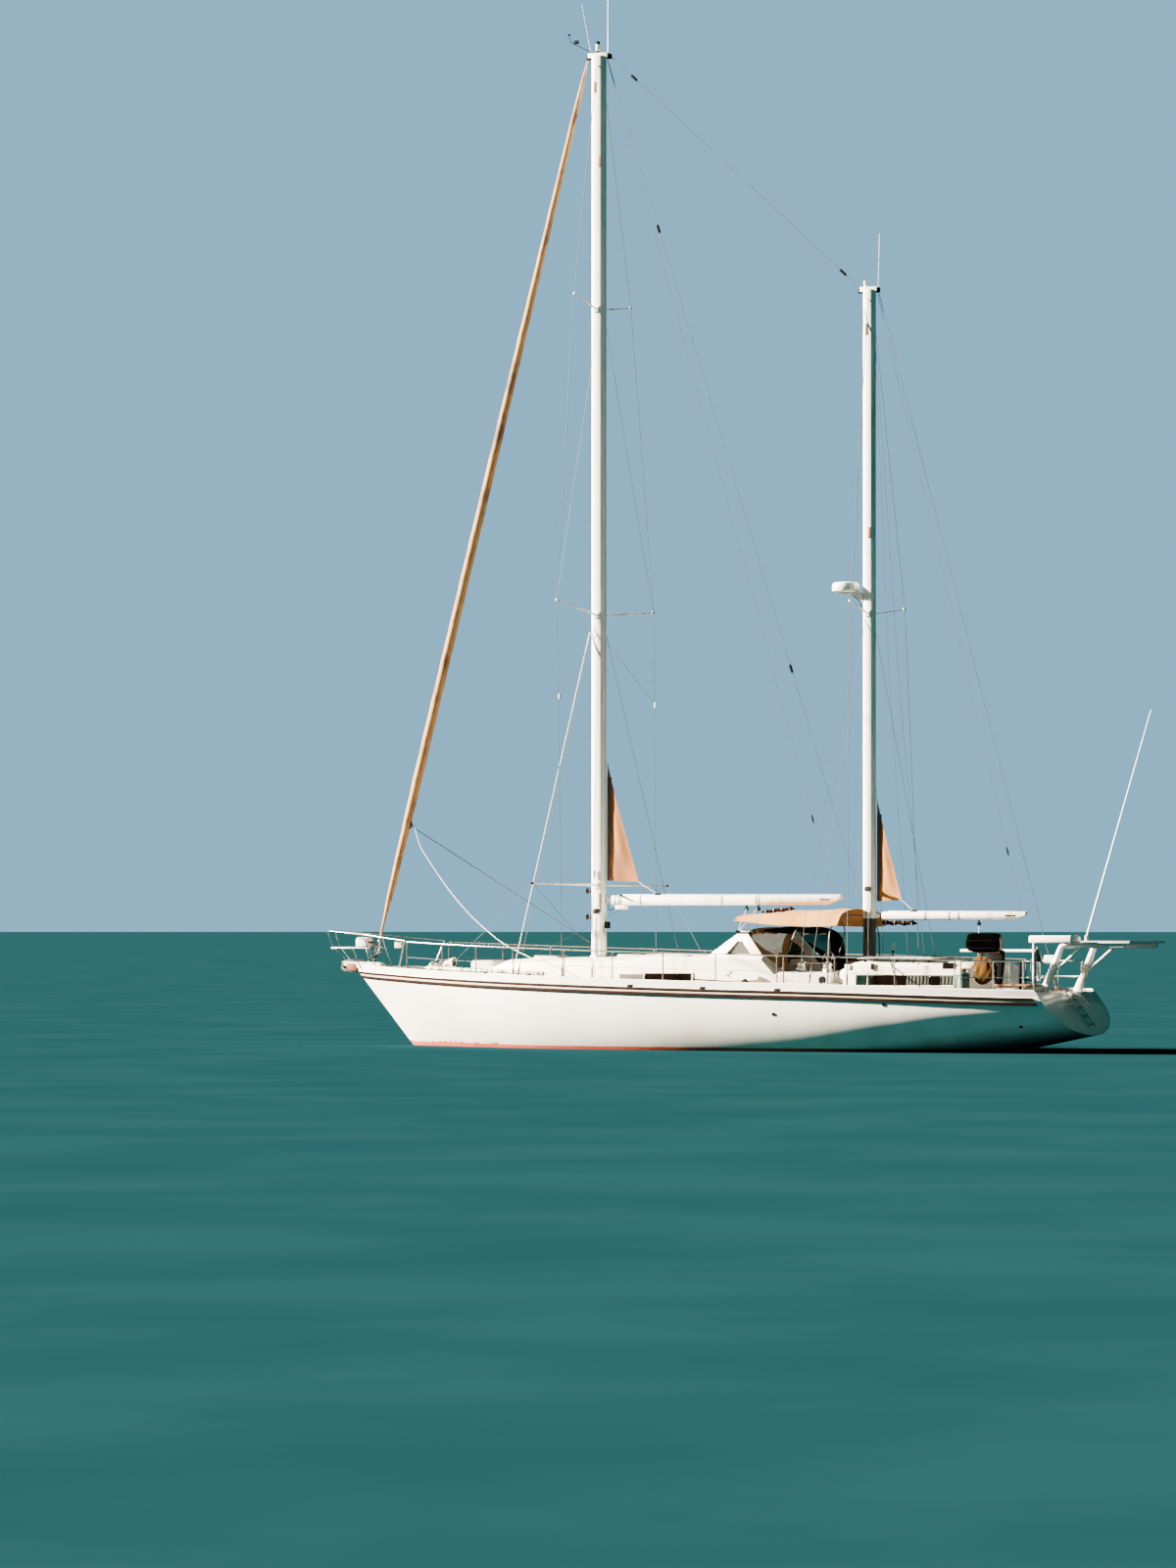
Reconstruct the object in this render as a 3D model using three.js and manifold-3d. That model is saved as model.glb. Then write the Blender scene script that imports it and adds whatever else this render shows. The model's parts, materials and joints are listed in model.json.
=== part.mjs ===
// A 16 m centre-cockpit sailing ketch, afloat: hull, keel, rudder, propeller, deck, two masts, rig and
// deck gear. Millimetres. +X is forward, +Y is to port and +Z is up. The origin is on the waterline,
// amidships on the centreline. Every mesh is one piece of the real boat, and pieces that touch keep
// a gap of 0.3 mm.

import * as THREE from "three";
import { mergeVertices } from "three/addons/utils/BufferGeometryUtils.js";
import Module from "manifold-3d";

const wasm = await Module();
wasm.setup();

// Driving dimensions
const GAP = 0.3; // between pieces that touch
const SIDES = 8; // facets of a thin tube
const DRAUGHT = 2050;
const KEEL_ROOT_Z = -930; // where the ballast is bolted to the hull's stub
const RAIL_TUBE = 26; // diameter of guard rails and pulpit

// Masts: x of the centre, fore-and-aft size, athwartships size, foot z, top z
const MAIN = { x: 2570, long: 300, wide: 200, foot: 1700, top: 20100 };
const MIZZEN = { x: -3380, long: 250, wide: 170, foot: 1600, top: 15050 };

// Booms: axis z, diameter, distance of the hinge pin behind the mast, x of the aft end
const MAIN_BOOM = { z: 2970, dia: 210, pin: 40, end: -2770 };
const MIZZEN_BOOM = { z: 2650, dia: 165, pin: 40, end: -6700 };

// Cockpit, engine room and cabins, as boxes: x from, x to, half width, z from, z to
const COCKPIT_SEATS = { x0: -3050, x1: -1050, half: 1050, z0: 1120, z1: 2400 };
const FOOTWELL = { x0: -2950, x1: -1100, half: 420, z0: 720, z1: 1300 };
const ENGINE_ROOM = { x0: -2650, x1: -1250, half: 380, z0: -400, z1: 800 };
const SALOON = { x0: -950, x1: 3000, half: 850, z0: 0, z1: 1680 };
const FORE_CABIN = { x0: 3200, x1: 4100, half: 500, z0: 300, z1: 1640 };
const AFT_CABIN = { x0: -5500, x1: -3800, half: 1100, z0: 400, z1: 1620 };
const COMPANIONWAY = { x0: -1120, x1: -900, half: 330, z0: 980, z1: 1700 };

const RUDDER_X = -5850; // rudder stock
const WHEEL = { x: -2520, z: 1560, radius: 380 };
const SHAFT = { x0: -3300, z0: -560, x1: -4250, z1: -770 }; // propeller shaft line
const PROPELLER_RADIUS = 260;

// Colours as in the daylight of the photograph
const COLOUR = {
  gelcoat: 0xeee9df, antifouling: 0x9c2f1e, steel: 0xb9bcbc, mast: 0xe9e6de, canvas: 0xd9b78c,
  brown: 0x4a3527, sail: 0xd0a15c, dark: 0x1c1e20, teak: 0xb08a60, bronze: 0x8a6a3a,
  galvanised: 0x5c605f, engine: 0x6c7076, panel: 0x23303c, khaki: 0xa58f68, rope: 0xe6e0d2,
};

const group = new THREE.Group();

// A closed geometry as a solid that can be joined and cut, with its faces pointing out
function solid(geometry) {
  const bare = geometry.clone();
  bare.deleteAttribute("normal");
  bare.deleteAttribute("uv");
  const merged = mergeVertices(bare, 1e-3);
  const vertProperties = new Float32Array(merged.attributes.position.array);
  const triVerts = new Uint32Array(merged.index.array);
  const made = new wasm.Manifold(new wasm.Mesh({ numProp: 3, vertProperties, triVerts }));
  if (made.volume() > 0) return made;
  return new wasm.Manifold(new wasm.Mesh({ numProp: 3, vertProperties, triVerts: triVerts.reverse() }));
}

function join(...solids) {
  return solids.reduce((all, next) => all.add(next));
}

function cut(whole, ...tools) {
  return tools.reduce((left, tool) => left.subtract(tool), whole);
}

function geometryOf(made) {
  const mesh = made.getMesh();
  const geometry = new THREE.BufferGeometry();
  geometry.setAttribute("position", new THREE.BufferAttribute(mesh.vertProperties, 3));
  geometry.setIndex(new THREE.BufferAttribute(mesh.triVerts, 1));
  geometry.computeVertexNormals();
  return geometry;
}

// Adds one named piece of the boat
function piece(name, made, colour, roughness = 0.5, metalness = 0) {
  const material = new THREE.MeshStandardMaterial({ color: colour, roughness, metalness });
  const mesh = new THREE.Mesh(geometryOf(made), material);
  mesh.name = name;
  group.add(mesh);
}

function box(x0, x1, y0, y1, z0, z1) {
  const geometry = new THREE.BoxGeometry(x1 - x0, y1 - y0, z1 - z0);
  geometry.translate((x0 + x1) / 2, (y0 + y1) / 2, (z0 + z1) / 2);
  return solid(geometry);
}

// A space that is the same to port and to starboard
function room(space) {
  return box(space.x0, space.x1, -space.half, space.half, space.z0, space.z1);
}

const point = (x, y, z) => new THREE.Vector3(x, y, z);

// A straight round bar between two points, which may taper
function bar(from, to, radius, radiusTo = radius, sides = SIDES) {
  const way = to.clone().sub(from);
  const geometry = new THREE.CylinderGeometry(radiusTo, radius, way.length(), sides);
  const turn = new THREE.Quaternion().setFromUnitVectors(point(0, 1, 0), way.normalize());
  geometry.applyQuaternion(turn);
  geometry.translate((from.x + to.x) / 2, (from.y + to.y) / 2, (from.z + to.z) / 2);
  return solid(geometry);
}

// A tube through a list of points, with mitred bends
function railing(points, radius, sides = 6) {
  const rings = points.map((here, i) => {
    const before = points[Math.max(0, i - 1)];
    const after = points[Math.min(points.length - 1, i + 1)];
    const incoming = here.clone().sub(before).normalize();
    const outgoing = after.clone().sub(here).normalize();
    const way = incoming.add(outgoing).normalize();
    const turn = new THREE.Quaternion().setFromUnitVectors(point(1, 0, 0), way);
    return Array.from({ length: sides }, (_, k) => {
      const angle = (k * 2 * Math.PI) / sides;
      const spoke = point(0, Math.cos(angle), Math.sin(angle)).multiplyScalar(radius);
      return spoke.applyQuaternion(turn).add(here);
    });
  });
  return loft(rings);
}

// A side-view outline given as x, z pairs, as thick as from y0 to y1
function sidePlate(outline, y0, y1) {
  const shape = new THREE.Shape(outline.map(([x, z]) => new THREE.Vector2(x, z)));
  const geometry = new THREE.ExtrudeGeometry(shape, { depth: y1 - y0, bevelEnabled: false });
  geometry.rotateX(Math.PI / 2);
  geometry.translate(0, y1, 0);
  return solid(geometry);
}

// A skin over rings with the same number of points, with flat ends
function loft(rings) {
  const count = rings[0].length;
  const vertices = rings.flat().flatMap((p) => [p.x, p.y, p.z]);
  const faces = [];
  for (let r = 0; r < rings.length - 1; r++) {
    for (let i = 0; i < count; i++) {
      const a = r * count + i;
      const b = r * count + ((i + 1) % count);
      faces.push(a, b, a + count, b, b + count, a + count);
    }
  }
  const first = capOf(rings[0]);
  const last = capOf(rings[rings.length - 1]);
  const end = (rings.length - 1) * count;
  first.forEach(([a, b, c]) => faces.push(a, c, b));
  last.forEach(([a, b, c]) => faces.push(end + a, end + b, end + c));
  const geometry = new THREE.BufferGeometry();
  geometry.setAttribute("position", new THREE.Float32BufferAttribute(vertices, 3));
  geometry.setIndex(faces);
  return solid(geometry);
}

// Triangles that close a ring, seen along the axis nearest to its own
function capOf(ring) {
  const normal = point(0, 0, 0);
  ring.forEach((p, i) => normal.add(p.clone().cross(ring[(i + 1) % ring.length])));
  const facing = { x: Math.abs(normal.x), y: Math.abs(normal.y), z: Math.abs(normal.z) };
  const [u, v] = ["x", "y", "z"].sort((a, b) => facing[a] - facing[b]);
  const flat = ring.map((p) => new THREE.Vector2(p[u], p[v]));
  const turned = THREE.ShapeUtils.area(flat) < 0;
  const faces = THREE.ShapeUtils.triangulateShape(turned ? flat.toReversed() : flat, []);
  const back = (i) => ring.length - 1 - i;
  return faces.map(([a, b, c]) => (turned ? [back(c), back(b), back(a)] : [a, b, c]));
}

// Hull

// Stations: x and z at the keel line, x at the sheer, z of the toe rail's top, half beam, and how
// sharp the section is (1 is round, 2 is a straight V)
const STATIONS = [
  { keelX: -8120, keelZ: 340, topX: -7480, topZ: 1215, beam: 1600, sharp: 1.0 },
  { keelX: -7250, keelZ: 160, topX: -6850, topZ: 1225, beam: 1790, sharp: 1.0 },
  { keelX: -6250, keelZ: -40, topX: -6050, topZ: 1245, beam: 1950, sharp: 1.0 },
  { keelX: -4900, keelZ: -330, topX: -4900, topZ: 1275, beam: 2110, sharp: 1.0 },
  { keelX: -3200, keelZ: -630, topX: -3200, topZ: 1320, beam: 2240, sharp: 1.0 },
  { keelX: -1000, keelZ: -780, topX: -1000, topZ: 1360, beam: 2300, sharp: 1.0 },
  { keelX: 1000, keelZ: -800, topX: 1000, topZ: 1405, beam: 2280, sharp: 1.02 },
  { keelX: 2800, keelZ: -750, topX: 3000, topZ: 1460, beam: 2090, sharp: 1.1 },
  { keelX: 4000, keelZ: -660, topX: 4600, topZ: 1510, beam: 1730, sharp: 1.2 },
  { keelX: 5000, keelZ: -530, topX: 6000, topZ: 1565, beam: 1230, sharp: 1.35 },
  { keelX: 5800, keelZ: -360, topX: 7000, topZ: 1610, beam: 760, sharp: 1.5 },
  { keelX: 6380, keelZ: -190, topX: 7700, topZ: 1640, beam: 370, sharp: 1.6 },
  { keelX: 6800, keelZ: 20, topX: 8200, topZ: 1665, beam: 45, sharp: 1.7 },
];
const BILGE_STEPS = 9;
const STRAKE = { drop: 200, half: 70, out: 28 }; // rubbing strake below the toe rail's top
const TOE_RAIL = { wide: 55, high: 115 };
const DECK_CAMBER = 90;

// Value of one column between two stations, by x along the sheer
function along(x, column) {
  const i = Math.max(1, STATIONS.findIndex((s) => s.topX >= x));
  const a = STATIONS[i - 1];
  const b = STATIONS[i];
  return THREE.MathUtils.mapLinear(x, a.topX, b.topX, a[column], b[column]);
}

const deckEdgeZ = (x) => along(x, "topZ") - TOE_RAIL.high;

// One ring of the hull, from the keel up the port side, over the deck and down the starboard side
function hullRing(station) {
  const { keelX, keelZ, topX, topZ, beam, sharp } = station;
  const strakeZ = topZ - STRAKE.drop;
  const sideTop = strakeZ - STRAKE.half - 12;
  const half = [];
  for (let i = 0; i <= BILGE_STEPS; i++) {
    const angle = (i / BILGE_STEPS) * (Math.PI / 2);
    const y = Math.max(18, beam * Math.sin(angle) ** sharp);
    const z = keelZ + (sideTop - keelZ) * (1 - Math.cos(angle) ** sharp);
    half.push([y, z]);
  }
  const inner = Math.max(6, beam - TOE_RAIL.wide);
  half.push([beam + STRAKE.out, strakeZ - STRAKE.half], [beam + STRAKE.out, strakeZ + STRAKE.half]);
  half.push([beam, strakeZ + STRAKE.half + 12], [beam - 3, topZ], [inner, topZ]);
  half.push([inner * 0.995, topZ - TOE_RAIL.high]);
  const camber = DECK_CAMBER * Math.min(1, beam / 2000);
  half.push([inner * 0.5, topZ - TOE_RAIL.high + camber * 0.75]);
  const middle = [[0, topZ - TOE_RAIL.high + camber]];
  const raked = ([y, z]) => point(keelX + ((topX - keelX) * (z - keelZ)) / (topZ - keelZ), y, z);
  const port = half.map(raked);
  const starboard = half.toReversed().map(([y, z]) => raked([-y, z]));
  return [...port, ...middle.map(raked), ...starboard];
}

// A foil section in plan: leading edge, trailing edge, half thickness, height
function foil(lead, trail, half, z) {
  const shape = [[0, 0], [0.06, 0.55], [0.28, 1], [0.6, 0.75], [1, 0.06]];
  const port = shape.map(([t, w]) => point(lead + (trail - lead) * t, half * w, z));
  const starboard = shape.slice(1).toReversed();
  return [...port, ...starboard.map(([t, w]) => point(lead + (trail - lead) * t, -half * w, z))];
}

const hullSkin = loft(STATIONS.map(hullRing));
const hullRaised = hullSkin.translate([0, 0, GAP]);

// Rests a piece on the deck, 0.3 mm clear of it
const onDeck = (made) => made.subtract(hullRaised);

// Fitting over the stem that carries the anchor's roller: side view, half width, roller
const STEM_HEAD = {
  outline: [[7500, 1600], [7560, 1700], [8420, 1720], [8420, 1640], [8000, 1560]],
  half: 90, slotX: 8180, slotHalf: 45, slotZ: 1660, rollerX: 8330, rollerZ: 1665, rollerRadius: 40,
};
function stemHead() {
  const { outline, half, slotX, slotHalf, slotZ, rollerX, rollerZ, rollerRadius } = STEM_HEAD;
  const slot = box(slotX, slotX + 320, -slotHalf, slotHalf, slotZ, slotZ + 140);
  const pin = [point(rollerX, -half, rollerZ), point(rollerX, half, rollerZ)];
  return join(cut(sidePlate(outline, -half, half), slot), bar(...pin, rollerRadius, rollerRadius, 12));
}

// Turning block on the port side deck, where the headsail's sheet comes down
const SHEET_BLOCK = { x: 2400, y: 1900, long: 90, wide: 46, foot: 1330, top: 1440 };
function sheetBlock() {
  const { x, y, long, wide, foot, top } = SHEET_BLOCK;
  return box(x - long / 2, x + long / 2, y - wide / 2, y + wide / 2, foot, top);
}

function makeHull() {
  const stub = loft([foil(1950, -1750, 190, -400), foil(1900, -1700, 175, KEEL_ROOT_Z)]);
  const skeg = loft([foil(-4700, -5700, 90, 60), foil(-5250, -5740, 55, -1400)]);
  const axle = [point(SHAFT.x0 + 600, 0, SHAFT.z0 + 133), point(SHAFT.x1, 0, SHAFT.z1)];
  const sternTube = bar(...axle, 42, 42, 12);
  const strut = sidePlate([[-3950, -350], [-4120, -350], [-4200, -760], [-4080, -730]], -14, 14);
  const boreTop = point(RUDDER_X, 0, 250);
  const rudderBore = bar(point(RUDDER_X, 0, -400), boreTop, 50, 50, 12);
  const whole = join(hullSkin, stub, skeg, sternTube, strut, stemHead(), sheetBlock());
  const spaces = [COCKPIT_SEATS, FOOTWELL, ENGINE_ROOM, SALOON, FORE_CABIN, AFT_CABIN, COMPANIONWAY];
  return cut(whole, rudderBore, ...spaces.map(room));
}

piece("hull", makeHull(), COLOUR.gelcoat, 0.3);

const ballast = loft([
  foil(1900, -1700, 175, KEEL_ROOT_Z - GAP), foil(1650, -1620, 170, -1500),
  foil(1350, -1560, 210, -1850), foil(1250, -1540, 150, -DRAUGHT),
]);
piece("ballast_keel", ballast, COLOUR.antifouling, 0.7);

// Rudder: a blade behind the skeg, with its stock in the hull's bore
const blade = loft([
  foil(RUDDER_X + 60, RUDDER_X - 640, 45, -260), foil(RUDDER_X + 60, RUDDER_X - 600, 40, -1420),
]);
const stock = bar(point(RUDDER_X, 0, -300), point(RUDDER_X, 0, 200), 38, 38, 12);
piece("rudder", join(blade, stock), COLOUR.antifouling, 0.7);

// Propeller: a tapered hub and three blades on the shaft line
function makePropeller() {
  const way = point(SHAFT.x1 - SHAFT.x0, 0, SHAFT.z1 - SHAFT.z0).normalize();
  const front = point(SHAFT.x1, 0, SHAFT.z1).addScaledVector(way, 8);
  const back = front.clone().addScaledVector(way, 190);
  const hub = bar(front, back, 45, 28, 12);
  const middle = front.clone().addScaledVector(way, 80);
  const blades = [0, 1, 2].map((i) => {
    const outline = new THREE.Shape();
    outline.moveTo(-35, 20);
    outline.quadraticCurveTo(-120, 150, -20, PROPELLER_RADIUS);
    outline.quadraticCurveTo(130, 190, 35, 20);
    const plate = { depth: 10, bevelEnabled: false, curveSegments: 5 };
    const geometry = new THREE.ExtrudeGeometry(outline, plate);
    geometry.translate(0, 0, -5);
    geometry.rotateY(THREE.MathUtils.degToRad(28));
    geometry.rotateZ((i * 2 * Math.PI) / 3);
    const turn = new THREE.Quaternion().setFromUnitVectors(point(0, 0, 1), way);
    geometry.applyQuaternion(turn);
    geometry.translate(middle.x, middle.y, middle.z);
    return solid(geometry);
  });
  return join(hub, ...blades);
}
piece("propeller", makePropeller(), COLOUR.bronze, 0.35, 0.9);

piece("engine_block", box(-2560, -1440, -320, 320, -400 + GAP, 400), COLOUR.engine, 0.6);
piece("cockpit_sole", box(-2949, -1101, -419, 419, 800 + GAP, 830), COLOUR.teak, 0.8);

// Coachroofs: stations with x, half width at the deck and top z
const FORE_ROOF = [
  { x: -3180, half: 1500, top: 1545 }, { x: -1960, half: 1500, top: 1555 },
  { x: -1680, half: 1500, top: 1850 }, { x: 1150, half: 1400, top: 1850 },
  { x: 1300, half: 1390, top: 1790 }, { x: 3000, half: 1130, top: 1780 },
  { x: 4350, half: 800, top: 1750 }, { x: 5050, half: 520, top: 1520 },
];
const AFT_ROOF = [
  { x: -6040, half: 1330, top: 1690 }, { x: -5900, half: 1340, top: 1725 },
  { x: -3600, half: 1400, top: 1740 }, { x: -3330, half: 1400, top: 1600 },
];

function roofRing({ x, half, top }) {
  const rise = Math.min(45, half / 25);
  const side = [[half, 1000], [half - 70, top - 60], [half - 150, top - 8]];
  const port = [...side, [half * 0.5, top + rise * 0.7]];
  const starboard = port.toReversed().map(([y, z]) => point(x, -y, z));
  return [...port.map(([y, z]) => point(x, y, z)), point(x, 0, top + rise), ...starboard];
}

const windows = {
  fore: { x0: -120, x1: 920, z0: 1375, z1: 1500 },
  aft: { x0: -5880, x1: -3690, z0: 1300, z1: 1480 },
};

// A window strip cut right across both side walls
function windowStrip({ x0, x1, z0, z1 }) {
  return box(x0, x1, -1700, 1700, z0, z1);
}

// Hatches: x from, x to, half width, z of the seat under the lid
const hatches = [
  { name: "fore_hatch", x0: 3380, x1: 3900, half: 260, z: 1818 },
  { name: "saloon_hatch", x0: 1500, x1: 2020, half: 260, z: 1848 },
  { name: "aft_hatch", x0: -5350, x1: -4830, half: 260, z: 1788 },
];
const hatchHoles = hatches.map((h) => box(h.x0 + 60, h.x1 - 60, 60 - h.half, h.half - 60, 1300, 1990));

const foreRoofSkin = loft(FORE_ROOF.map(roofRing));
const aftRoofSkin = loft(AFT_ROOF.map(roofRing));
const hatchSeats = hatches.map((h) => box(h.x0 - 15, h.x1 + 15, -h.half - 15, h.half + 15, 1500, h.z));

// Winches on the cockpit coaming
const WINCHES = [-2450, -3010].flatMap((x) => [{ x, y: 1200 }, { x, y: -1200 }]);

function makeForeRoof() {
  const raised = join(foreRoofSkin, hatchSeats[0], hatchSeats[1]);
  const sideSpace = box(-900, 1100, -1320, 1320, 1180, 1760);
  const tools = [COCKPIT_SEATS, FOOTWELL, SALOON, FORE_CABIN, COMPANIONWAY].map(room);
  const made = cut(onDeck(raised), ...tools, sideSpace, windowStrip(windows.fore));
  const drums = WINCHES.map(({ x, y }) => bar(point(x, y, 1500), point(x, y, 1730), 75, 60, 12));
  return join(cut(made, hatchHoles[0], hatchHoles[1]), ...drums);
}
piece("fore_coachroof", makeForeRoof(), COLOUR.gelcoat, 0.35);

function makeAftRoof() {
  const raised = join(aftRoofSkin, hatchSeats[2]);
  const sideSpace = box(-5940, -3650, -1250, 1250, 1180, 1640);
  return cut(onDeck(raised), room(AFT_CABIN), sideSpace, windowStrip(windows.aft), hatchHoles[2]);
}
piece("aft_coachroof", makeAftRoof(), COLOUR.gelcoat, 0.35);

hatches.forEach(({ name, x0, x1, half, z }) => {
  piece(name, box(x0, x1, -half, half, z + GAP, z + 42), COLOUR.dark, 0.25);
});

// Door of the companionway, hinged on its port edge
const doorEdge = COMPANIONWAY.half + 20;
piece("companionway_door", box(-1080, -1058, -doorEdge, doorEdge, 1130, 1690), COLOUR.teak, 0.6);

// Windscreen: a moulded frame on the coachroof, open aft, with its window holes cut
const SCREEN = {
  baseX: -340, topX: -1030, backX: -1310, footX: -1930, footZ: 1555, baseZ: 1850, topZ: 2290,
  half: 1345, topHalf: 1215, corner: 330, wall: 45,
};

// Solid wedge of the windscreen, shrunk by an inset on every side but the back and the bottom
function screenWedge(inset, low) {
  const { baseX, topX, footX, baseZ, topZ, half, topHalf, corner } = SCREEN;
  const outline = [
    [baseX - inset * 1.3, low], [baseX - inset * 1.3, baseZ], [topX - inset * 1.1, topZ - inset],
    [footX - 300, topZ - inset], [footX - 300, low],
  ];
  const leans = [[-2400, 0], [-1300, 0], [-1050, corner * 0.25], [baseX + 60, corner]];
  const plan = leans.map(([x, lean]) => {
    const outer = [[half, low - 10], [half, baseZ], [topHalf, topZ + 10]];
    const side = outer.map(([y, z]) => point(x, y - inset - lean, z));
    return [...side, ...side.toReversed().map((p) => point(p.x, -p.y, p.z))];
  });
  return sidePlate(outline, -1600, 1600).intersect(loft(plan));
}

function makeWindscreen() {
  const { backX, footX, footZ, topZ, wall } = SCREEN;
  const slope = (backX - footX) / (topZ - footZ);
  const lineX = (z) => backX - (topZ - z) * slope;
  const behind = [[lineX(2500), 2500], [lineX(1200), 1200], [-3200, 1200], [-3200, 2500]];
  const skin = cut(screenWedge(0, 1400), screenWedge(wall, 1300), sidePlate(behind, -1700, 1700));
  const sideHole = sidePlate([[-800, 1900], [-1060, 2150], [-1190, 2150], [-1420, 1900]], -1700, 1700);
  const frontHoles = [-1, 0, 1].map((k) => {
    const opening = [[-400, 1915], [-400, 2190], [-1130, 2190], [-860, 1915]];
    return sidePlate(opening, k * 520 - 225, k * 520 + 225);
  });
  return cut(skin, sideHole, ...frontHoles, foreRoofSkin.translate([0, 0, GAP]));
}
piece("windscreen_frame", makeWindscreen(), COLOUR.gelcoat, 0.3);

// Arched canvas cover between two hoops, as rings of an outer and an inner line
function archRing({ x, half, foot, shoulder, top, thick }) {
  const rise = top - shoulder;
  const line = (inset) => [
    [half - inset, foot], [half * 0.97 - inset, shoulder],
    [half * 0.8 - inset * 0.7, shoulder + rise * 0.62],
    [half * 0.45, top - rise * 0.1 - inset], [0, top - inset],
  ];
  const outer = line(0);
  const inner = line(thick);
  const mirror = (pairs) => pairs.slice(0, -1).toReversed().map(([y, z]) => [-y, z]);
  const whole = [...outer, ...mirror(outer), ...mirror(inner).toReversed(), ...inner.toReversed()];
  return whole.map(([y, z]) => point(x, y, z));
}

const DODGER = [
  { x: -1325, half: 1240, foot: 2300, shoulder: 2320, top: 2420, thick: 18 },
  { x: -1700, half: 1330, foot: 1900, shoulder: 2160, top: 2440, thick: 18 },
  { x: -2250, half: 1400, foot: 1570, shoulder: 2050, top: 2430, thick: 18 },
];
piece("dodger", loft(DODGER.map(archRing)), COLOUR.brown, 0.9);

const BIMINI = [
  { x: -1000, half: 1230, foot: 2560, shoulder: 2572, top: 2690, thick: 14 },
  { x: -1900, half: 1270, foot: 2470, shoulder: 2500, top: 2760, thick: 14 },
  { x: -2900, half: 1270, foot: 2440, shoulder: 2480, top: 2790, thick: 14 },
  { x: -3215, half: 1230, foot: 2460, shoulder: 2500, top: 2790, thick: 14 },
];
piece("bimini", loft(BIMINI.map(archRing)), COLOUR.canvas, 0.9);

// Two hoops under the canvas, tied by a rail low down on each side
const HOOP = { half: 1300, foot: 1500, top: 2660, tube: 14, railZ: 1720, railIn: 18 };
const HOOPS = [ // lean is how far forward the legs' feet stand
  { x: -2350, lean: 300, edge: 2400 }, { x: -3060, lean: 0, edge: 2380 },
];
function makeBiminiFrame() {
  const { half, foot, top, tube, railZ, railIn } = HOOP;
  const hoops = HOOPS.map(({ x, lean, edge }) => {
    const port = [point(x + lean, half, foot), point(x, half - 70, edge), point(x, half * 0.5, top)];
    return railing([...port, ...port.toReversed().map((p) => point(p.x, -p.y, p.z))], tube);
  });
  const rails = [railIn - half, half - railIn].map((y) => {
    const frontX = HOOPS[0].x + (HOOPS[0].lean * (HOOPS[0].edge - railZ)) / (HOOPS[0].edge - foot);
    return bar(point(frontX, y, railZ), point(HOOPS[1].x, y, railZ), 10);
  });
  return join(...hoops, ...rails).subtract(foreRoofSkin.translate([0, 0, GAP]));
}
piece("bimini_frame", makeBiminiFrame(), COLOUR.steel, 0.3, 0.9);

// Steering
const pedestal = join(
  bar(point(-2330, 0, 830 + GAP), point(-2330, 0, 1640), 110, 70, 12), box(-2480, -2280, -80, 80, 1500, 1690),
);
piece("steering_pedestal", pedestal, COLOUR.gelcoat, 0.4);

function makeWheel() {
  const rim = new THREE.TorusGeometry(WHEEL.radius, 14, 6, 28);
  rim.rotateY(Math.PI / 2);
  rim.translate(WHEEL.x, 0, WHEEL.z);
  const centre = point(WHEEL.x, 0, WHEEL.z);
  const spokes = [0, 1, 2, 3, 4, 5].map((i) => {
    const angle = (i * Math.PI) / 3;
    const reach = point(0, Math.cos(angle), Math.sin(angle)).multiplyScalar(WHEEL.radius);
    return bar(centre, centre.clone().add(reach), 9, 9, 6);
  });
  const hub = bar(point(WHEEL.x - 30, 0, WHEEL.z), point(WHEEL.x + 34, 0, WHEEL.z), 45, 45, 12);
  return join(solid(rim), hub, ...spokes);
}
piece("steering_wheel", makeWheel(), COLOUR.steel, 0.3, 0.9);

// Masts: an extruded section with a furling slot down its aft side
const MAST_SECTION = [
  [1, 0], [0.8, 0.72], [0.25, 1], [-0.5, 0.95], [-0.88, 0.7], [-1, 0.22], [-0.86, 0.16], [-0.84, 0],
];
function mastRing({ x, long, wide }, z) {
  const port = MAST_SECTION.map(([a, w]) => point(x + (long / 2) * a, (wide / 2) * w, z));
  return [...port, ...port.slice(1, -1).toReversed().map((p) => point(p.x, -p.y, z))];
}

// Two plates behind the mast that hold the boom's pin
function gooseneck({ x, long }, boom) {
  const back = x - long / 2;
  const plate = (z) => box(back - boom.pin - 22, back + 60, -22, 22, z - 6, z + 6);
  const pin = bar(point(back - boom.pin, 0, boom.z - 60), point(back - boom.pin, 0, boom.z + 60), 9);
  return [plate(boom.z - 45), plate(boom.z + 45), pin];
}

function makeMast(mast, boom, support) {
  const { x, long, foot, top } = mast;
  const tube = loft([mastRing(mast, foot), mastRing(mast, top - 60)]);
  const cap = box(x - long * 0.72, x + long * 0.72, -60, 60, top - 90, top);
  const collar = bar(point(x, 0, foot), point(x, 0, foot + 160), long * 0.62, long * 0.56, 12);
  const whole = join(tube, cap, collar, ...gooseneck(mast, boom));
  return whole.subtract(support.translate([0, 0, GAP]));
}
const RADIO_WHIP = { x: 2362, top: 21250 };
const radioWhip = bar(point(RADIO_WHIP.x, 0, MAIN.top - 20), point(RADIO_WHIP.x, 0, RADIO_WHIP.top), 8, 4);
piece("main_mast", join(makeMast(MAIN, MAIN_BOOM, foreRoofSkin), radioWhip), COLOUR.mast, 0.35);
piece("mizzen_mast", makeMast(MIZZEN, MIZZEN_BOOM, aftRoofSkin), COLOUR.mast, 0.35);

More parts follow.
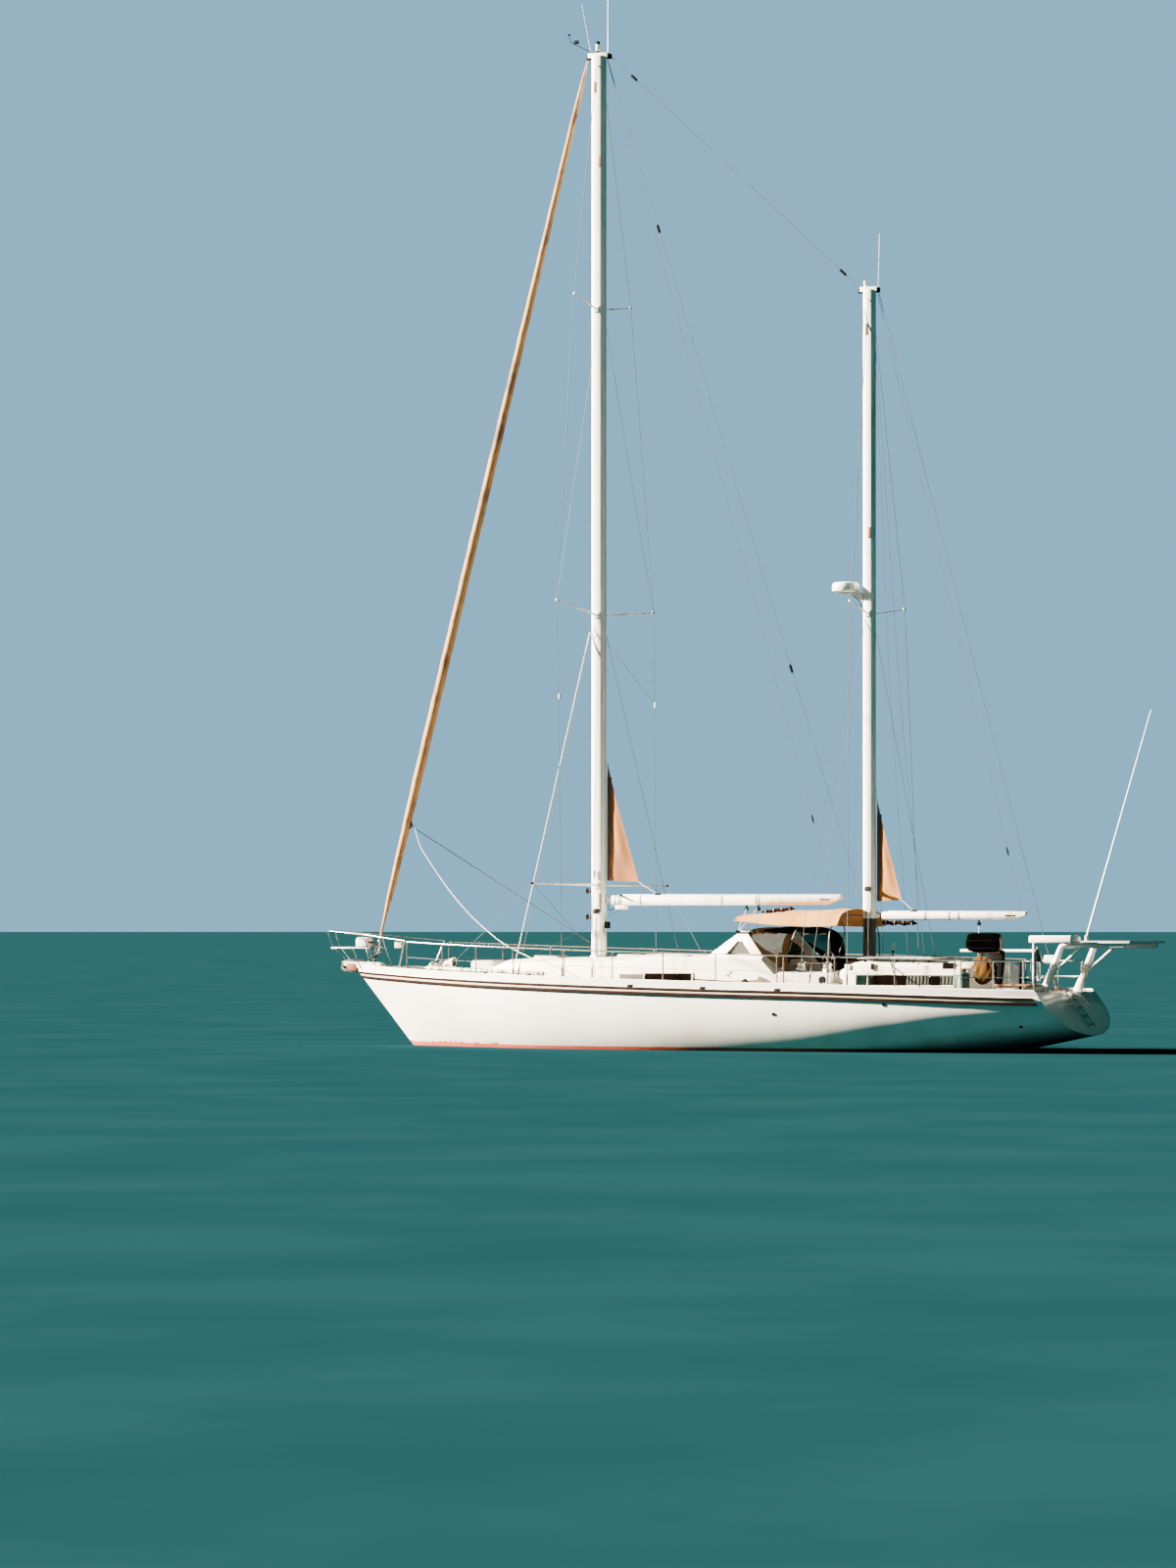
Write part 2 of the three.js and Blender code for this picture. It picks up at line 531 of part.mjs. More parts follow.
// Spreaders and pole struts: mast, root z, tip z, half span, sweep of the tip behind the mast, radius
const SPREADERS = [
  { name: "main_lower_spreader", mast: MAIN, root: 8730, tip: 8910, span: 2200, sweep: 160, r: 30 },
  { name: "main_upper_spreader", mast: MAIN, root: 14920, tip: 15090, span: 1270, sweep: 90, r: 26 },
  { name: "mizzen_spreader", mast: MIZZEN, root: 8610, tip: 8770, span: 1360, sweep: 180, r: 24 },
  { name: "jockey_strut", mast: MAIN, root: 3280, tip: 3290, span: 3070, sweep: 60, r: 20 },
];
const SIDES_OF_BOAT = [{ side: "port", s: 1 }, { side: "starboard", s: -1 }];

SIDES_OF_BOAT.forEach(({ side, s }) => {
  SPREADERS.forEach(({ name, mast, root, tip, span, sweep, r }) => {
    const side0 = mast.wide / 2;
    const from = point(mast.x, s * (side0 + 8), root);
    const to = point(mast.x - sweep, s * span, tip);
    const [y0, y1] = [s * (side0 + GAP), s * (side0 + 20)].sort((a, b) => a - b);
    const arm = join(bar(from, to, r, r * 0.7), box(mast.x - 60, mast.x + 60, y0, y1, root - 55, root + 55));
    piece(`${name}_${side}`, arm, COLOUR.mast, 0.4);
  });
});

// Shrouds: a wire from the deck over the spreaders' tips to the mast
const WIRE = 7; // radius, with its cover
const SHROUDS = [
  {
    name: "main_cap_shroud", mast: MAIN, over: [SPREADERS[0], SPREADERS[1]],
    aft: 260, deckY: 2150, head: 19850,
  },
  { name: "mizzen_cap_shroud", mast: MIZZEN, over: [SPREADERS[2]], aft: 320, deckY: 1850, head: 14800 },
];
SIDES_OF_BOAT.forEach(({ side, s }) => {
  SHROUDS.forEach(({ name, mast, over, aft, deckY, head }) => {
    const deckX = mast.x - aft;
    const tips = over.map(({ span, sweep, tip }) => point(mast.x - sweep, s * (span + WIRE * 2.4), tip + 6));
    const foot = point(deckX, s * deckY, deckEdgeZ(deckX) - 60);
    const top = point(mast.x - 20, s * (mast.wide / 2 + 14), head);
    const wire = railing([foot, ...tips, top], WIRE);
    const screw = bar(foot.clone().setZ(foot.z + 90), foot.clone().setZ(foot.z + 420), 16);
    piece(`${name}_${side}`, onDeck(join(wire, screw)), COLOUR.steel, 0.3, 0.9);
  });
});

// Stays: x and z of both ends, all on the centreline
const STAYS = [
  { name: "main_backstay", x0: 2380, z0: 19980, x1: -3236, z1: 2850 },
  { name: "triatic_stay", x0: 2340, z0: 20060, x1: -3190, z1: 15030 },
  { name: "mizzen_backstay", x0: -3570, z0: 14980, x1: -7330, z1: 1280 },
];
STAYS.forEach(({ name, x0, z0, x1, z1 }) => {
  piece(name, onDeck(bar(point(x0, 0, z0), point(x1, 0, z1), WIRE)), COLOUR.steel, 0.3, 0.9);
});

// Booms with an eye round the gooseneck's pin, and a bevelled aft end
function makeBoom({ x, long }, { z, dia, pin, end }) {
  const pinX = x - long / 2 - pin;
  const pinHole = bar(point(pinX, 0, z - 90), point(pinX, 0, z + 90), 12);
  const eye = cut(box(pinX - 150, pinX + 20, -18, 18, z - 32, z + 32), pinHole);
  const spar = bar(point(pinX - 130, 0, z), point(end, 0, z), dia / 2, dia / 2, 16);
  const bevelled = [[end - 60, z + dia * 0.2], [end + dia * 1.4, z - dia * 0.52]];
  const bevel = sidePlate([[end - 60, z - dia], ...bevelled, [end + dia * 1.4, z - dia]], -200, 200);
  return join(cut(spar, bevel), eye);
}
piece("main_boom", makeBoom(MAIN, MAIN_BOOM), COLOUR.mast, 0.35);
piece("mizzen_boom", makeBoom(MIZZEN, MIZZEN_BOOM), COLOUR.mast, 0.35);

// Corners of the rolled sails that stand out of the mast slots: side view
const mainLuff = MAIN.x - MAIN.long / 2 - MAIN_BOOM.pin - 8;
const mainClew = [[mainLuff, 5760], [mainLuff, 3370], [mainLuff - 700, 3340]];
piece("mainsail_clew", sidePlate(mainClew, -8, 8), COLOUR.sail, 0.85);
const mizzenLuff = MIZZEN.x - MIZZEN.long / 2 - MIZZEN_BOOM.pin - 8;
const mizzenClew = [[mizzenLuff, 4950], [mizzenLuff, 2935], [mizzenLuff - 520, 2960]];
piece("mizzen_sail_clew", sidePlate(mizzenClew, -8, 8), COLOUR.sail, 0.85);

// Rolled headsail on its stay: share of the way down the stay, radius. Its clew stands out aft.
const STAY = { top: point(2805, 0, 20020), foot: point(7690, 0, 1900) };
const GENOA = [[0, 12], [0.02, 30], [0.06, 52], [0.45, 88], [0.8, 92], [0.93, 62], [0.957, 34], [0.985, 16]];
const GENOA_CLEW = { x: 6850, z: 4530, reach: 110, half: 45, thick: 16 };
function makeGenoa() {
  const way = STAY.foot.clone().sub(STAY.top);
  const parts = GENOA.slice(1).map(([t, radius], i) => {
    const [t0, radius0] = GENOA[i];
    const from = STAY.top.clone().addScaledVector(way, t0);
    return bar(from, STAY.top.clone().addScaledVector(way, t), radius0, radius, 12);
  });
  const { x, z, reach, half, thick } = GENOA_CLEW;
  return join(...parts, box(x, x + reach, -thick / 2, thick / 2, z - half, z + half));
}
piece("furled_genoa", makeGenoa(), COLOUR.sail, 0.85);

// Slack sheet of the headsail, from the clew down to its turning block on the port side deck
const SHEET_RADIUS = 8;
const SHEET_ROUTE = [
  [6849.4, 0, 4530], [6836, 1, 4529.6], [6790, 12, 4492], [6640, 60, 4110], [6370, 160, 3790],
  [6060, 270, 3450], [5660, 420, 3060], [5180, 600, 2670], [4720, 790, 2370], [4240, 990, 2105],
  [3780, 1230, 1940], [3420, 1440, 1830], [3080, 1620, 1710], [2760, 1780, 1580], [2540, 1870, 1460],
  [2470, 1893.5, 1416], [2458, 1895.7, 1412.4], [2445.8, 1896, 1412],
];
function makeSheet() {
  const path = new THREE.CatmullRomCurve3(SHEET_ROUTE.map(([x, y, z]) => point(x, y, z)));
  const section = new THREE.Shape();
  section.absarc(0, 0, SHEET_RADIUS, 0, Math.PI * 2);
  const geometry = new THREE.ExtrudeGeometry(section, { steps: 80, curveSegments: 4, extrudePath: path });
  return solid(geometry);
}
piece("genoa_sheet", makeSheet(), COLOUR.rope, 0.9);

// Radar on a bracket ahead of the mizzen mast
const RADAR = { x: -2880, z: 9140 };
// Radius and height of each corner of the dome's outline
const RADOME = [[0, -95], [235, -95], [275, -60], [275, 40], [250, 85], [120, 108], [0, 112]];
const mizzenFront = MIZZEN.x + MIZZEN.long / 2;
const radome = new THREE.LatheGeometry(RADOME.map(([r, z]) => new THREE.Vector2(r, z)), 24);
radome.rotateX(Math.PI / 2);
radome.translate(RADAR.x, 0, RADAR.z);
const bracketSide = [
  [mizzenFront + GAP, 8850], [mizzenFront + GAP, 9010],
  [RADAR.x + 120, RADAR.z - 80], [RADAR.x + 120, RADAR.z - 110],
];
piece("radar", join(solid(radome), sidePlate(bracketSide, -60, 60)), COLOUR.gelcoat, 0.4);

// Guard rails: x, y and z of the top rail at each stanchion, from bow to stern
const STANCHION_X = [6480, 5440, 4500, 3560, 2320, 1200, 80, -1060, -2360, -3560, -4780, -5960];
const RAIL_HIGH = 655;
const RAIL_IN = 95; // from the hull's side to the stanchions
function railPoint(x, s, high) {
  return point(x, s * (along(x, "beam") - RAIL_IN), deckEdgeZ(x) + high);
}
function makeGuardRail(s) {
  const top = STANCHION_X.map((x) => railPoint(x, s, RAIL_HIGH));
  const middle = STANCHION_X.map((x) => railPoint(x, s, RAIL_HIGH * 0.52));
  const posts = STANCHION_X.map((x) => bar(railPoint(x, s, 0), railPoint(x, s, RAIL_HIGH), 12, 12, 6));
  return onDeck(join(railing(top, RAIL_TUBE / 2), railing(middle, 6, 4), ...posts));
}
SIDES_OF_BOAT.forEach(({ side, s }) => {
  piece(`guard_rail_${side}`, makeGuardRail(s), COLOUR.steel, 0.3, 0.9);
});

// Pulpit at the bow, and pushpit at the stern
const PULPIT = { x0: 6570, tip: 8780, z: 2355, step: 8640, low: 2000 };
const mirrored = (points) => [...points, ...points.toReversed().map((p) => point(p.x, -p.y, p.z))];
function makePulpit() {
  const tube = RAIL_TUBE / 2;
  const { tip, z, step, low } = PULPIT;
  const start = (s) => railPoint(PULPIT.x0, s, RAIL_HIGH + 20);
  const upper = mirrored([start(1), point(7700, 420, 2270), point(tip, 170, z)]);
  const lower = mirrored([point(7640, 390, 1995), point(step, 170, low)]);
  const legs = [1, -1].flatMap((s) => [
    bar(point(tip, s * 170, z), point(step, s * 170, low), tube, tube, 6),
    bar(point(step, s * 170, low), point(8300, s * 75, 1690), tube, tube, 6),
    bar(point(7800, s * 405, 2278), point(7480, s * 330, 1525), tube, tube, 6),
    bar(start(s), point(6800, s * 720, 1470), tube, tube, 6),
  ]);
  const plate = box(8080, 8660, -190, 190, low - 12, low + 14);
  const whole = join(railing(upper, tube), railing(lower, tube), ...legs, plate);
  return onDeck(whole).subtract(stemHead().translate([0, 0, GAP]));
}
piece("pulpit", makePulpit(), COLOUR.steel, 0.3, 0.9);

const PUSHPIT = { x: [-6080, -6700, -7250], cornerX: -7420, cornerY: 1180, z: 1770 };
function makePushpit() {
  const { cornerX, cornerY, z } = PUSHPIT;
  const side = PUSHPIT.x.map((x) => point(x, along(x, "beam") - RAIL_IN, z));
  const whole = mirrored([...side, point(cornerX, cornerY, z)]);
  const middle = railing(whole.map((p) => point(p.x, p.y, z - 310)), 7);
  const posts = whole.map((p) => bar(point(p.x, p.y, deckEdgeZ(-7000)), p, 12, 12, 6));
  return onDeck(join(railing(whole, RAIL_TUBE / 2), middle, ...posts));
}
piece("pushpit", makePushpit(), COLOUR.steel, 0.3, 0.9);

// Stern davits, which carry the aft solar array
const DAVIT = { footX: -7390, y: 900, kneeX: -7780, endX: -9080, z: 2065, radius: 45 };
const ARRAY = { x0: -9200, x1: -7800, half: 1000, z0: DAVIT.z + DAVIT.radius + GAP, thick: 52 };
function makeDavit(s) {
  const at = (x, z) => point(x, s * DAVIT.y, z);
  const route = [at(DAVIT.footX, 1080), at(DAVIT.kneeX, DAVIT.z), at(DAVIT.endX, DAVIT.z)];
  const arm = railing(route, DAVIT.radius, 8);
  return onDeck(join(arm, bar(at(-7570, 1520), at(-8200, DAVIT.z), 24, 24, 6)));
}
SIDES_OF_BOAT.forEach(({ side, s }) => piece(`davit_${side}`, makeDavit(s), COLOUR.gelcoat, 0.4));

const arrayTop = ARRAY.z0 + ARRAY.thick;
const array = box(ARRAY.x0, ARRAY.x1, -ARRAY.half, ARRAY.half, ARRAY.z0, arrayTop);
piece("solar_panel_aft", array, COLOUR.panel, 0.2);

// Panel on a post at the port quarter
const SIDE_PANEL = {
  x0: -8250, x1: -7370, y0: 1080, y1: 1600, z0: 2115, z1: 2270, postX: -7410, postY: 1430,
};
function makeSidePanel() {
  const { x0, x1, y0, y1, z0, z1, postX, postY } = SIDE_PANEL;
  const post = bar(point(postX, postY, 1050), point(postX, postY, z0 + 35), 20);
  return onDeck(join(box(x0, x1, y0, y1, z0, z1), post));
}
piece("solar_panel_port", makeSidePanel(), COLOUR.panel, 0.2);

// Whip antenna on the edge of the aft array
const whipFoot = point(-8300, 930, arrayTop + GAP);
const whipTop = point(-9610, 930, 6560);
const whipMount = bar(whipFoot, whipFoot.clone().setZ(2260), 35);
const whip = join(whipMount, bar(whipFoot.clone().setZ(2230), whipTop, 20, 6));
piece("whip_antenna", whip, COLOUR.gelcoat, 0.4);

// Plough anchor in the bow roller: shank, crown and two flukes that fold back under the roller
const SHANK = [
  [7960, 1730], [7960, 1750], [8370, 1762], [8500, 1720], [8520, 1600], [8455, 1600], [8440, 1712],
];
const FLUKE = [ // sections from the crown to the tip: x, y and z of the front, lower and back corners
  [[8525, 5, 1640], [8515, 5, 1555], [8450, 20, 1590]],
  [[8400, 120, 1590], [8385, 115, 1520], [8340, 150, 1560]],
  [[8190, 172, 1512], [8180, 165, 1498], [8175, 180, 1508]],
];
function makeAnchor() {
  const flukes = [1, -1].map((s) => loft(FLUKE.map((ring) => ring.map(([x, y, z]) => point(x, s * y, z)))));
  return join(sidePlate(SHANK, -16, 16), ...flukes);
}
piece("anchor", makeAnchor(), COLOUR.galvanised, 0.7, 0.6);

// Windlass on the foredeck
const windlass = join(
  box(6080, 6420, -150, 150, 1560, 1690), bar(point(6250, -190, 1700), point(6250, 190, 1700), 75, 75, 12),
);
piece("windlass", onDeck(windlass), COLOUR.steel, 0.4, 0.8);

// Covered outboard engine on its post at the port quarter, with a canvas bag beside the post
const outboard = join(
  box(-6780, -6060, 1380, 1620, 1960, 2310), bar(point(-6700, 1500, 1090), point(-6700, 1500, 1970), 28),
);
piece("covered_outboard", onDeck(outboard), COLOUR.dark, 0.9);
piece("deck_bag", onDeck(box(-6640, -6200, 1400, 1610, 1090, 1890)), COLOUR.khaki, 0.95);

// Boarding ladder, folded up against the transom
function transomX(z) {
  const { keelX, keelZ, topX, topZ } = STATIONS[0];
  return keelX + ((topX - keelX) * (z - keelZ)) / (topZ - keelZ);
}
function makeLadder() {
  const away = 60;
  const at = (y, z) => point(transomX(z) - away, y, z);
  const rails = [-170, 170].map((y) => bar(at(y, 480), at(y, 1200), 16));
  const rungs = [540, 700, 860, 1020, 1180].map((z) => bar(at(-170, z), at(170, z), 14, 14, 6));
  return join(...rails, ...rungs);
}
piece("boarding_ladder", makeLadder(), COLOUR.steel, 0.3, 0.9);

export default group;
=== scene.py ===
# %% [markdown]
# A centre-cockpit sailing ketch, afloat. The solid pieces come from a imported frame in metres, with the
# origin on the waterline, +X to the bow and +Y to port. This lesson dresses them: a solid whose shape is
# right is copied and finished, and what is too fine or too soft for the solids is modelled here.

# %% Load the frame
import json
import math

import bpy
from mathutils import Matrix, Vector

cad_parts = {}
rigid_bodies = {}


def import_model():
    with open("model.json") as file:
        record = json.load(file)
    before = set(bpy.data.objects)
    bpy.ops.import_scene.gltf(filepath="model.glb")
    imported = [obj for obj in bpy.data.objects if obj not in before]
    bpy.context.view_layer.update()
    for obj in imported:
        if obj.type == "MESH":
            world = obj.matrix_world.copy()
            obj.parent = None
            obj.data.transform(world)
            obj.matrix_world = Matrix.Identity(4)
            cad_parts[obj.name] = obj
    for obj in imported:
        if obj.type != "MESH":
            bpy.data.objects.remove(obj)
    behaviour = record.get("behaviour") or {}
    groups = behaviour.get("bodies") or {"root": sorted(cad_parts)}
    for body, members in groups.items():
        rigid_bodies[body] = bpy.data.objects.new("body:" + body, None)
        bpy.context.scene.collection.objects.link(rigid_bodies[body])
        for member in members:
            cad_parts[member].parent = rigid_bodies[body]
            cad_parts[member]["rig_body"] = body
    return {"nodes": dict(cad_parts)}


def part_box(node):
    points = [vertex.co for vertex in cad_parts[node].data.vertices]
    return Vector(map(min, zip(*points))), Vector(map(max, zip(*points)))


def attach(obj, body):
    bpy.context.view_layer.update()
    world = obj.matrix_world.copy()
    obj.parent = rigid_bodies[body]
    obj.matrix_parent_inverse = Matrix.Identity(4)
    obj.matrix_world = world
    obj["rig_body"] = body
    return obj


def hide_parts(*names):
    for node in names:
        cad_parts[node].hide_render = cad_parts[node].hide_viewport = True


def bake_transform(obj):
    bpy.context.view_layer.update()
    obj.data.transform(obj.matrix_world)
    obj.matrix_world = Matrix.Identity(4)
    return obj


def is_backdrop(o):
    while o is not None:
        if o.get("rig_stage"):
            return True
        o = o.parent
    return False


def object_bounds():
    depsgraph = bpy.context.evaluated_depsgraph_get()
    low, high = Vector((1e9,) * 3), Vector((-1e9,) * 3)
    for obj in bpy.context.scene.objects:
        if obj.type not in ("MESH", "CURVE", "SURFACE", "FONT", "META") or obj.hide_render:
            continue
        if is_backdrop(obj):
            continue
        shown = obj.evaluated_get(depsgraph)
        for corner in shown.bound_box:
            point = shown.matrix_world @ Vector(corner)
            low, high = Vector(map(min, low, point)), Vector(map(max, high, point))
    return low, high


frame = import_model()
cad_low, cad_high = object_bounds()

# %% [markdown]
# The camera comes first. The photograph was taken from far away, from low down on the port quarter: the
# boat is seen 25 degrees abaft the beam. A long lens at 100 m keeps the lines of the hull almost parallel,
# as in the picture. The lens follows from the picture's scale, in pixels per metre, and a small shift of
# the lens puts the boat right of the middle and the camera's own height below it, as in the picture.

# %% Camera
CAMERA_DISTANCE = 100.0
PIXELS_PER_METRE = 51.0
PICTURE_SIZE = (1200, 1600)
SENSOR = 36.0
CAMERA_HEIGHT = 2.35
BEARING = math.radians(205)
ORIGIN_PIXEL = 728.5  # the column of the picture where the boat's origin lies
EYE_LEVEL_PIXEL = 950  # the row of the picture at the camera's own height

backwards = Vector((math.sin(BEARING), -math.cos(BEARING), 0))
focal_pixels = PIXELS_PER_METRE * CAMERA_DISTANCE
camera_data = bpy.data.cameras.new("view_camera")
camera_data.sensor_width = SENSOR
camera_data.lens = focal_pixels / PICTURE_SIZE[1] * SENSOR
camera_data.clip_end = 30000
camera = bpy.data.objects.new("view_camera", camera_data)
bpy.context.scene.collection.objects.link(camera)
camera_data.shift_x = (PICTURE_SIZE[0] / 2 - ORIGIN_PIXEL) / PICTURE_SIZE[1]
camera_data.shift_y = (EYE_LEVEL_PIXEL - PICTURE_SIZE[1] / 2) / PICTURE_SIZE[1]
camera.location = backwards * CAMERA_DISTANCE
camera.location.z = CAMERA_HEIGHT
camera.rotation_mode = "QUATERNION"
camera.rotation_quaternion = (-backwards).to_track_quat("-Z", "Y")
bpy.context.scene.camera = camera
print("camera at", [round(v, 2) for v in camera.location], "lens", round(camera_data.lens, 1))

# %% [markdown]
# The stage is a plain green floor at the waterline, so the keel stays out of sight under it. It is wide
# enough to fill the view. The key light comes from ahead on the port side, with a weak cool fill from the
# port quarter. The backdrop is a pale blue, and it lights the shaded side with a weaker green.

# %% Stage and light
FLOOR_SIZE = 24000
SUN_AWAY = (0.885, 0.295, 0.36)  # from the boat towards the light
FILL_AWAY = (-0.7, 0.65, 0.45)
SUN_STRENGTH = 75.0
FILL_STRENGTH = 0.12
LAMP_DISTANCE = 30


def clear_selection():
    if bpy.context.object and bpy.context.object.mode != "OBJECT":
        bpy.ops.object.mode_set(mode="OBJECT")
    bpy.ops.object.select_all(action="DESELECT")


def sun_lamp(name, strength, spread, away, colour):
    clear_selection()
    bpy.ops.object.light_add(type="SUN", location=Vector(away) * LAMP_DISTANCE)
    light = bpy.context.object
    light.name = name
    light.data.energy = strength
    light.data.angle = math.radians(spread)
    light.data.color = colour
    light.rotation_euler = Vector(away).to_track_quat("Z", "Y").to_euler()


sun_lamp("key_light", SUN_STRENGTH, 1.5, SUN_AWAY, (1.0, 0.86, 0.68))
sun_lamp("fill_light", FILL_STRENGTH, 60, FILL_AWAY, (0.1, 0.8, 0.75))
clear_selection()
bpy.ops.mesh.primitive_plane_add(size=FLOOR_SIZE, location=(0, 0, 0))
floor = bpy.context.object
floor.name = "stage_floor"
floor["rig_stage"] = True
world = bpy.data.worlds.new("studio")
world.use_nodes = True
sky_nodes = world.node_tree.nodes
link = world.node_tree.links.new
seen_sky = sky_nodes["Background"]  # the backdrop, as the camera sees it
sky_light = sky_nodes.new("ShaderNodeBackground")  # the weaker, greener light that it gives
sky_mix = sky_nodes.new("ShaderNodeMixShader")
ray_kind = sky_nodes.new("ShaderNodeLightPath")
for sky, colour, strength, entry in (
    (seen_sky, (0.26, 0.58, 0.84, 1), 1.05, 2),
    (sky_light, (0.008, 0.16, 0.15, 1), 0.4, 1),
):
    sky.inputs["Color"].default_value = colour
    sky.inputs["Strength"].default_value = strength
    link(sky.outputs["Background"], sky_mix.inputs[entry])
link(ray_kind.outputs["Is Camera Ray"], sky_mix.inputs["Fac"])
link(sky_mix.outputs["Shader"], sky_nodes["World Output"].inputs["Surface"])
bpy.context.scene.world = world
print("stage:", FLOOR_SIZE / 1000, "km of floor and two lamps")

# %% [markdown]
# Materials. Each finish is a node tree on Object coordinates, which are the boat's own metres. The class
# below is a small bench for such trees: its methods add a pattern and hand back its output, and the last
# ones send an output to the shader's colour, roughness or bump.

# %% Bench for finishes
class Finish:
    """A finish being mixed: a Principled shader and the patterns that feed it."""

    def __init__(self, name, roughness=0.5, metallic=0.0, **sockets):
        self.material = bpy.data.materials.new(name)
        self.material.use_nodes = True
        self.tree = self.material.node_tree
        self.shader = self.tree.nodes["Principled BSDF"]
        self.shader.inputs["Roughness"].default_value = roughness
        self.shader.inputs["Metallic"].default_value = metallic
        for socket, value in sockets.items():
            self.shader.inputs[socket.replace("_", " ")].default_value = value
        self.place = self.tree.nodes.new("ShaderNodeTexCoord").outputs["Object"]

    def node(self, kind, inputs=None, **settings):
        made = self.tree.nodes.new(kind)
        for key, value in settings.items():
            setattr(made, key, value)
        for key, value in (inputs or {}).items():
            if isinstance(value, bpy.types.NodeSocket):
                self.tree.links.new(value, made.inputs[key])
            else:
                made.inputs[key].default_value = value
        return made

    def stretched(self, scale, turn=(0, 0, 0)):
        inputs = {"Vector": self.place, "Scale": scale, "Rotation": turn}
        return self.node("ShaderNodeMapping", inputs).outputs["Vector"]

    def noise(self, scale, detail=4.0, place=None):
        inputs = {"Vector": place or self.place, "Scale": scale, "Detail": detail}
        return self.node("ShaderNodeTexNoise", inputs).outputs["Fac"]

    def waves(self, scale, direction, distortion=0.0, profile="SIN"):
        inputs = {"Vector": self.place, "Scale": scale, "Distortion": distortion}
        settings = {"bands_direction": direction, "wave_profile": profile}
        return self.node("ShaderNodeTexWave", inputs, **settings).outputs["Fac"]

    def axis(self, letter):
        return self.node("ShaderNodeSeparateXYZ", {"Vector": self.place}).outputs[letter]

    def math(self, operation, first, second=0.0):
        return self.node("ShaderNodeMath", {0: first, 1: second}, operation=operation).outputs["Value"]

    def times(self, first, second):
        return self.math("MULTIPLY", first, second)

    def below(self, first, second):
        return self.math("LESS_THAN", first, second)

    def above(self, first, second):
        return self.math("GREATER_THAN", first, second)

    def ramp(self, factor, stops):
        made = self.node("ShaderNodeValToRGB", {"Fac": factor})
        elements = made.color_ramp.elements
        while len(elements) < len(stops):
            elements.new(0.5)
        for element, (position, colour) in zip(elements, stops):
            element.position = position
            element.color = (*colour, 1)
        return made.outputs["Color"]

    def mix(self, factor, first, second):
        first, second = [(*c, 1) if isinstance(c, tuple) else c for c in (first, second)]
        inputs = {0: factor, 6: first, 7: second}
        return self.node("ShaderNodeMix", inputs, data_type="RGBA").outputs[2]

    def colour(self, output):
        self.tree.links.new(output, self.shader.inputs["Base Color"])

    def roughness(self, factor, low, high):
        made = self.node("ShaderNodeMapRange", {"Value": factor, "To Min": low, "To Max": high})
        self.tree.links.new(made.outputs["Result"], self.shader.inputs["Roughness"])

    def bump(self, height, strength, distance):
        made = self.node("ShaderNodeBump", {"Height": height, "Strength": strength, "Distance": distance})
        self.tree.links.new(made.outputs["Normal"], self.shader.inputs["Normal"])


def speckled(name, tones, scale, roughness, grain, metallic=0.0, **sockets):
    """A finish whose colour wanders between tones, with a fine grain: (scale, strength, distance)."""
    finish = Finish(name, roughness[0], metallic, **sockets)
    clouds = finish.noise(scale)
    finish.colour(finish.ramp(clouds, [(0.32, tones[0]), (0.68, tones[1])]))
    finish.roughness(clouds, *roughness)
    finish.bump(finish.noise(grain[0]), grain[1], grain[2])
    return finish.material


studio_floor = speckled(
    "studio_floor", [(0.0035, 0.02, 0.026), (0.005, 0.024, 0.03)], 0.3, (0.8, 0.9), (3, 0.05, 0.01),
    Specular_IOR_Level=0.0,
)
floor.data.materials.append(studio_floor)
print("bench ready, first finish:", studio_floor.name)

# %% [markdown]
# Gelcoat is white pigment under a thin clear skin. On this hull it has gone a little warm and chalky, with
# faint runs below the rail and a beige-grey film low down, which is painted green aft to stand in for the
# green light from the water in the shaded quarter. The red antifouling shows as a thin band just above the
# waterline, and an orange rust line creeps up from it at the bow.

# %% Hull paint
BOOT_TOP = 0.07  # top of the red band, above the waterline
FILM_TOP = 0.5  # the film thins out over this height above the red band
PAINTED_GREEN_SPAN = (-1.0, -4.0)  # the film's beige turns to a painted green between these places, standing in for the water's green light in the aft shade
RUST_FROM = 4.2  # forward of this place rust creeps up


def hull_paint():
    finish = Finish("hull_paint", 0.28, Coat_Weight=0.35, Coat_Roughness=0.12)
    height = finish.axis("Z")
    waver = finish.times(finish.noise(1.4), 0.03)
    edge = finish.math("SUBTRACT", finish.math("SUBTRACT", height, BOOT_TOP - 0.015), waver)
    under = finish.below(edge, 0.0)
    runs = finish.noise(1.0, 6.0, finish.stretched((2.2, 2.2, 0.25)))
    tones = [(0.35, (0.84, 0.8, 0.74)), (0.5, (0.89, 0.87, 0.83)), (0.7, (0.92, 0.91, 0.885))]
    film = finish.node(
        "ShaderNodeMapRange", {"Value": edge, "From Max": FILM_TOP, "To Min": 0.62, "To Max": 0.0},
    )
    patches = finish.noise(3.0, 8.0, finish.stretched((1.0, 1.0, 0.4)))
    wet = finish.times(film.outputs["Result"], patches)
    # painted light: aft, the film turns green, standing in for the light that the water throws into the
    # shaded quarter
    painted_green_share = finish.node(
        "ShaderNodeMapRange", {"Value": finish.axis("X"), "From Min": PAINTED_GREEN_SPAN[0], "From Max": PAINTED_GREEN_SPAN[1]},
    )
    film_and_painted_green = finish.mix(painted_green_share.outputs["Result"], (0.5, 0.47, 0.36), (0.22, 0.42, 0.12))
    stained = finish.mix(wet, finish.ramp(runs, tones), film_and_painted_green)
    near_bow = finish.above(finish.axis("X"), RUST_FROM)
    drips = finish.noise(5.0, 5.0, finish.stretched((3.0, 3.0, 0.5)))
    drip = finish.below(edge, finish.times(finish.math("SUBTRACT", drips, 0.4), 0.22))
    rusty = finish.mix(finish.times(near_bow, drip), stained, (0.4, 0.1, 0.015))
    red = finish.ramp(finish.noise(2.5), [(0.35, (0.42, 0.04, 0.014)), (0.6, (0.58, 0.07, 0.018))])
    finish.colour(finish.mix(under, rusty, red))
    finish.roughness(under, 0.24, 0.7)
    finish.bump(finish.noise(0.9, 2.0), 0.1, 0.02)
    return finish.material


HULL_PAINT = hull_paint()
print("hull paint:", len(HULL_PAINT.node_tree.nodes), "nodes")

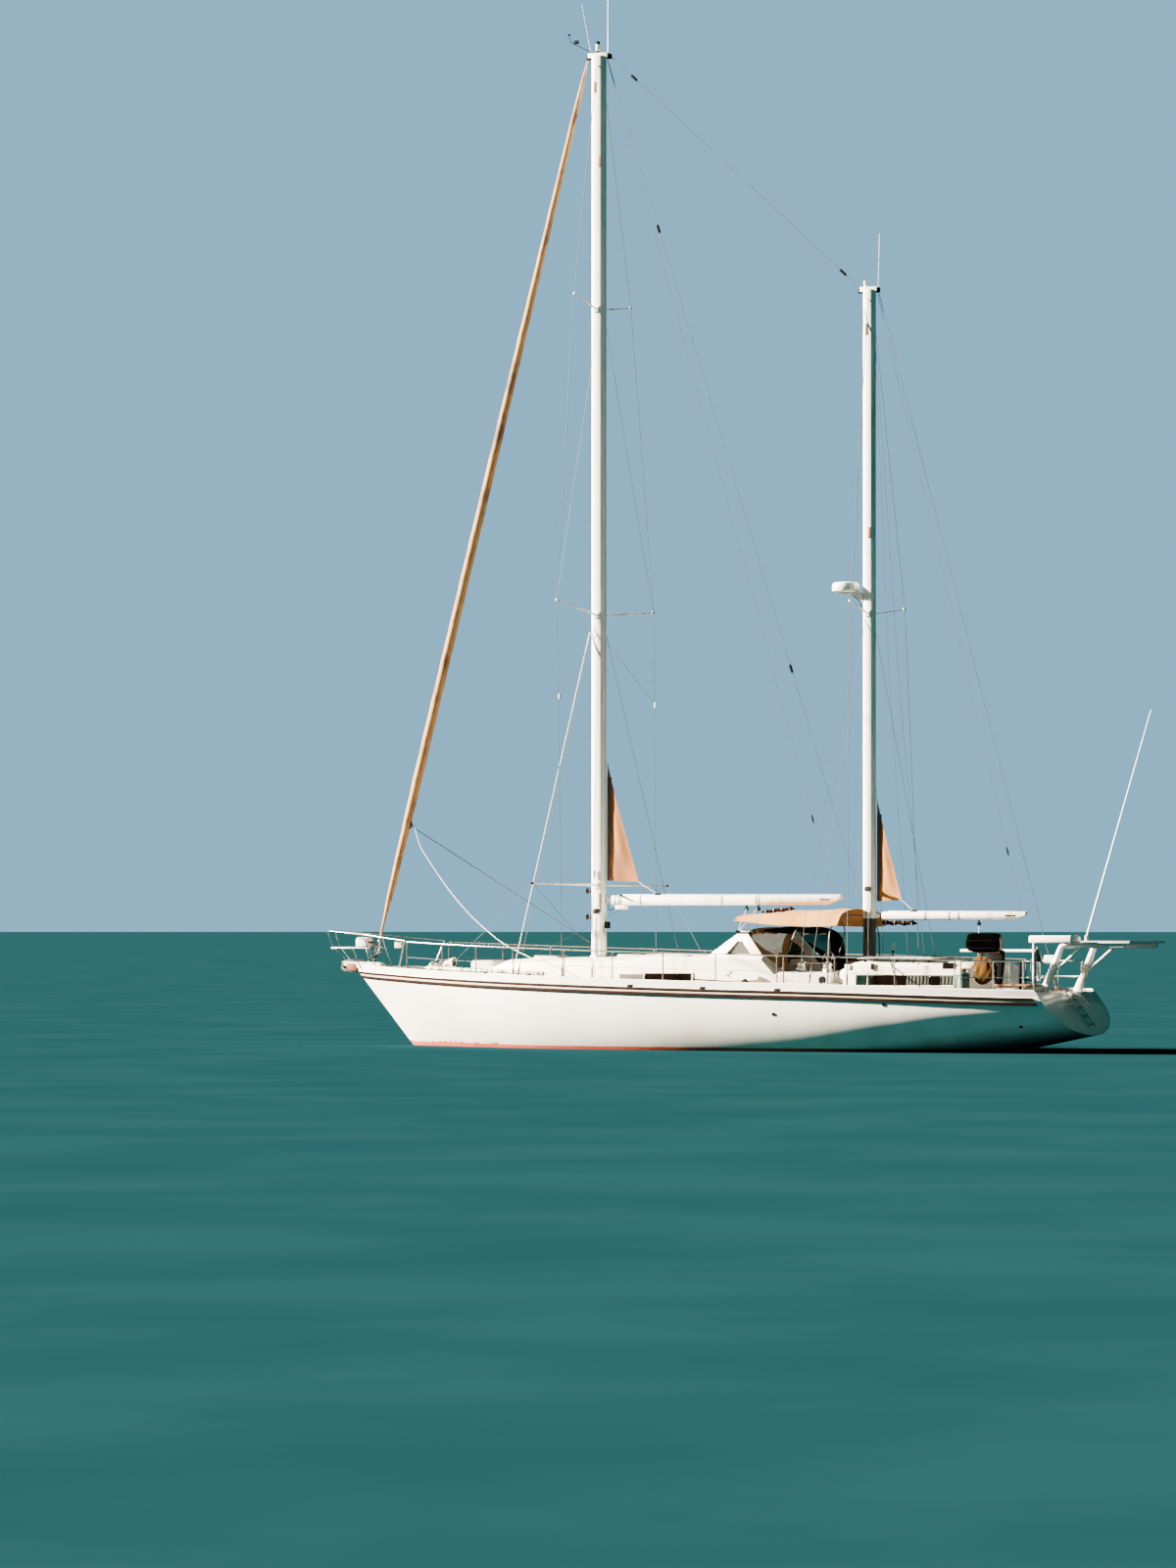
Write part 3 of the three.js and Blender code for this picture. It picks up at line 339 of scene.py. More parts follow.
# %% [markdown]
# The other finishes of the boat, each from the real thing: warm white gelcoat on the coachroofs, painted
# masts, stainless steel with a fine polish grain, weathered teak, bronze and galvanised iron.

# %% Plain finishes
def gelcoat():
    finish = Finish("deck_gelcoat", 0.3, Coat_Weight=0.25, Coat_Roughness=0.2)
    clouds = finish.noise(0.8, 6.0)
    streaks = finish.noise(2.0, 5.0, finish.stretched((3.0, 3.0, 0.4)))
    base = finish.ramp(
        clouds, [(0.3, (0.83, 0.77, 0.68)), (0.6, (0.89, 0.85, 0.775)), (0.8, (0.9, 0.87, 0.81))],
    )
    finish.colour(finish.mix(finish.above(streaks, 0.66), base, (0.78, 0.7, 0.58)))
    finish.roughness(clouds, 0.26, 0.42)
    finish.bump(finish.noise(260.0, 2.0), 0.05, 0.001)
    return finish.material


MAIN_STAIN_TOP = 3.1  # the main mast is stained below this height
MIZZEN_SHADE_BAND = (1.6, 2.6)  # painted shade: the mizzen mast is darkened between these heights, where the bimini's shadow falls


def mast_paint():
    finish = Finish("mast_paint", 0.3, Coat_Weight=0.3, Coat_Roughness=0.15)
    streaks = finish.noise(1.0, 6.0, finish.stretched((9.0, 9.0, 0.5)))
    paint = finish.ramp(
        streaks, [(0.3, (0.66, 0.6, 0.5)), (0.45, (0.86, 0.84, 0.79)), (0.6, (0.9, 0.89, 0.86))],
    )
    runs = finish.noise(1.0, 6.0, finish.stretched((16.0, 16.0, 1.2)))
    low = finish.times(finish.below(finish.axis("Z"), MAIN_STAIN_TOP), finish.below(runs, 0.5))
    main = finish.times(low, finish.above(finish.axis("X"), 2.0))
    stained = finish.mix(finish.times(main, 0.8), paint, (0.012, 0.008, 0.004))
    # painted shade: under the bimini the mizzen mast's foot is painted near black with streaks, standing in
    # for the bimini's shadow
    under_boom = finish.times(
        finish.below(finish.axis("Z"), MIZZEN_SHADE_BAND[1]), finish.below(finish.axis("X"), 0.0),
    )
    above_rail = finish.above(finish.axis("Z"), MIZZEN_SHADE_BAND[0])
    ahead_of_slot = finish.above(finish.axis("X"), -3.6)
    foot = finish.times(finish.times(under_boom, above_rail), ahead_of_slot)
    worn = finish.ramp(runs, [(0.35, (0.012, 0.01, 0.005)), (0.65, (0.05, 0.042, 0.024))])
    finish.colour(finish.mix(foot, stained, worn))
    finish.roughness(streaks, 0.5, 0.25)
    finish.bump(finish.noise(60.0, 2.0), 0.06, 0.001)
    return finish.material


def steel():
    finish = Finish("stainless_steel", 0.2, 1.0)
    grain = finish.noise(90.0, 3.0, finish.stretched((1.0, 1.0, 8.0)))
    finish.colour(finish.ramp(grain, [(0.3, (0.56, 0.57, 0.57)), (0.7, (0.74, 0.745, 0.74))]))
    finish.roughness(grain, 0.14, 0.32)
    finish.bump(grain, 0.04, 0.0006)
    return finish.material


def wire():
    finish = Finish("rigging_wire", 0.55, 0.3)
    lay = finish.waves(90.0, "DIAGONAL")
    finish.colour(finish.ramp(lay, [(0.2, (0.012, 0.016, 0.018)), (0.8, (0.045, 0.055, 0.06))]))
    finish.roughness(lay, 0.45, 0.65)
    finish.bump(lay, 0.4, 0.001)
    return finish.material


def wood(name, tones):
    finish = Finish(name, 0.65, Specular_IOR_Level=0.05)
    grain = finish.noise(14.0, 8.0, finish.stretched((0.12, 1.0, 1.0)))
    finish.colour(finish.ramp(grain, [(0.3, tones[0]), (0.52, tones[1]), (0.72, tones[2])]))
    finish.roughness(grain, 0.6, 0.85)
    finish.bump(grain, 0.25, 0.002)
    return finish.material


GELCOAT = gelcoat()
MAST_PAINT = mast_paint()
STEEL = steel()
WIRE = wire()
# painted reflection: this steel is coloured dark brown, standing in for the dark water that polished steel
# reflects
POST_STEEL = speckled(
    "weathered_steel", [(0.045, 0.03, 0.02), (0.12, 0.09, 0.065)], 30, (0.3, 0.5), (90, 0.08, 0.0006), 0.6,
)
TEAK_TRIM = wood("teak_trim", [(0.005, 0.0018, 0.001), (0.01, 0.0035, 0.0018), (0.02, 0.008, 0.0035)])
TEAK_JOINERY = wood("teak_joinery", [(0.15, 0.07, 0.03), (0.23, 0.115, 0.055), (0.31, 0.175, 0.09)])
BRONZE = speckled("bronze", [(0.42, 0.25, 0.09), (0.5, 0.33, 0.15)], 30, (0.3, 0.45), (120, 0.1, 0.001), 1.0)
GALVANISED = speckled(
    "galvanised", [(0.006, 0.009, 0.006), (0.035, 0.035, 0.024)], 25, (0.5, 0.75), (90, 0.4, 0.002), 0.4,
)
ANTIFOULING = speckled(
    "antifouling", [(0.3, 0.045, 0.02), (0.44, 0.08, 0.03)], 3, (0.7, 0.85), (45, 0.25, 0.003),
)
BLACK_RUBBER = speckled(
    "black_rubber", [(0.0006, 0.0006, 0.0006), (0.0016, 0.0016, 0.0016)], 20, (0.6, 0.8), (200, 0.2, 0.001),
    Specular_IOR_Level=0.05,
)
DARK_METAL = speckled(
    "dark_metal", [(0.006, 0.006, 0.005), (0.03, 0.027, 0.022)], 30, (0.3, 0.5), (120, 0.15, 0.001), 0.6,
)
WHITE_PLASTIC = speckled(
    "white_plastic", [(0.8, 0.79, 0.75), (0.87, 0.865, 0.84)], 6, (0.28, 0.4), (300, 0.06, 0.0006),
)
ENGINE_ENAMEL = speckled(
    "engine_enamel", [(0.2, 0.22, 0.24), (0.28, 0.3, 0.32)], 8, (0.35, 0.55), (120, 0.1, 0.001),
)
RUST = speckled("rusty_iron", [(0.12, 0.028, 0.008), (0.24, 0.07, 0.018)], 22, (0.7, 0.9), (80, 0.5, 0.003))
print("finishes so far:", len(bpy.data.materials))

# %% [markdown]
# Modelling helpers. Pieces are made as by hand: a primitive or a few rings of vertices are added, shaped
# with edit-mode operators, finished with modifiers that are applied, and then placed on a body. An
# operator acts on everything that is selected, so each helper deselects first. A finish belongs to one of
# the frame's slots, and the usual slot of a piece's finish is looked up unless another one is named.

# %% Selection, modifiers and finishing
SMOOTH_ANGLE = 34
SOFT_ANGLE = 60  # for cloth and rope
BEVEL_ANGLE = 40
MERGE = 0.00005
SIDES = ((1, "port"), (-1, "starboard"))
SLOTS = {
    "steel": "stainless_steel weathered_steel rigging_wire aluminium dark_metal panel_frame",
    "gelcoat": "hull_paint deck_gelcoat white_plastic grey_box",
    "mast_paint": "mast_paint",
    "teak": "teak_trim teak_joinery dark_teak cream_strake",
    "black_cover": "black_rubber green_enamel wheel_leather cover_canvas",
    "rope": "white_rope dark_rope",
    "galvanised": "galvanised",
    "bronze": "rusty_iron",
    "smoked_acrylic": "smoked_acrylic screen_glass brown_glass black_glass grey_glass teal_glass blind_glass",
    "sailcloth": "rolled_sailcloth tan_sailcloth pale_tan_sailcloth",
    "brown_canvas": "brown_sailcloth red_brown_roll webbing brown_canvas",
    "canvas": "peach_canvas",
    "khaki_canvas": "khaki_canvas",
    "solar_cells": "solar_cells",
}
SLOT_OF = {finish: slot for slot, finishes in SLOTS.items() for finish in finishes.split()}
NO_SLOT = ""


def select_only(piece):
    clear_selection()
    piece.select_set(True)
    bpy.context.view_layer.objects.active = piece


def edit(piece):
    select_only(piece)
    bpy.ops.object.mode_set(mode="EDIT")
    bpy.ops.mesh.select_all(action="SELECT")


def leave_edit():
    bpy.ops.object.mode_set(mode="OBJECT")


def modify(piece, kind, **settings):
    select_only(piece)
    modifier = piece.modifiers.new("step", kind)
    for key, value in settings.items():
        setattr(modifier, key, value)
    bpy.ops.object.modifier_apply(modifier=modifier.name)


def pick_faces(piece, test):
    """Edit mode, with only the faces selected that pass a test."""
    edit(piece)
    bpy.ops.mesh.select_all(action="DESELECT")
    leave_edit()
    for face in piece.data.polygons:
        face.select = test(face)
    bpy.ops.object.mode_set(mode="EDIT")


def rounded_edges(piece, width, segments=2):
    limits = {"limit_method": "ANGLE", "angle_limit": math.radians(BEVEL_ANGLE)}
    modify(piece, "BEVEL", width=width, segments=segments, **limits)


def face_out(piece):
    """Merges doubles and turns the faces outwards."""
    edit(piece)
    bpy.ops.mesh.remove_doubles(threshold=MERGE)
    bpy.ops.mesh.normals_make_consistent(inside=False)
    leave_edit()


def finished(piece, material, body="boat", slot=None, stands_for=(), smooth=SMOOTH_ANGLE):
    """Freezes a piece's place, gives it a finish, works out its slot, and sets it on a body."""
    select_only(piece)
    bpy.ops.object.transform_apply(location=True, rotation=True, scale=True)
    piece.data.materials.clear()
    piece.data.materials.append(material)
    bpy.ops.object.shade_smooth_by_angle(angle=math.radians(smooth))
    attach(piece, body)
    if slot is None:  # the solids have finishes too: where a name is theirs, a number follows it here
        slot = SLOT_OF[material.name.split(".")[0]]
    if stands_for:
        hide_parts(*stands_for)
    return piece


def joined(name, pieces):
    """Several meshes made one object."""
    clear_selection()
    for piece in pieces:
        piece.select_set(True)
    bpy.context.view_layer.objects.active = pieces[0]
    if len(pieces) > 1:
        bpy.ops.object.join()
    pieces[0].name = name
    pieces[0].data.name = name
    return pieces[0]


def group(name, pieces, material, *body, **settings):
    """Meshes made one object, and finished."""
    return finished(joined(name, pieces), material, *body, **settings)


print("finishes with a slot:", len(SLOT_OF))

# %% [markdown]
# Four ways to start a mesh: a block, a tube along a line, a turned shape and a loft. The tube is a curve
# with a round bevel made a mesh. The turned shape is a profile that is spun, as on a lathe. The loft is a
# row of rings that are bridged, as a boatbuilder planks over frames.

# %% Ways to start a mesh
def bare_mesh(name, vertices, edges=()):
    data = bpy.data.meshes.new(name)
    data.from_pydata([tuple(v) for v in vertices], list(edges), [])
    piece = bpy.data.objects.new(name, data)
    bpy.context.scene.collection.objects.link(piece)
    return piece


def block(name, low, high, edge=0.004, segments=2):
    low, high = Vector(low), Vector(high)
    clear_selection()
    bpy.ops.mesh.primitive_cube_add(size=1, location=(low + high) / 2, scale=high - low)
    piece = bpy.context.object
    piece.name = name
    bpy.ops.object.transform_apply(location=True, rotation=True, scale=True)
    if edge:
        rounded_edges(piece, edge, segments)
    return piece


def tube(name, points, radius, sides=8, closed=False):
    data = bpy.data.curves.new(name, "CURVE")
    data.dimensions = "3D"
    data.bevel_depth = radius
    data.bevel_resolution = (sides - 4) // 2
    data.use_fill_caps = not closed
    spline = data.splines.new("POLY")
    spline.points.add(len(points) - 1)
    for knot, place in zip(spline.points, points):
        knot.co = (*place, 1)
    spline.use_cyclic_u = closed
    piece = bpy.data.objects.new(name, data)
    bpy.context.scene.collection.objects.link(piece)
    select_only(piece)
    bpy.ops.object.convert(target="MESH")
    face_out(piece)
    return piece


def rounded_path(points, radius, steps=5):
    """A line whose corners are arcs, as a bent pipe."""
    points = [Vector(p) for p in points]
    path = [points[0]]
    for before, corner, after in zip(points, points[1:], points[2:]):
        reach = min(radius, (before - corner).length * 0.45, (after - corner).length * 0.45)
        start = corner + (before - corner).normalized() * reach
        end = corner + (after - corner).normalized() * reach
        for i in range(steps + 1):
            t = i / steps
            path.append(start * (1 - t) ** 2 + corner * 2 * t * (1 - t) + end * t**2)
    path.append(points[-1])
    return path


def curved_path(points, steps=6):
    """A smooth line through the points."""
    points = [Vector(p) for p in points]
    padded = [points[0] * 2 - points[1], *points, points[-1] * 2 - points[-2]]
    path = []
    for a, b, c, d in zip(padded, padded[1:], padded[2:], padded[3:]):
        for i in range(steps):
            t = i / steps
            lean = (c - a) * 0.5, (d - b) * 0.5
            path.append(
                b * (2 * t**3 - 3 * t**2 + 1) + lean[0] * (t**3 - 2 * t**2 + t)
                + c * (3 * t**2 - 2 * t**3) + lean[1] * (t**3 - t**2)
            )
    return [*path, points[-1]]


def line_length(points):
    return sum((b - a).length for a, b in zip(points, points[1:]))


def turned(name, profile, centre=(0, 0, 0), axis=(0, 0, 1), steps=24):
    """Radius and height pairs, from the axis to the axis, spun round it."""
    vertices = [(radius, 0, height) for radius, height in profile]
    piece = bare_mesh(name, vertices, [(i, i + 1) for i in range(len(profile) - 1)])
    edit(piece)
    bpy.ops.mesh.spin(steps=steps, angle=math.tau, center=(0, 0, 0), axis=(0, 0, 1))
    leave_edit()
    face_out(piece)
    turn = Vector((0, 0, 1)).rotation_difference(Vector(axis)).to_matrix().to_4x4()
    piece.data.transform(Matrix.Translation(centre) @ turn)
    return piece


def lofted(name, rings, closed=True, capped=True):
    """Rings of vertices, bridged one to the next."""
    count = len(rings[0])
    vertices = [v for ring in rings for v in ring]
    edges = []
    for r in range(len(rings)):
        last = count if closed else count - 1
        edges += [(r * count + i, r * count + (i + 1) % count) for i in range(last)]
    piece = bare_mesh(name, vertices, edges)
    edit(piece)
    bpy.ops.mesh.bridge_edge_loops()
    if capped:
        bpy.ops.mesh.select_all(action="DESELECT")
        bpy.ops.mesh.select_non_manifold(extend=False)
        bpy.ops.mesh.edge_face_add()
    leave_edit()
    face_out(piece)
    return piece


print("helpers ready")

# %% [markdown]
# The one free cord is the slack sheet of the headsail. It leaves the sail's clew, hangs in a long curve
# over the foredeck and goes down to its turning block on the port side deck. The photograph shows it from
# end to end, so its route is its length. It is a limp braided rope of 16 mm.

# %% Headsail sheet
SHEET_DIAMETER = 0.016
SHEET_ROUTE = [
    (6.8494, 0, 4.53), (6.836, 0.001, 4.5296), (6.79, 0.012, 4.492), (6.64, 0.06, 4.11), (6.37, 0.16, 3.79),
    (6.06, 0.27, 3.45), (5.66, 0.42, 3.06), (5.18, 0.6, 2.67), (4.72, 0.79, 2.37), (4.24, 0.99, 2.105),
    (3.78, 1.23, 1.94), (3.42, 1.44, 1.83), (3.08, 1.62, 1.71), (2.76, 1.78, 1.58), (2.54, 1.87, 1.46),
    (2.47, 1.8935, 1.416), (2.458, 1.8957, 1.4124), (2.4458, 1.896, 1.412),
]


BRAID_PITCH = 150.0


def braid(name, base, fleck):
    finish = Finish(name, 0.8, Sheen_Weight=0.25)
    across = finish.waves(BRAID_PITCH, "DIAGONAL")
    checks = finish.node("ShaderNodeTexChecker", {"Vector": finish.place, "Scale": BRAID_PITCH * 1.4})
    strands = checks.outputs["Fac"]
    worn = finish.ramp(finish.noise(5.0), [(0.35, tuple(c * 0.82 for c in base)), (0.6, base)])
    finish.colour(finish.mix(finish.times(strands, 0.45), worn, fleck))
    finish.roughness(across, 0.65, 0.9)
    finish.bump(across, 0.6, 0.0015)
    return finish.material


WHITE_ROPE = braid("white_rope", (0.8, 0.77, 0.7), (0.5, 0.46, 0.4))
DARK_ROPE = braid("dark_rope", (0.07, 0.08, 0.085), (0.02, 0.025, 0.028))
sheet_path = curved_path(SHEET_ROUTE, 8)
genoa_sheet = tube("genoa_sheet_rope", sheet_path, SHEET_DIAMETER / 2, 12)
finished(genoa_sheet, WHITE_ROPE, stands_for=["genoa_sheet"])

# %% [markdown]
# A solid whose shape is right is copied. The copy is merged first, because solids come as loose
# triangles. Then its edges get a bevel and its normals are smoothed by angle, so that broad curves read
# as smooth and real corners stay crisp. The copy stands for the solid and rides on the same body.

# %% Copy a solid
def copy_of(node, material, bevel=0.0, segments=2, smooth=SMOOTH_ANGLE):
    """A dressed copy of a solid, on its body and in its place."""
    source = frame["nodes"][node]
    piece = bare_mesh(node + "_skin", [])
    piece.data = source.data.copy()
    piece.data.transform(source.matrix_world)
    piece.data.materials.clear()
    edit(piece)
    bpy.ops.mesh.remove_doubles(threshold=4 * MERGE)
    bpy.ops.mesh.dissolve_limited(angle_limit=math.radians(0.5))
    leave_edit()
    if bevel:
        rounded_edges(piece, bevel, segments)
    return finished(piece, material, source["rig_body"], NO_SLOT, [node], smooth)


print("solids in the frame:", len(frame["nodes"]))

# %% [markdown]
# The topsides are lofted over the same stations as the solid hull, with smooth steps between them, so the
# side is one fair curve. The new skin stands 8 mm outside the solid, and rolls over the toe rail.

# %% Topsides
STATIONS = [  # x and z at the keel line, x and z at the toe rail's top, half beam, sharpness
    (-8.12, 0.34, -7.48, 1.215, 1.6, 1.0),
    (-7.25, 0.16, -6.85, 1.225, 1.79, 1.0),
    (-6.25, -0.04, -6.05, 1.245, 1.95, 1.0),
    (-4.9, -0.33, -4.9, 1.275, 2.11, 1.0),
    (-3.2, -0.63, -3.2, 1.32, 2.24, 1.0),
    (-1.0, -0.78, -1.0, 1.36, 2.3, 1.0),
    (1.0, -0.8, 1.0, 1.405, 2.28, 1.02),
    (2.8, -0.75, 3.0, 1.46, 2.09, 1.1),
    (4.0, -0.66, 4.6, 1.51, 1.73, 1.2),
    (5.0, -0.53, 6.0, 1.565, 1.23, 1.35),
    (5.8, -0.36, 7.0, 1.61, 0.76, 1.5),
    (6.38, -0.19, 7.7, 1.64, 0.37, 1.6),
    (6.8, 0.02, 8.2, 1.665, 0.045, 1.7),
]
SKIN = 0.008  # from the solid to the new skin
SIDE_DROP = 0.167  # from the deck's edge down to the curved side
TOE_RAIL_WIDE = 0.055
TOE_RAIL_HIGH = 0.115
fair_stations = curved_path(STATIONS, 6)


def raked(station, y, z):
    """A point on a station, which leans from its keel line to its rail."""
    keel_x, keel_z, top_x, top_z = station[:4]
    return Vector((keel_x + (top_x - keel_x) * (z - keel_z) / (top_z - keel_z), y, z))


def side_points(station, steps=14):
    """Half a section, from the keel line up to the strake, as y and z."""
    keel_z, top_z, beam, sharp = station[1], station[3], station[4], station[5]
    rise = top_z - TOE_RAIL_HIGH - SIDE_DROP - keel_z
    points = []
    for i in range(steps + 1):
        angle = i / steps * math.pi / 2
        y = max(0.026, beam * math.sin(angle) ** sharp + SKIN)
        points.append((y, keel_z - SKIN + rise * (1 - math.cos(angle) ** sharp)))
    return points


def hull_ring(station, forward=0.0, pinch=1.0):
    """A whole section, from one toe rail round the keel line to the other."""
    top_z, beam = station[3], station[4]
    outer = beam + SKIN
    inner = max(0.004, beam - TOE_RAIL_WIDE - 0.006)
    rail = [
        (outer, top_z - 0.008), (outer - 0.012, top_z + 0.004),
        (min(inner + 0.012, outer - 0.02), top_z + 0.004),
    ]
    port = [*side_points(station), *rail, (inner, top_z - 0.01), (inner, top_z - TOE_RAIL_HIGH + 0.012)]
    ring = [(-y, z) for y, z in reversed(port)] + port
    return [raked(station, y * pinch, z) + Vector((forward, 0, 0)) for y, z in ring]


topside_rings = [hull_ring(s) for s in fair_stations]
topside_rings += [hull_ring(fair_stations[-1], 0.022, 0.6), hull_ring(fair_stations[-1], 0.032, 0.06)]
topsides = lofted("hull_topsides", topside_rings, closed=False, capped=False)
finished(topsides, HULL_PAINT)
print("topsides:", len(topsides.data.polygons), "faces,", round(topsides.dimensions.x, 2), "m long")

# %% [markdown]
# The transom closes the stern: the first station's outline, drawn out aft in two steps for a soft edge.
# Along each side lie the rubbing strakes, a cream band between two dark battens.

# %% Transom and strakes
TRANSOM_TOP = 1.17


def transom_ring(aft, inset):
    outline = [(y - inset, z + inset) for y, z in side_points(STATIONS[0])]
    outline += [(STATIONS[0][4] + SKIN - inset, 1.1), (STATIONS[0][4] - 0.05 - inset, TRANSOM_TOP - inset)]
    ring = [(-y, z) for y, z in reversed(outline)] + outline
    return [raked(STATIONS[0], y, z) - Vector((aft, 0, 0)) for y, z in ring]


transom = lofted("transom", [transom_ring(-0.02, 0.004), transom_ring(0.004, 0), transom_ring(0.012, 0.008)])
finished(transom, HULL_PAINT)


def belt(name, profile, material):
    """A strip along both sides: (distance out from the side, drop from the deck's edge) pairs."""
    sides = []
    for side in (1, -1):
        rings = []
        for station in fair_stations[1:]:
            beam, edge = station[4], station[3] - TOE_RAIL_HIGH
            rings.append([raked(station, side * (beam + out), edge - drop) for out, drop in profile])
        sides.append(lofted(name, rings))
    return group(name, sides, material)


CREAM = speckled("cream_strake", [(0.62, 0.47, 0.33), (0.72, 0.6, 0.46)], 4, (0.4, 0.6), (60, 0.15, 0.001))
belt("strake_band", [(0.0, 0.165), (0.034, 0.161), (0.034, 0.035), (0.0, 0.031)], CREAM)
for name, middle, half in (("upper", 0.058, 0.027), ("lower", 0.147, 0.033)):
    batten = [
        (0.02, middle + half), (0.046, middle + half * 0.8), (0.052, middle), (0.046, middle - half * 0.8),
    ]
    belt(f"strake_batten_{name}", [*batten, (0.02, middle - half)], TEAK_TRIM)
print("transom and strakes:", len(fair_stations), "stations")

# %% [markdown]
# The deck is laid in teak planks of 55 mm with black seams. It belongs to the copy of the solid hull, whose
# faces are sorted by where they look: what faces up is teak, the walls of the cockpit and cabins are
# gelcoat, and the rest is the hull's paint.

# %% Deck
PLANK = 0.055
WAVE_PERIOD = math.tau / 20  # of a wave pattern at scale 1


def teak_deck():
    finish = Finish("teak_deck", 0.7)
    grain = finish.noise(10.0, 8.0, finish.stretched((0.15, 2.5, 1.0)))
    boards = finish.noise(1.0, 1.0, finish.stretched((0.25, 1 / PLANK, 1.0)))
    tones = [(0.35, (0.36, 0.22, 0.12)), (0.5, (0.47, 0.32, 0.19)), (0.68, (0.54, 0.4, 0.26))]
    planks = finish.mix(0.45, finish.ramp(boards, tones), finish.ramp(grain, tones))
    seam = finish.below(finish.waves(WAVE_PERIOD / PLANK, "Y", profile="SAW"), 0.09)
    finish.colour(finish.mix(seam, planks, (0.016, 0.016, 0.016)))
    finish.roughness(grain, 0.6, 0.85)
    finish.bump(finish.math("SUBTRACT", grain, seam), 0.3, 0.003)
    return finish.material


TEAK_DECK = teak_deck()
hull = copy_of("hull", HULL_PAINT)
hull.data.materials.append(TEAK_DECK)
hull.data.materials.append(GELCOAT)
for face in hull.data.polygons:
    within = abs(face.center.y) < 1.3 and face.center.z > 0.01 and abs(face.normal.z) < 0.9
    if face.normal.z > 0.8 and face.center.z > 0.6:
        face.material_index = 1
    elif within and -5.6 < face.center.x < 4.2 and face.normal.y * face.center.y <= 0:
        face.material_index = 2
copy_of("ballast_keel", ANTIFOULING, 0.012)
copy_of("rudder", ANTIFOULING, 0.006)
copy_of("propeller", BRONZE, 0.002)
copy_of("engine_block", ENGINE_ENAMEL, 0.03, 3)
copy_of("cockpit_sole", TEAK_DECK, 0.004)
print("deck faces:", sum(face.material_index == 1 for face in hull.data.polygons))

# %% [markdown]
# Both coachroofs are copies with rounded edges. Their walls lean in a little, so what is fixed to a wall,
# such as a window pane, follows a table of the roof's half width and height along the boat.

# %% Coachroofs and windows
FORE_ROOF = [  # x, half width at the deck, top
    (-3.18, 1.5, 1.545), (-1.96, 1.5, 1.555), (-1.68, 1.5, 1.85), (1.15, 1.4, 1.85),
    (1.3, 1.39, 1.79), (3.0, 1.13, 1.78), (4.35, 0.8, 1.75), (5.05, 0.52, 1.52),
]
AFT_ROOF = [(-6.04, 1.33, 1.69), (-5.9, 1.34, 1.725), (-3.6, 1.4, 1.74), (-3.33, 1.4, 1.6)]


def at(table, x, column):
    """One column of a table that is sorted by its first, at x."""
    for low, high in zip(table, table[1:]):
        if x <= high[0]:
            break
    share = min(1, max(0, (x - low[0]) / (high[0] - low[0])))
    return low[column] + (high[column] - low[column]) * share


def wall_y(roof, x, z):
    return at(roof, x, 1) - 0.07 * (z - 1.0) / (at(roof, x, 2) - 1.06)


def wall_patch(name, roof, x_span, z_span, out, side, deep=0.02):
    """A slab that lies on a coachroof's side wall."""
    rings = []
    for i in range(7):
        x = x_span[0] + (x_span[1] - x_span[0]) * i / 6
        corners = [(out, 0), (out, 1), (out - deep, 1), (out - deep, 0)]
        heights = [z_span[0] + (z_span[1] - z_span[0]) * up for _, up in corners]
        rings.append([(x, side * (wall_y(roof, x, z) + o), z) for (o, _), z in zip(corners, heights)])
    return lofted(name, rings)


def glass(name, tint, stripes=None):
    """A dark window seen from outside, with a curtain's stripes where they are given."""
    finish = Finish(name, 0.06, Coat_Weight=0.2, Coat_Roughness=0.03, Specular_IOR_Level=0.3)
    haze = finish.noise(3.0, 4.0)
    base = finish.ramp(haze, [(0.35, tuple(c * 0.7 for c in tint)), (0.7, tint)])
    if stripes:
        folds = finish.waves(4.2, "X", 2.5)
        base = finish.ramp(folds, [(0.3, tint), (0.55, stripes)])
    finish.colour(base)
    finish.roughness(haze, 0.05, 0.2)
    finish.bump(haze, 0.03, 0.002)
    return finish.material


BROWN_GLASS = glass("brown_glass", (0.0035, 0.0016, 0.0007))
BLACK_GLASS = glass("black_glass", (0.002, 0.0015, 0.001))
GREY_GLASS = glass("grey_glass", (0.12, 0.11, 0.1))
TEAL_GLASS = glass("teal_glass", (0.003, 0.011, 0.009))
BLIND_GLASS = glass("blind_glass", (0.004, 0.0025, 0.0015), (0.07, 0.08, 0.07))
copy_of("fore_coachroof", GELCOAT, 0.018, 3)
copy_of("aft_coachroof", GELCOAT, 0.018, 3)
PANES = [  # coachroof, x from, x to, z from, z to, distance out, glass
    (FORE_ROOF, 0.17, 0.86, 1.365, 1.505, 0.012, BROWN_GLASS),
    (FORE_ROOF, -0.16, 0.15, 1.36, 1.51, 0.016, BLACK_GLASS),
    (FORE_ROOF, 0.88, 1.46, 1.385, 1.495, 0.008, GREY_GLASS),
    (AFT_ROOF, -4.0, -3.7, 1.3, 1.49, 0.012, TEAL_GLASS),
    (AFT_ROOF, -4.72, -4.02, 1.3, 1.49, 0.012, BROWN_GLASS),
    (AFT_ROOF, -5.2, -4.74, 1.31, 1.48, 0.012, BLIND_GLASS),
    (AFT_ROOF, -5.42, -5.22, 1.3, 1.49, 0.014, BLACK_GLASS),
    (AFT_ROOF, -5.88, -5.44, 1.31, 1.48, 0.012, BLIND_GLASS),
]
for number, (roof, x0, x1, z0, z1, out, tint) in enumerate(PANES):
    for side, word in SIDES:
        pane = wall_patch(f"window_{number}_{word}", roof, (x0, x1), (z0, z1), out, side, 0.03)
        finished(pane, tint)
        rounded_edges(pane, 0.004)
FRAMES = [(FORE_ROOF, (-0.2, 0.9), (1.335, 1.53)), (AFT_ROOF, (-5.92, -3.66), (1.275, 1.51))]
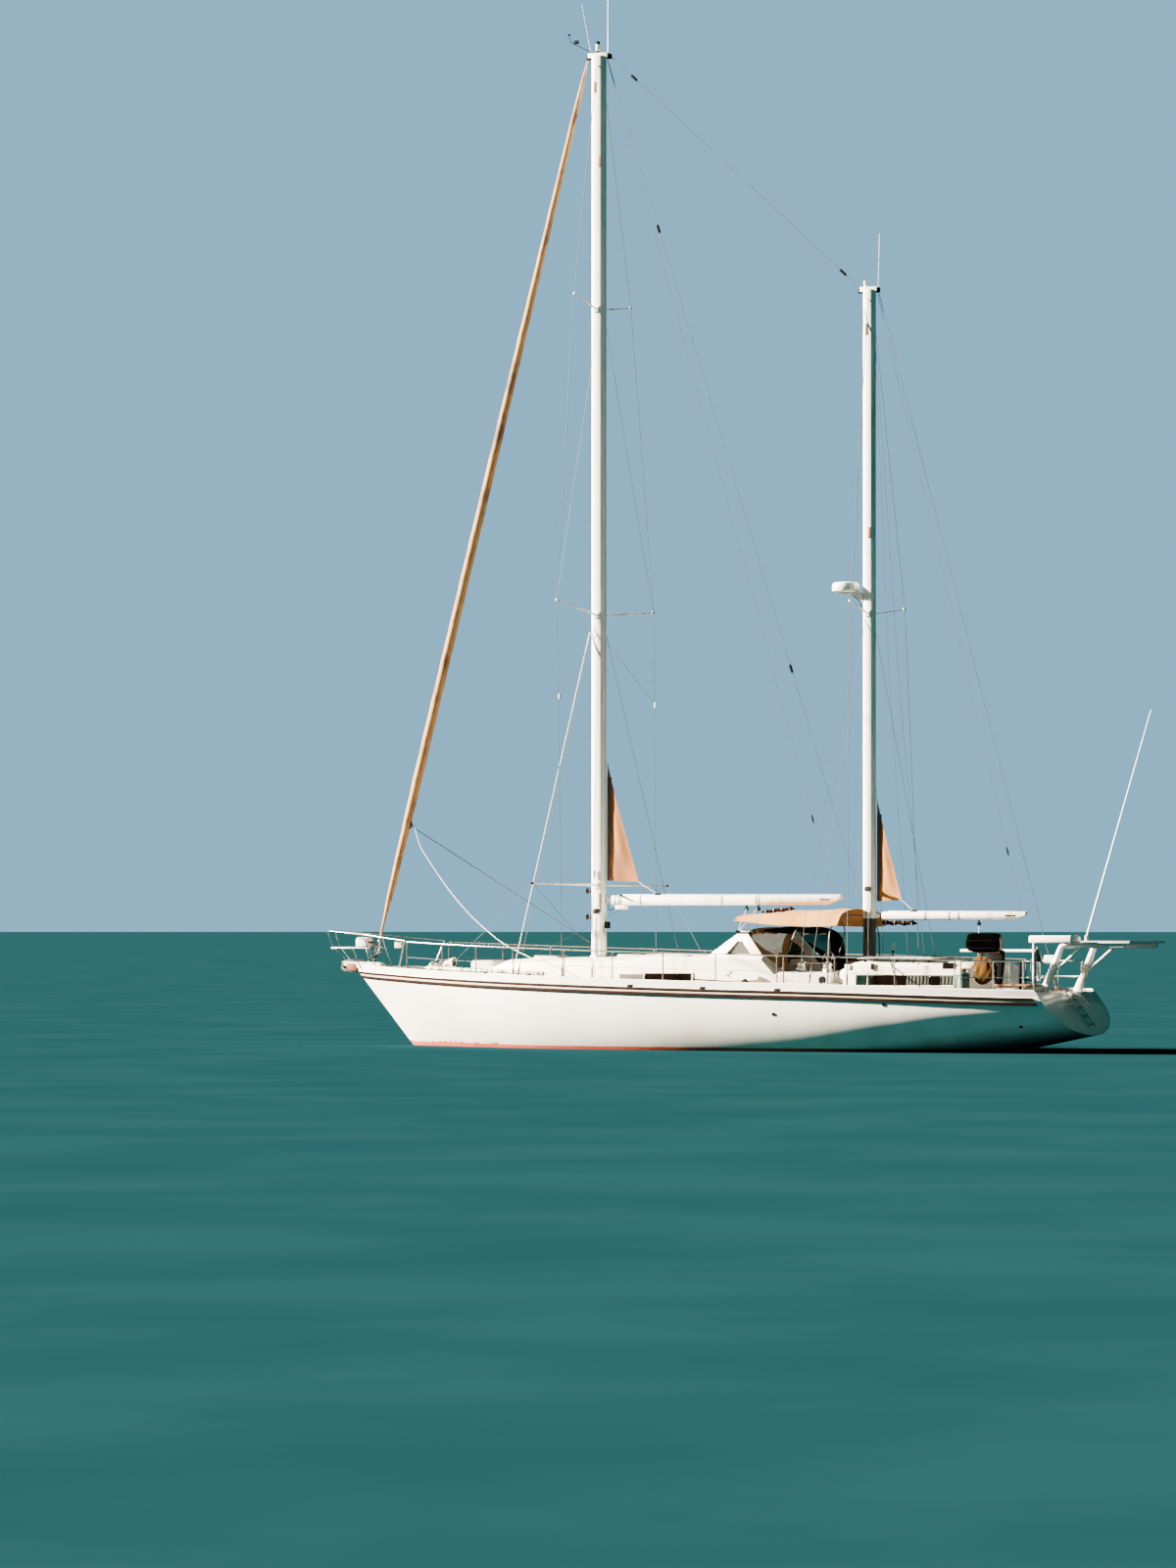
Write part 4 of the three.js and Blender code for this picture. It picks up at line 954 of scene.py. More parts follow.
for number, (roof, (x0, x1), (z0, z1)) in enumerate(FRAMES):
    for side, word in SIDES:
        bars = [((x0, x1), (z1 - 0.012, z1)), ((x0, x1), (z0, z0 + 0.012))]
        bars += [((x0, x0 + 0.02), (z0, z1)), ((x1 - 0.02, x1), (z0, z1))]
        trim = [wall_patch("bar", roof, xs, zs, 0.02, side, 0.03) for xs, zs in bars]
        group(f"window_trim_{number}_{word}", trim, GELCOAT)
print("windows:", 2 * len(PANES))

# %% [markdown]
# Each hatch has an aluminium frame with rounded edges, a smoked pane inset in it, and two dogs. It rides
# on its lid's body, so it opens with the lid. The companionway door is a louvred teak leaf.

# %% Hatches and door
def hatch(name, x0, x1, half, seat, body):
    frame_piece = block(name + "_frame", (x0, -half, seat + 0.001), (x1, half, seat + 0.034), 0.012, 3)
    pick_faces(frame_piece, lambda face: face.normal.z > 0.99 and face.area > 0.1)
    bpy.ops.mesh.inset(thickness=0.045, depth=-0.008)
    leave_edit()
    finished(frame_piece, ALUMINIUM, body, stands_for=[name])
    low, high = (x0 + 0.055, 0.055 - half, seat + 0.02), (x1 - 0.055, half - 0.055, seat + 0.037)
    pane = block(name + "_pane", low, high, 0.006, 3)
    finished(pane, SMOKED_ACRYLIC, body)
    dog = [(0, 0), (0.02, 0), (0.02, 0.005), (0.012, 0.009), (0, 0.009)]
    places = [(x1 - 0.03, side * half, seat + 0.034) for side in (-0.5, 0.5)]
    dogs = [turned("dog", dog, place, steps=16) for place in places]
    group(name + "_dogs", dogs, BLACK_RUBBER, body)


ALUMINIUM = speckled(
    "aluminium", [(0.6, 0.61, 0.61), (0.7, 0.705, 0.7)], 12, (0.35, 0.5), (150, 0.08, 0.0006), 0.9,
)
SMOKED_ACRYLIC = glass("smoked_acrylic", (0.05, 0.055, 0.06))
HATCHES = [  # name, x from, x to, height of the seat
    ("fore_hatch", 3.38, 3.9, 1.818), ("saloon_hatch", 1.5, 2.02, 1.848), ("aft_hatch", -5.35, -4.83, 1.788),
]
HATCH_HALF = 0.26
for name, x0, x1, seat in HATCHES:
    hatch(name, x0, x1, HATCH_HALF, seat, name)

door_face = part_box("companionway_door")[1][0]
door_body = frame["nodes"]["companionway_door"]["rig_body"]
copy_of("companionway_door", TEAK_JOINERY, 0.004)
slats = []
for i in range(9):
    z = 1.2 + i * 0.05
    slats.append(block("slat", (door_face - 0.004, -0.24, z), (door_face + 0.008, 0.24, z + 0.03), 0.004))
group("companionway_louvres", slats, TEAK_TRIM, door_body)
print("hatches and door done")

# %% [markdown]
# Rails. Each side has stanchions with a foot plate, a stiff top rail and a lower wire. They follow the
# sheer: a table of the deck edge's height and the half beam along the boat gives every foot.

# %% Guard rails
SHEER = [(s[2], s[3] - TOE_RAIL_HIGH, s[4]) for s in STATIONS]
STANCHION_X = (6.48, 5.44, 4.5, 3.56, 2.32, 1.2, 0.08, -1.06, -2.36, -3.56, -4.78, -5.96)
RAIL_HIGH = 0.655
RAIL_IN = 0.095
TUBE = 0.013


def deck_z(x):
    return at(SHEER, x, 1)


def rail_point(x, side, high=0.0):
    return Vector((x, side * (at(SHEER, x, 2) - RAIL_IN), deck_z(x) + high))


def foot_plate(place, radius=0.03):
    profile = [
        (0, 0), (radius, 0), (radius, 0.006), (radius * 0.62, 0.012), (radius * 0.55, 0.045), (0, 0.045),
    ]
    return turned("foot", profile, place, steps=16)


CAP_HIGH = 0.03
CAP = [(0, 0), (0.019, 0), (0.019, CAP_HIGH), (0, CAP_HIGH)]
for side, word in SIDES:
    top = curved_path([rail_point(x, side, RAIL_HIGH) for x in STANCHION_X], 3)
    rails = [tube("top", top, TUBE, 12)]
    posts = []
    for x in STANCHION_X:
        head = rail_point(x, side, RAIL_HIGH)
        posts.append(tube("post", [rail_point(x, side, -0.01), head], TUBE * 0.95, 12))
        posts.append(foot_plate(rail_point(x, side, -0.006)))
        rails.append(turned("cap", CAP, rail_point(x, side, RAIL_HIGH - CAP_HIGH), steps=12))
    group(f"guard_rail_{word}_tubes", rails, STEEL, stands_for=[f"guard_rail_{word}"])
    group(f"guard_posts_{word}", posts, POST_STEEL)
    wire_path = [rail_point(x, side, RAIL_HIGH * 0.52) for x in STANCHION_X]
    finished(tube(f"guard_wire_{word}", wire_path, 0.004), WIRE)
gate_posts = [rail_point(x, 1, RAIL_HIGH) for x in (-2.5, -3.42)]
gates = [tube("gate", [p - Vector((0, 0, RAIL_HIGH + 0.01)), p], 0.014, 12) for p in gate_posts]
gates += [foot_plate(p - Vector((0, 0, RAIL_HIGH + 0.006)), 0.036) for p in gate_posts]
group("gate_posts", gates, POST_STEEL)
print("stanchions:", 2 * len(STANCHION_X))

# %% [markdown]
# The pulpit at the bow and the pushpit at the stern are bent from the same tube. A bend is an arc between
# two straight lengths. The pulpit carries a small white platform over the anchor.

# %% Pulpit and pushpit
def mirrored(points):
    """The port half of a line, and its mirror to starboard."""
    points = [Vector(p) for p in points]
    return [*points, *[Vector((p.x, -p.y, p.z)) for p in reversed(points)]]


def legs(pairs, radius=TUBE):
    """Straight tubes on both sides, from pairs of port points."""
    pieces = []
    for start, end in pairs:
        for side in (1, -1):
            ends = [Vector((p[0], side * p[1], p[2])) for p in (start, end)]
            pieces.append(tube("leg", ends, radius, 12))
    return pieces


start = rail_point(6.57, 1, RAIL_HIGH + 0.02)
upper = rounded_path(mirrored([start, (7.7, 0.42, 2.27), (8.78, 0.17, 2.355)]), 0.16)
lower = rounded_path(mirrored([(7.64, 0.39, 1.995), (8.64, 0.17, 2.0)]), 0.12)
pulpit = [tube("upper", upper, TUBE * 0.8, 12), tube("lower", lower, TUBE * 0.5, 12)]
pulpit += legs([((8.77, 0.15, 2.35), (8.63, 0.15, 2.0)), ((8.62, 0.16, 2.0), (8.3, 0.075, 1.7))], 0.008)
pulpit += legs([((7.8, 0.405, 2.275), (7.48, 0.33, 1.525)), (start, (6.8, 0.72, 1.47)),
                ((8.1, 0.3, 2.0), (7.95, 0.2, 1.58))])
pulpit += [tube("cross", [(7.93, -0.33, 2.0), (7.93, 0.33, 2.0)], TUBE * 0.9, 12)]
for x, y in ((7.48, 0.33), (6.8, 0.72)):
    pulpit += [foot_plate((x, side * y, deck_z(x) + 0.01)) for side in (1, -1)]
group("pulpit_tubes", pulpit, STEEL, stands_for=["pulpit"])
SLAT_STEP = 0.093
starts = [i * SLAT_STEP for i in range(6)]
slats = [block("slat", (8.1 + x, -0.185, 1.99), (8.18 + x, 0.185, 2.013), 0.006) for x in starts]
slats += [block("edge", (8.08, y, 1.985), (8.66, y + 0.014, 2.017), 0.004) for y in (0.178, -0.192)]
group("bow_platform", slats, WHITE_PLASTIC)

PUSHPIT_X = (-6.08, -6.7, -7.25)
corner = (-7.42, 1.18, 1.77)
run = [(x, at(SHEER, x, 2) - RAIL_IN, 1.77) for x in PUSHPIT_X]
top = rounded_path(mirrored([*run, corner]), 0.14)
middle = rounded_path(mirrored([(x, y, z - 0.31) for x, y, z in [*run, corner]]), 0.14)
pushpit = [tube("top", top, TUBE, 12), tube("middle", middle, TUBE * 0.6)]
pushpit += legs([((x, y, z), (x, y, deck_z(x))) for x, y, z in [*run, corner]])
pushpit += [foot_plate((x, side * y, deck_z(x) + 0.004)) for x, y, z in [*run, corner] for side in (1, -1)]
group("pushpit_tubes", pushpit, STEEL, stands_for=["pushpit"])
print("pulpit and pushpit done")

# %% [markdown]
# Bow gear: the stem head fitting is on the hull. The anchor lies in its roller, with rusty cheeks round
# it. The windlass has a rope drum on each side of a white gearbox. A box, a cream tag, a furling drum, a
# stowed pole on its chocks and a white locker are seen between the rails.

# %% Bow gear
copy_of("anchor", GALVANISED, 0.004, smooth=40)
cheeks = [block("cheek", (8.1, -0.1, 1.52), (8.34, -0.075, 1.68), 0.008),
          block("cheek", (8.1, 0.075, 1.52), (8.34, 0.1, 1.68), 0.008),
          block("cheek", (8.1, -0.1, 1.52), (8.34, 0.1, 1.56), 0.008)]
group("stem_cheeks", cheeks, RUST, "boat", "galvanised")

windlass = [block("gearbox", (6.1, -0.13, 1.53), (6.4, 0.13, 1.7), 0.035, 4),
            block("motor", (5.86, -0.09, 1.55), (6.14, 0.09, 1.68), 0.05, 4)]
group("windlass_case", windlass, WHITE_PLASTIC, stands_for=["windlass"])
ROPE_DRUM = [
    (0, 0), (0.06, 0), (0.062, 0.015), (0.045, 0.03), (0.04, 0.055), (0.046, 0.075), (0.062, 0.085),
    (0.05, 0.1), (0, 0.1),
]
drums = [turned("drum", ROPE_DRUM, (6.25, side * 0.13, 1.69), (0, side, 0)) for side in (1, -1)]
group("windlass_drums", drums, STEEL)

STAY_TOP = Vector((2.805, 0, 20.02))
STAY_FOOT = Vector((7.69, 0, 1.9))
stay_way = (STAY_FOOT - STAY_TOP).normalized()
FURLER = [
    (0, 0), (0.03, 0), (0.035, 0.03), (0.095, 0.035), (0.1, 0.05), (0.06, 0.06), (0.055, 0.15),
    (0.1, 0.165), (0.1, 0.18), (0.04, 0.19), (0.03, 0.28), (0, 0.28),
]
furler = turned("furling_drum", FURLER, STAY_FOOT + stay_way * 0.02, -stay_way)
finished(furler, ALUMINIUM)
stem_link = tube("stem_link", [STAY_FOOT + stay_way * -0.02, (7.76, 0, 1.62)], 0.028, 12)
finished(stem_link, GALVANISED)

bow_box = block("bow_box", (7.8, -0.08, 2.012), (8.08, 0.2, 2.22), 0.04, 4)
finished(bow_box, WHITE_PLASTIC)
trim = [block("trim", (7.79, -0.05, 2.1), (7.8, 0.17, 2.13), 0.003)]
group("bow_box_trim", trim, BLACK_RUBBER)
tag = block("rail_tag", (6.77, 0.58, 2.0), (6.93, 0.62, 2.13), 0.012, 3)
finished(tag, CREAM, "boat", "khaki_canvas")

POLE_AFT = Vector((2.95, 1.72, 1.5))
POLE_FORE = Vector((6.0, 0.92, 1.6))
pole_way = (POLE_FORE - POLE_AFT).normalized()
POLE_END = [(0, -0.1), (0.043, -0.1), (0.043, 0), (0.02, 0.03), (0.018, 0.09), (0, 0.1)]
pole = [tube("pole", [POLE_AFT, POLE_FORE], 0.04, 20)]
for end, way in ((POLE_AFT, -pole_way), (POLE_FORE, pole_way)):
    pole.append(turned("end", POLE_END, end, way))
group("stowed_pole", pole, MAST_PAINT)
chocks = []
for share in (0.12, 0.5, 0.88):
    place = POLE_AFT.lerp(POLE_FORE, share)
    low = (place.x - 0.03, place.y - 0.055, deck_z(place.x))
    chocks.append(block("chock", low, (place.x + 0.03, place.y + 0.055, place.z - 0.01), 0.01))
group("pole_chocks", chocks, TEAK_TRIM)
locker = block("foredeck_locker", (4.78, -0.38, 1.5), (5.3, 0.38, 1.75), 0.05, 4)
finished(locker, GELCOAT)
print("bow gear done")

# %% [markdown]
# Masts. An extruded mast has a round nose, full sides and a slot down its aft side, where the sail rolls
# away. The section is drawn once as a smooth line and pulled up from the foot to the head. The solid
# stays inside it and shows its collar, its head and the plates for the boom.

# %% Masts
MASTS = {  # x, fore-and-aft size, athwartships size, foot, top
    "main": (2.57, 0.3, 0.2, 1.75, 20.04),
    "mizzen": (-3.38, 0.25, 0.17, 1.66, 14.99),
}
MAST_SIDE = [(1.0, 0.0), (0.96, 0.3), (0.82, 0.66), (0.55, 0.92), (0.2, 1.02), (-0.25, 1.02), (-0.62, 0.92),
             (-0.87, 0.7), (-0.98, 0.46), (-1.01, 0.24), (-0.9, 0.17), (-0.86, 0.02)]
SPAR_SKIN = 0.003


def mast_ring(x, long, wide, z):
    half = curved_path([(a, b, 0) for a, b in MAST_SIDE], 3)
    port = [(x + a * (long / 2 + SPAR_SKIN), b * (wide / 2 + SPAR_SKIN), z) for a, b, _ in half]
    return port + [(px, -py, pz) for px, py, pz in reversed(port[1:])]


for name, (x, long, wide, foot, top) in MASTS.items():
    copy_of(f"{name}_mast", MAST_PAINT, 0.004, smooth=50)
    heights = [foot + (top - foot) * i / 8 for i in range(9)]
    mast = lofted(f"{name}_mast_tube", [mast_ring(x, long, wide, z) for z in heights])
    finished(mast, MAST_PAINT, smooth=42)
    slot_x = x - long / 2 + 0.012
    slot = block(f"{name}_mast_slot", (slot_x - 0.002, -0.012, 3.2), (slot_x + 0.004, 0.012, top - 0.4), 0)
    finished(slot, BLACK_RUBBER)
print("masts:", [round(m[4] - m[3], 2) for m in MASTS.values()], "m")

# %% [markdown]
# Gear on the masts: winches are turned shapes, cleats are small bars on two posts, and the mastheads carry
# lamps, a wind sensor, thin whips and cranes with their sheaves. Rusty plates show where the halyards leave
# the masts.

# %% Mast gear
WINCH = [  # radius and height
    (0, 0), (0.07, 0), (0.072, 0.018), (0.056, 0.028), (0.043, 0.055), (0.041, 0.08), (0.052, 0.1),
    (0.068, 0.106), (0.07, 0.118), (0.058, 0.122), (0.07, 0.128), (0.07, 0.138), (0.045, 0.146), (0, 0.148),
]
CLEAT_OUT = 0.035
CLEAT_HALF = 0.09
CLEAT_RADIUS = 0.009


def cleat(x, y, z, side):
    """An upright bar on the mast's side, on two short posts."""
    foot, head = Vector((x, side * y, z)), Vector((x, side * (y + CLEAT_OUT), z))
    up = Vector((0, 0, 1))
    parts = [tube("horn", [head - up * CLEAT_HALF, head + up * CLEAT_HALF], CLEAT_RADIUS)]
    for offset in (-0.02, 0.02):
        parts.append(tube("post", [foot + up * offset, head + up * offset], CLEAT_RADIUS))
    return joined("cleat", parts)


WINCHES = [  # name, place, axis, size
    ("mast_winch_upper", (2.72, 0, 3.16), (1, 0, 0), 0.85),
    ("mast_winch_lower", (2.72, 0, 2.63), (1, 0, 0), 0.85),
    ("mast_winch_port", (2.55, 0.1, 2.75), (0, 1, 0), 0.8),
    ("mast_winch_starboard", (2.55, -0.1, 2.75), (0, -1, 0), 0.8),
    ("mizzen_winch_port", (-3.4, 0.085, 3.18), (0, 1, 0), 0.75),
    ("mizzen_winch_starboard", (-3.4, -0.085, 3.0), (0, -1, 0), 0.75),
]
for name, place, axis, size in WINCHES:
    finished(turned(name, [(r * size, h * size) for r, h in WINCH], place, axis, 28), DARK_METAL)
cleats = [cleat(2.6, 0.1, z, side) for side in (1, -1) for z in (2.3, 3.5)]
cleats += [cleat(-3.36, 0.085, z, side) for side in (1, -1) for z in (2.3, 2.7)]
group("mast_cleats", cleats, BLACK_RUBBER)
motor = [block("motor", (2.33, -0.06, 2.4), (2.42, 0.06, 2.54), 0.02, 3)]
group("furling_motor", motor, BLACK_RUBBER)
PLATES = [(2.6, 0.1, 19.4), (2.6, -0.1, 19.2), (2.5, 0.1, 17.9), (-3.36, 0.085, 14.2), (-3.42, 0.085, 10.2)]
plates = []
for x, y, z in PLATES:
    side = 1 if y > 0 else -1
    low, high = sorted((y - side * 0.004, y + side * 0.01))
    plates.append(block("plate", (x - 0.03, low, z - 0.11), (x + 0.03, high, z + 0.11), 0.004))
group("halyard_plates", plates, RUST, "boat", "steel")


def lamp_part(name, place, radius, high, material):
    """A short drum with a slight belly."""
    wide = radius * 1.04
    profile = [(0, 0), (radius, 0), (wide, high * 0.1), (wide, high * 0.9), (radius, high), (0, high)]
    return finished(turned(name, profile, place), material)


lamp_part("lamp_foot", (2.59, 0, 20.09), 0.035, 0.06, BLACK_RUBBER)
lamp_part("lamp_glass", (2.59, 0, 20.15), 0.04, 0.13, WHITE_PLASTIC)
lamp_part("lamp_cap", (2.59, 0, 20.28), 0.04, 0.06, BLACK_RUBBER)
lamp_part("mizzen_lamp", (-3.3, 0, 15.04), 0.035, 0.13, WHITE_PLASTIC)
ARM_PATH = [(2.75, 0, 20.07), (2.77, 0, 20.15), (3.2, 0, 20.36), (3.24, 0, 20.5)]
arm = [tube("arm", rounded_path(ARM_PATH, 0.03), 0.007)]
arm.append(turned("cup", [(0, 0), (0.03, 0.01), (0.034, 0.03), (0, 0.035)], (3.24, 0, 20.5), steps=16))
arm.append(block("vane", (3.02, -0.003, 20.32), (3.14, 0.003, 20.4), 0.001))
group("wind_sensor", arm, BLACK_RUBBER)
finished(tube("mast_whip", [(2.74, 0, 20.08), (2.95, 0, 21.1)], 0.004), WHITE_PLASTIC)
finished(tube("mizzen_whip", [(-3.57, 0, 15.03), (-3.6, 0, 16.1)], 0.004), WHITE_PLASTIC)
SHEAVE = [(0, -0.012), (0.045, -0.012), (0.035, 0), (0.045, 0.012), (0, 0.012)]
cranes = []
for x, z, reach in ((2.79, 20.02, 0.05), (2.33, 20.02, -0.05), (-3.19, 14.98, 0.04), (-3.57, 14.98, -0.04)):
    cranes.append(turned("sheave", SHEAVE, (x, 0, z), (0, 1, 0), 20))
    low, high = sorted((x - reach, x + reach))
    cranes.append(block("cheek", (low, 0.012, z - 0.05), (high, 0.02, z + 0.05), 0.004))
    cranes.append(block("cheek", (low, -0.02, z - 0.05), (high, -0.012, z + 0.05), 0.004))
group("masthead_cranes", cranes, BLACK_RUBBER)
print("mast gear done")

# %% [markdown]
# Spreaders are flattened, tapered arms with a root bracket and a rounded boot where the shroud passes. The
# two long struts low on the main mast keep the pole guys clear of the rails, and are round.

# %% Spreaders and struts
SPREADERS = [  # name, mast, root z, tip z, half span, sweep aft, radius, flatness
    ("main_lower_spreader", "main", 8.73, 8.91, 2.2, 0.16, 0.03, 0.62),
    ("main_upper_spreader", "main", 14.92, 15.09, 1.27, 0.09, 0.026, 0.62),
    ("mizzen_spreader", "mizzen", 8.61, 8.77, 1.36, 0.18, 0.024, 0.62),
    ("jockey_strut", "main", 3.28, 3.29, 3.07, 0.06, 0.02, 1.0),
]
BOOT = [(0, -0.03), (0.02, -0.03), (0.028, -0.01), (0.028, 0.02), (0.015, 0.035), (0, 0.035)]


def arm_ring(place, along, radius, flat, sides=16):
    """A flattened circle across a spar's line."""
    fore = Vector((0, 0, 1)).cross(along).normalized()
    up = along.cross(fore).normalized()
    angles = [k / sides * math.tau for k in range(sides)]
    return [place + fore * radius * math.cos(a) + up * radius * flat * math.sin(a) for a in angles]


for name, mast, root, tip, span, sweep, radius, flat in SPREADERS:
    x, long, wide = MASTS[mast][:3]
    for side, word in SIDES:
        start = Vector((x, side * (wide / 2 + 0.006), root))
        end = Vector((x - sweep, side * span, tip))
        along = (end - start).normalized()
        sizes = [(0, 1.0), (0.3, 1.05), (0.8, 0.8), (0.97, 0.68), (0.985, 0.85), (1.0, 0.8)]
        rings = [arm_ring(start.lerp(end, t), along, radius * r, flat) for t, r in sizes]
        low, high = sorted((side * (wide / 2 + 0.0005), side * (wide / 2 + 0.035)))
        bracket = block("bracket", (x - 0.065, low, root - 0.06), (x + 0.065, high, root + 0.06), 0.012, 3)
        spar = f"{name}_{word}"
        group(spar + "_arm", [lofted("arm", rings), bracket], MAST_PAINT, stands_for=[spar])
        boot = turned(spar + "_boot", BOOT, end, along, 16)
        finished(boot, BLACK_RUBBER if name == "jockey_strut" else WHITE_PLASTIC, "boat", "gelcoat")
print("spreaders and struts:", 2 * len(SPREADERS))

# %% [markdown]
# Standing rigging. A shroud runs from its chain plate at the deck over the spreader tips to the mast. Its
# lower end has a screw to set it up. The wires are taut, so they are straight between their points.

# %% Wires
def wire_line(name, points, radius=0.007, material=WIRE, stands_for=(), body="boat"):
    return finished(tube(name, points, radius), material, body, stands_for=stands_for)


SCREW = [
    (0, 0), (0.012, 0), (0.012, 0.05), (0.02, 0.06), (0.02, 0.26), (0.012, 0.27), (0.012, 0.34), (0, 0.35),
]


def set_up(foot, towards):
    """A chain plate at the deck and the screw above it, in line with the wire."""
    foot, towards = Vector(foot), Vector(towards)
    way = (towards - foot).normalized()
    plate_low = (foot.x - 0.03, foot.y - 0.006, foot.z - 0.1)
    plate = block("plate", plate_low, (foot.x + 0.03, foot.y + 0.006, foot.z + 0.05), 0.004)
    return [plate, turned("screw", SCREW, foot + way * 0.03, way, 12)]


screws = []
CAP_SHROUDS = [  # name, mast, spreaders, deck x, deck y, head z
    ("main_cap_shroud", "main", (0, 1), 2.31, 2.15, 19.85),
    ("mizzen_cap_shroud", "mizzen", (2,), -3.7, 1.85, 14.8),
]
for name, mast, over, deck_x, deck_y, head in CAP_SHROUDS:
    x, long, wide = MASTS[mast][:3]
    for side, word in SIDES:
        foot = Vector((deck_x, side * deck_y, deck_z(deck_x) - 0.03))
        tips = []
        for _, _, _, tip, span, sweep, _, _ in [SPREADERS[i] for i in over]:
            tips.append((x - sweep, side * (span + 0.0168), tip + 0.006))
        points = [foot, *tips, (x - 0.02, side * (wide / 2 + 0.014), head)]
        wire_line(f"{name}_{word}_wire", points, stands_for=[f"{name}_{word}"])
        screws += set_up(foot + Vector((0, 0, 0.04)), tips[0])
LOWERS = [  # name, mast, height on the mast, deck x, deck y
    ("main_aft_lower", "main", 8.62, 1.66, 2.16), ("main_fore_lower", "main", 8.5, 3.45, 1.93),
    ("mizzen_aft_lower", "mizzen", 8.5, -4.15, 1.86), ("mizzen_fore_lower", "mizzen", 8.5, -2.9, 1.9),
]
for name, mast, high, deck_x, deck_y in LOWERS:
    x, long, wide = MASTS[mast][:3]
    for side, word in SIDES:
        foot = Vector((deck_x, side * deck_y, deck_z(deck_x) + 0.01))
        head = Vector((x + math.copysign(0.05, deck_x - x), side * wide / 2, high))
        wire_line(f"{name}_{word}", [foot, head], 0.005)
        screws += set_up(foot, head)
for side, word in SIDES:
    ends = [(2.41, side * 2.2, 8.92), (2.5, side * 0.1, 14.85)]
    wire_line(f"main_diagonal_{word}", ends, 0.004)
STAYS = [  # name, upper end, lower end
    ("main_backstay", (2.38, 0, 19.98), (-3.236, 0, 2.85)),
    ("triatic_stay", (2.34, 0, 20.06), (-3.19, 0, 15.03)),
    ("mizzen_backstay", (-3.57, 0, 14.98), (-7.33, 0, 1.28)),
]
for name, upper, lower in STAYS:
    wire_line(f"{name}_wire", [upper, lower], stands_for=[name])
screws += set_up((-7.33, 0, 1.24), STAYS[2][1])
group("rigging_screws", screws, POST_STEEL)
INSULATOR = [(0, 0), (0.012, 0), (0.028, 0.02), (0.028, 0.16), (0.012, 0.18), (0, 0.18)]
insulators = []
for stay, share in ((1, 0.09), (1, 0.92), (0, 0.2), (0, 0.72)):
    upper, lower = Vector(STAYS[stay][1]), Vector(STAYS[stay][2])
    insulators.append(turned("insulator", INSULATOR, upper.lerp(lower, share), lower - upper, 12))
group("stay_insulators", insulators, BLACK_RUBBER)
print("wires done, screws:", len(screws) // 2)

# %% [markdown]
# Running lines that stand about the rig: a white rope that serves as a fore lower, the headsail's other
# sheet, ties from the main mast to the cap shrouds with a white fitting on each, the guys of the two long
# struts, the flag halyard, and spare lines by the mizzen mast.

# %% Running lines
OLIVE = [(0, -0.06), (0.02, -0.05), (0.024, 0), (0.02, 0.05), (0, 0.06)]
wire_line("white_fore_guy", [(2.72, 0.1, 8.4), (3.58, 1.87, 1.42)], 0.009, WHITE_ROPE)
wire_line("headsail_lazy_sheet", [(6.87, -0.02, 4.5), (2.6, -1.9, 1.47)], 0.008, DARK_ROPE)
for side, word in SIDES:
    cap_at = Vector((2.355, side * 2.19, 7.0))
    wire_line(f"shroud_tie_{word}", [(2.56, side * 0.1, 8.35), cap_at], 0.005, DARK_ROPE)
    wire_line(f"strut_guy_fore_{word}", [(2.51, side * 3.05, 3.29), (5.4, side * 1.33, 1.52)], 0.004)
    wire_line(f"strut_guy_aft_{word}", [(2.51, side * 3.05, 3.29), (1.0, side * 2.25, 1.35)], 0.004)
    finished(turned(f"shroud_fitting_{word}", OLIVE, cap_at), WHITE_PLASTIC)
flag_points = [(-3.3, 0.09, 14.6), (-3.4, 0.98, 7.25), (-3.104, 1.2, 5.565), (-2.942, 1.45, 4.299),
               (-2.762, 1.75, 2.541), (-2.72, 1.9, 1.3)]
wire_line("flag_halyard", flag_points, 0.005, DARK_ROPE)
wire_line("mizzen_guy_inner", [(-3.45, -0.08, 14.2), (-3.418, -0.9, 7.47), (-3.48, -1.84, 1.27)], 0.005)
wire_line("mizzen_guy_outer", [(-3.47, -0.08, 14.0), (-3.629, -1.0, 6.87), (-3.85, -1.84, 1.27)], 0.005)
wire_line("mizzen_front_line", [(-3.22, 0.06, 5.6), (-3.14, 0.06, 2.9)], 0.004, DARK_ROPE)
print("running lines done")

# %% [markdown]
# Booms. The solids have the right length and bevelled end. Each gets a track along its top, a sheave at
# its end, webbing straps, hanging blocks, a toggle and a topping lift, all of which swing with the boom.

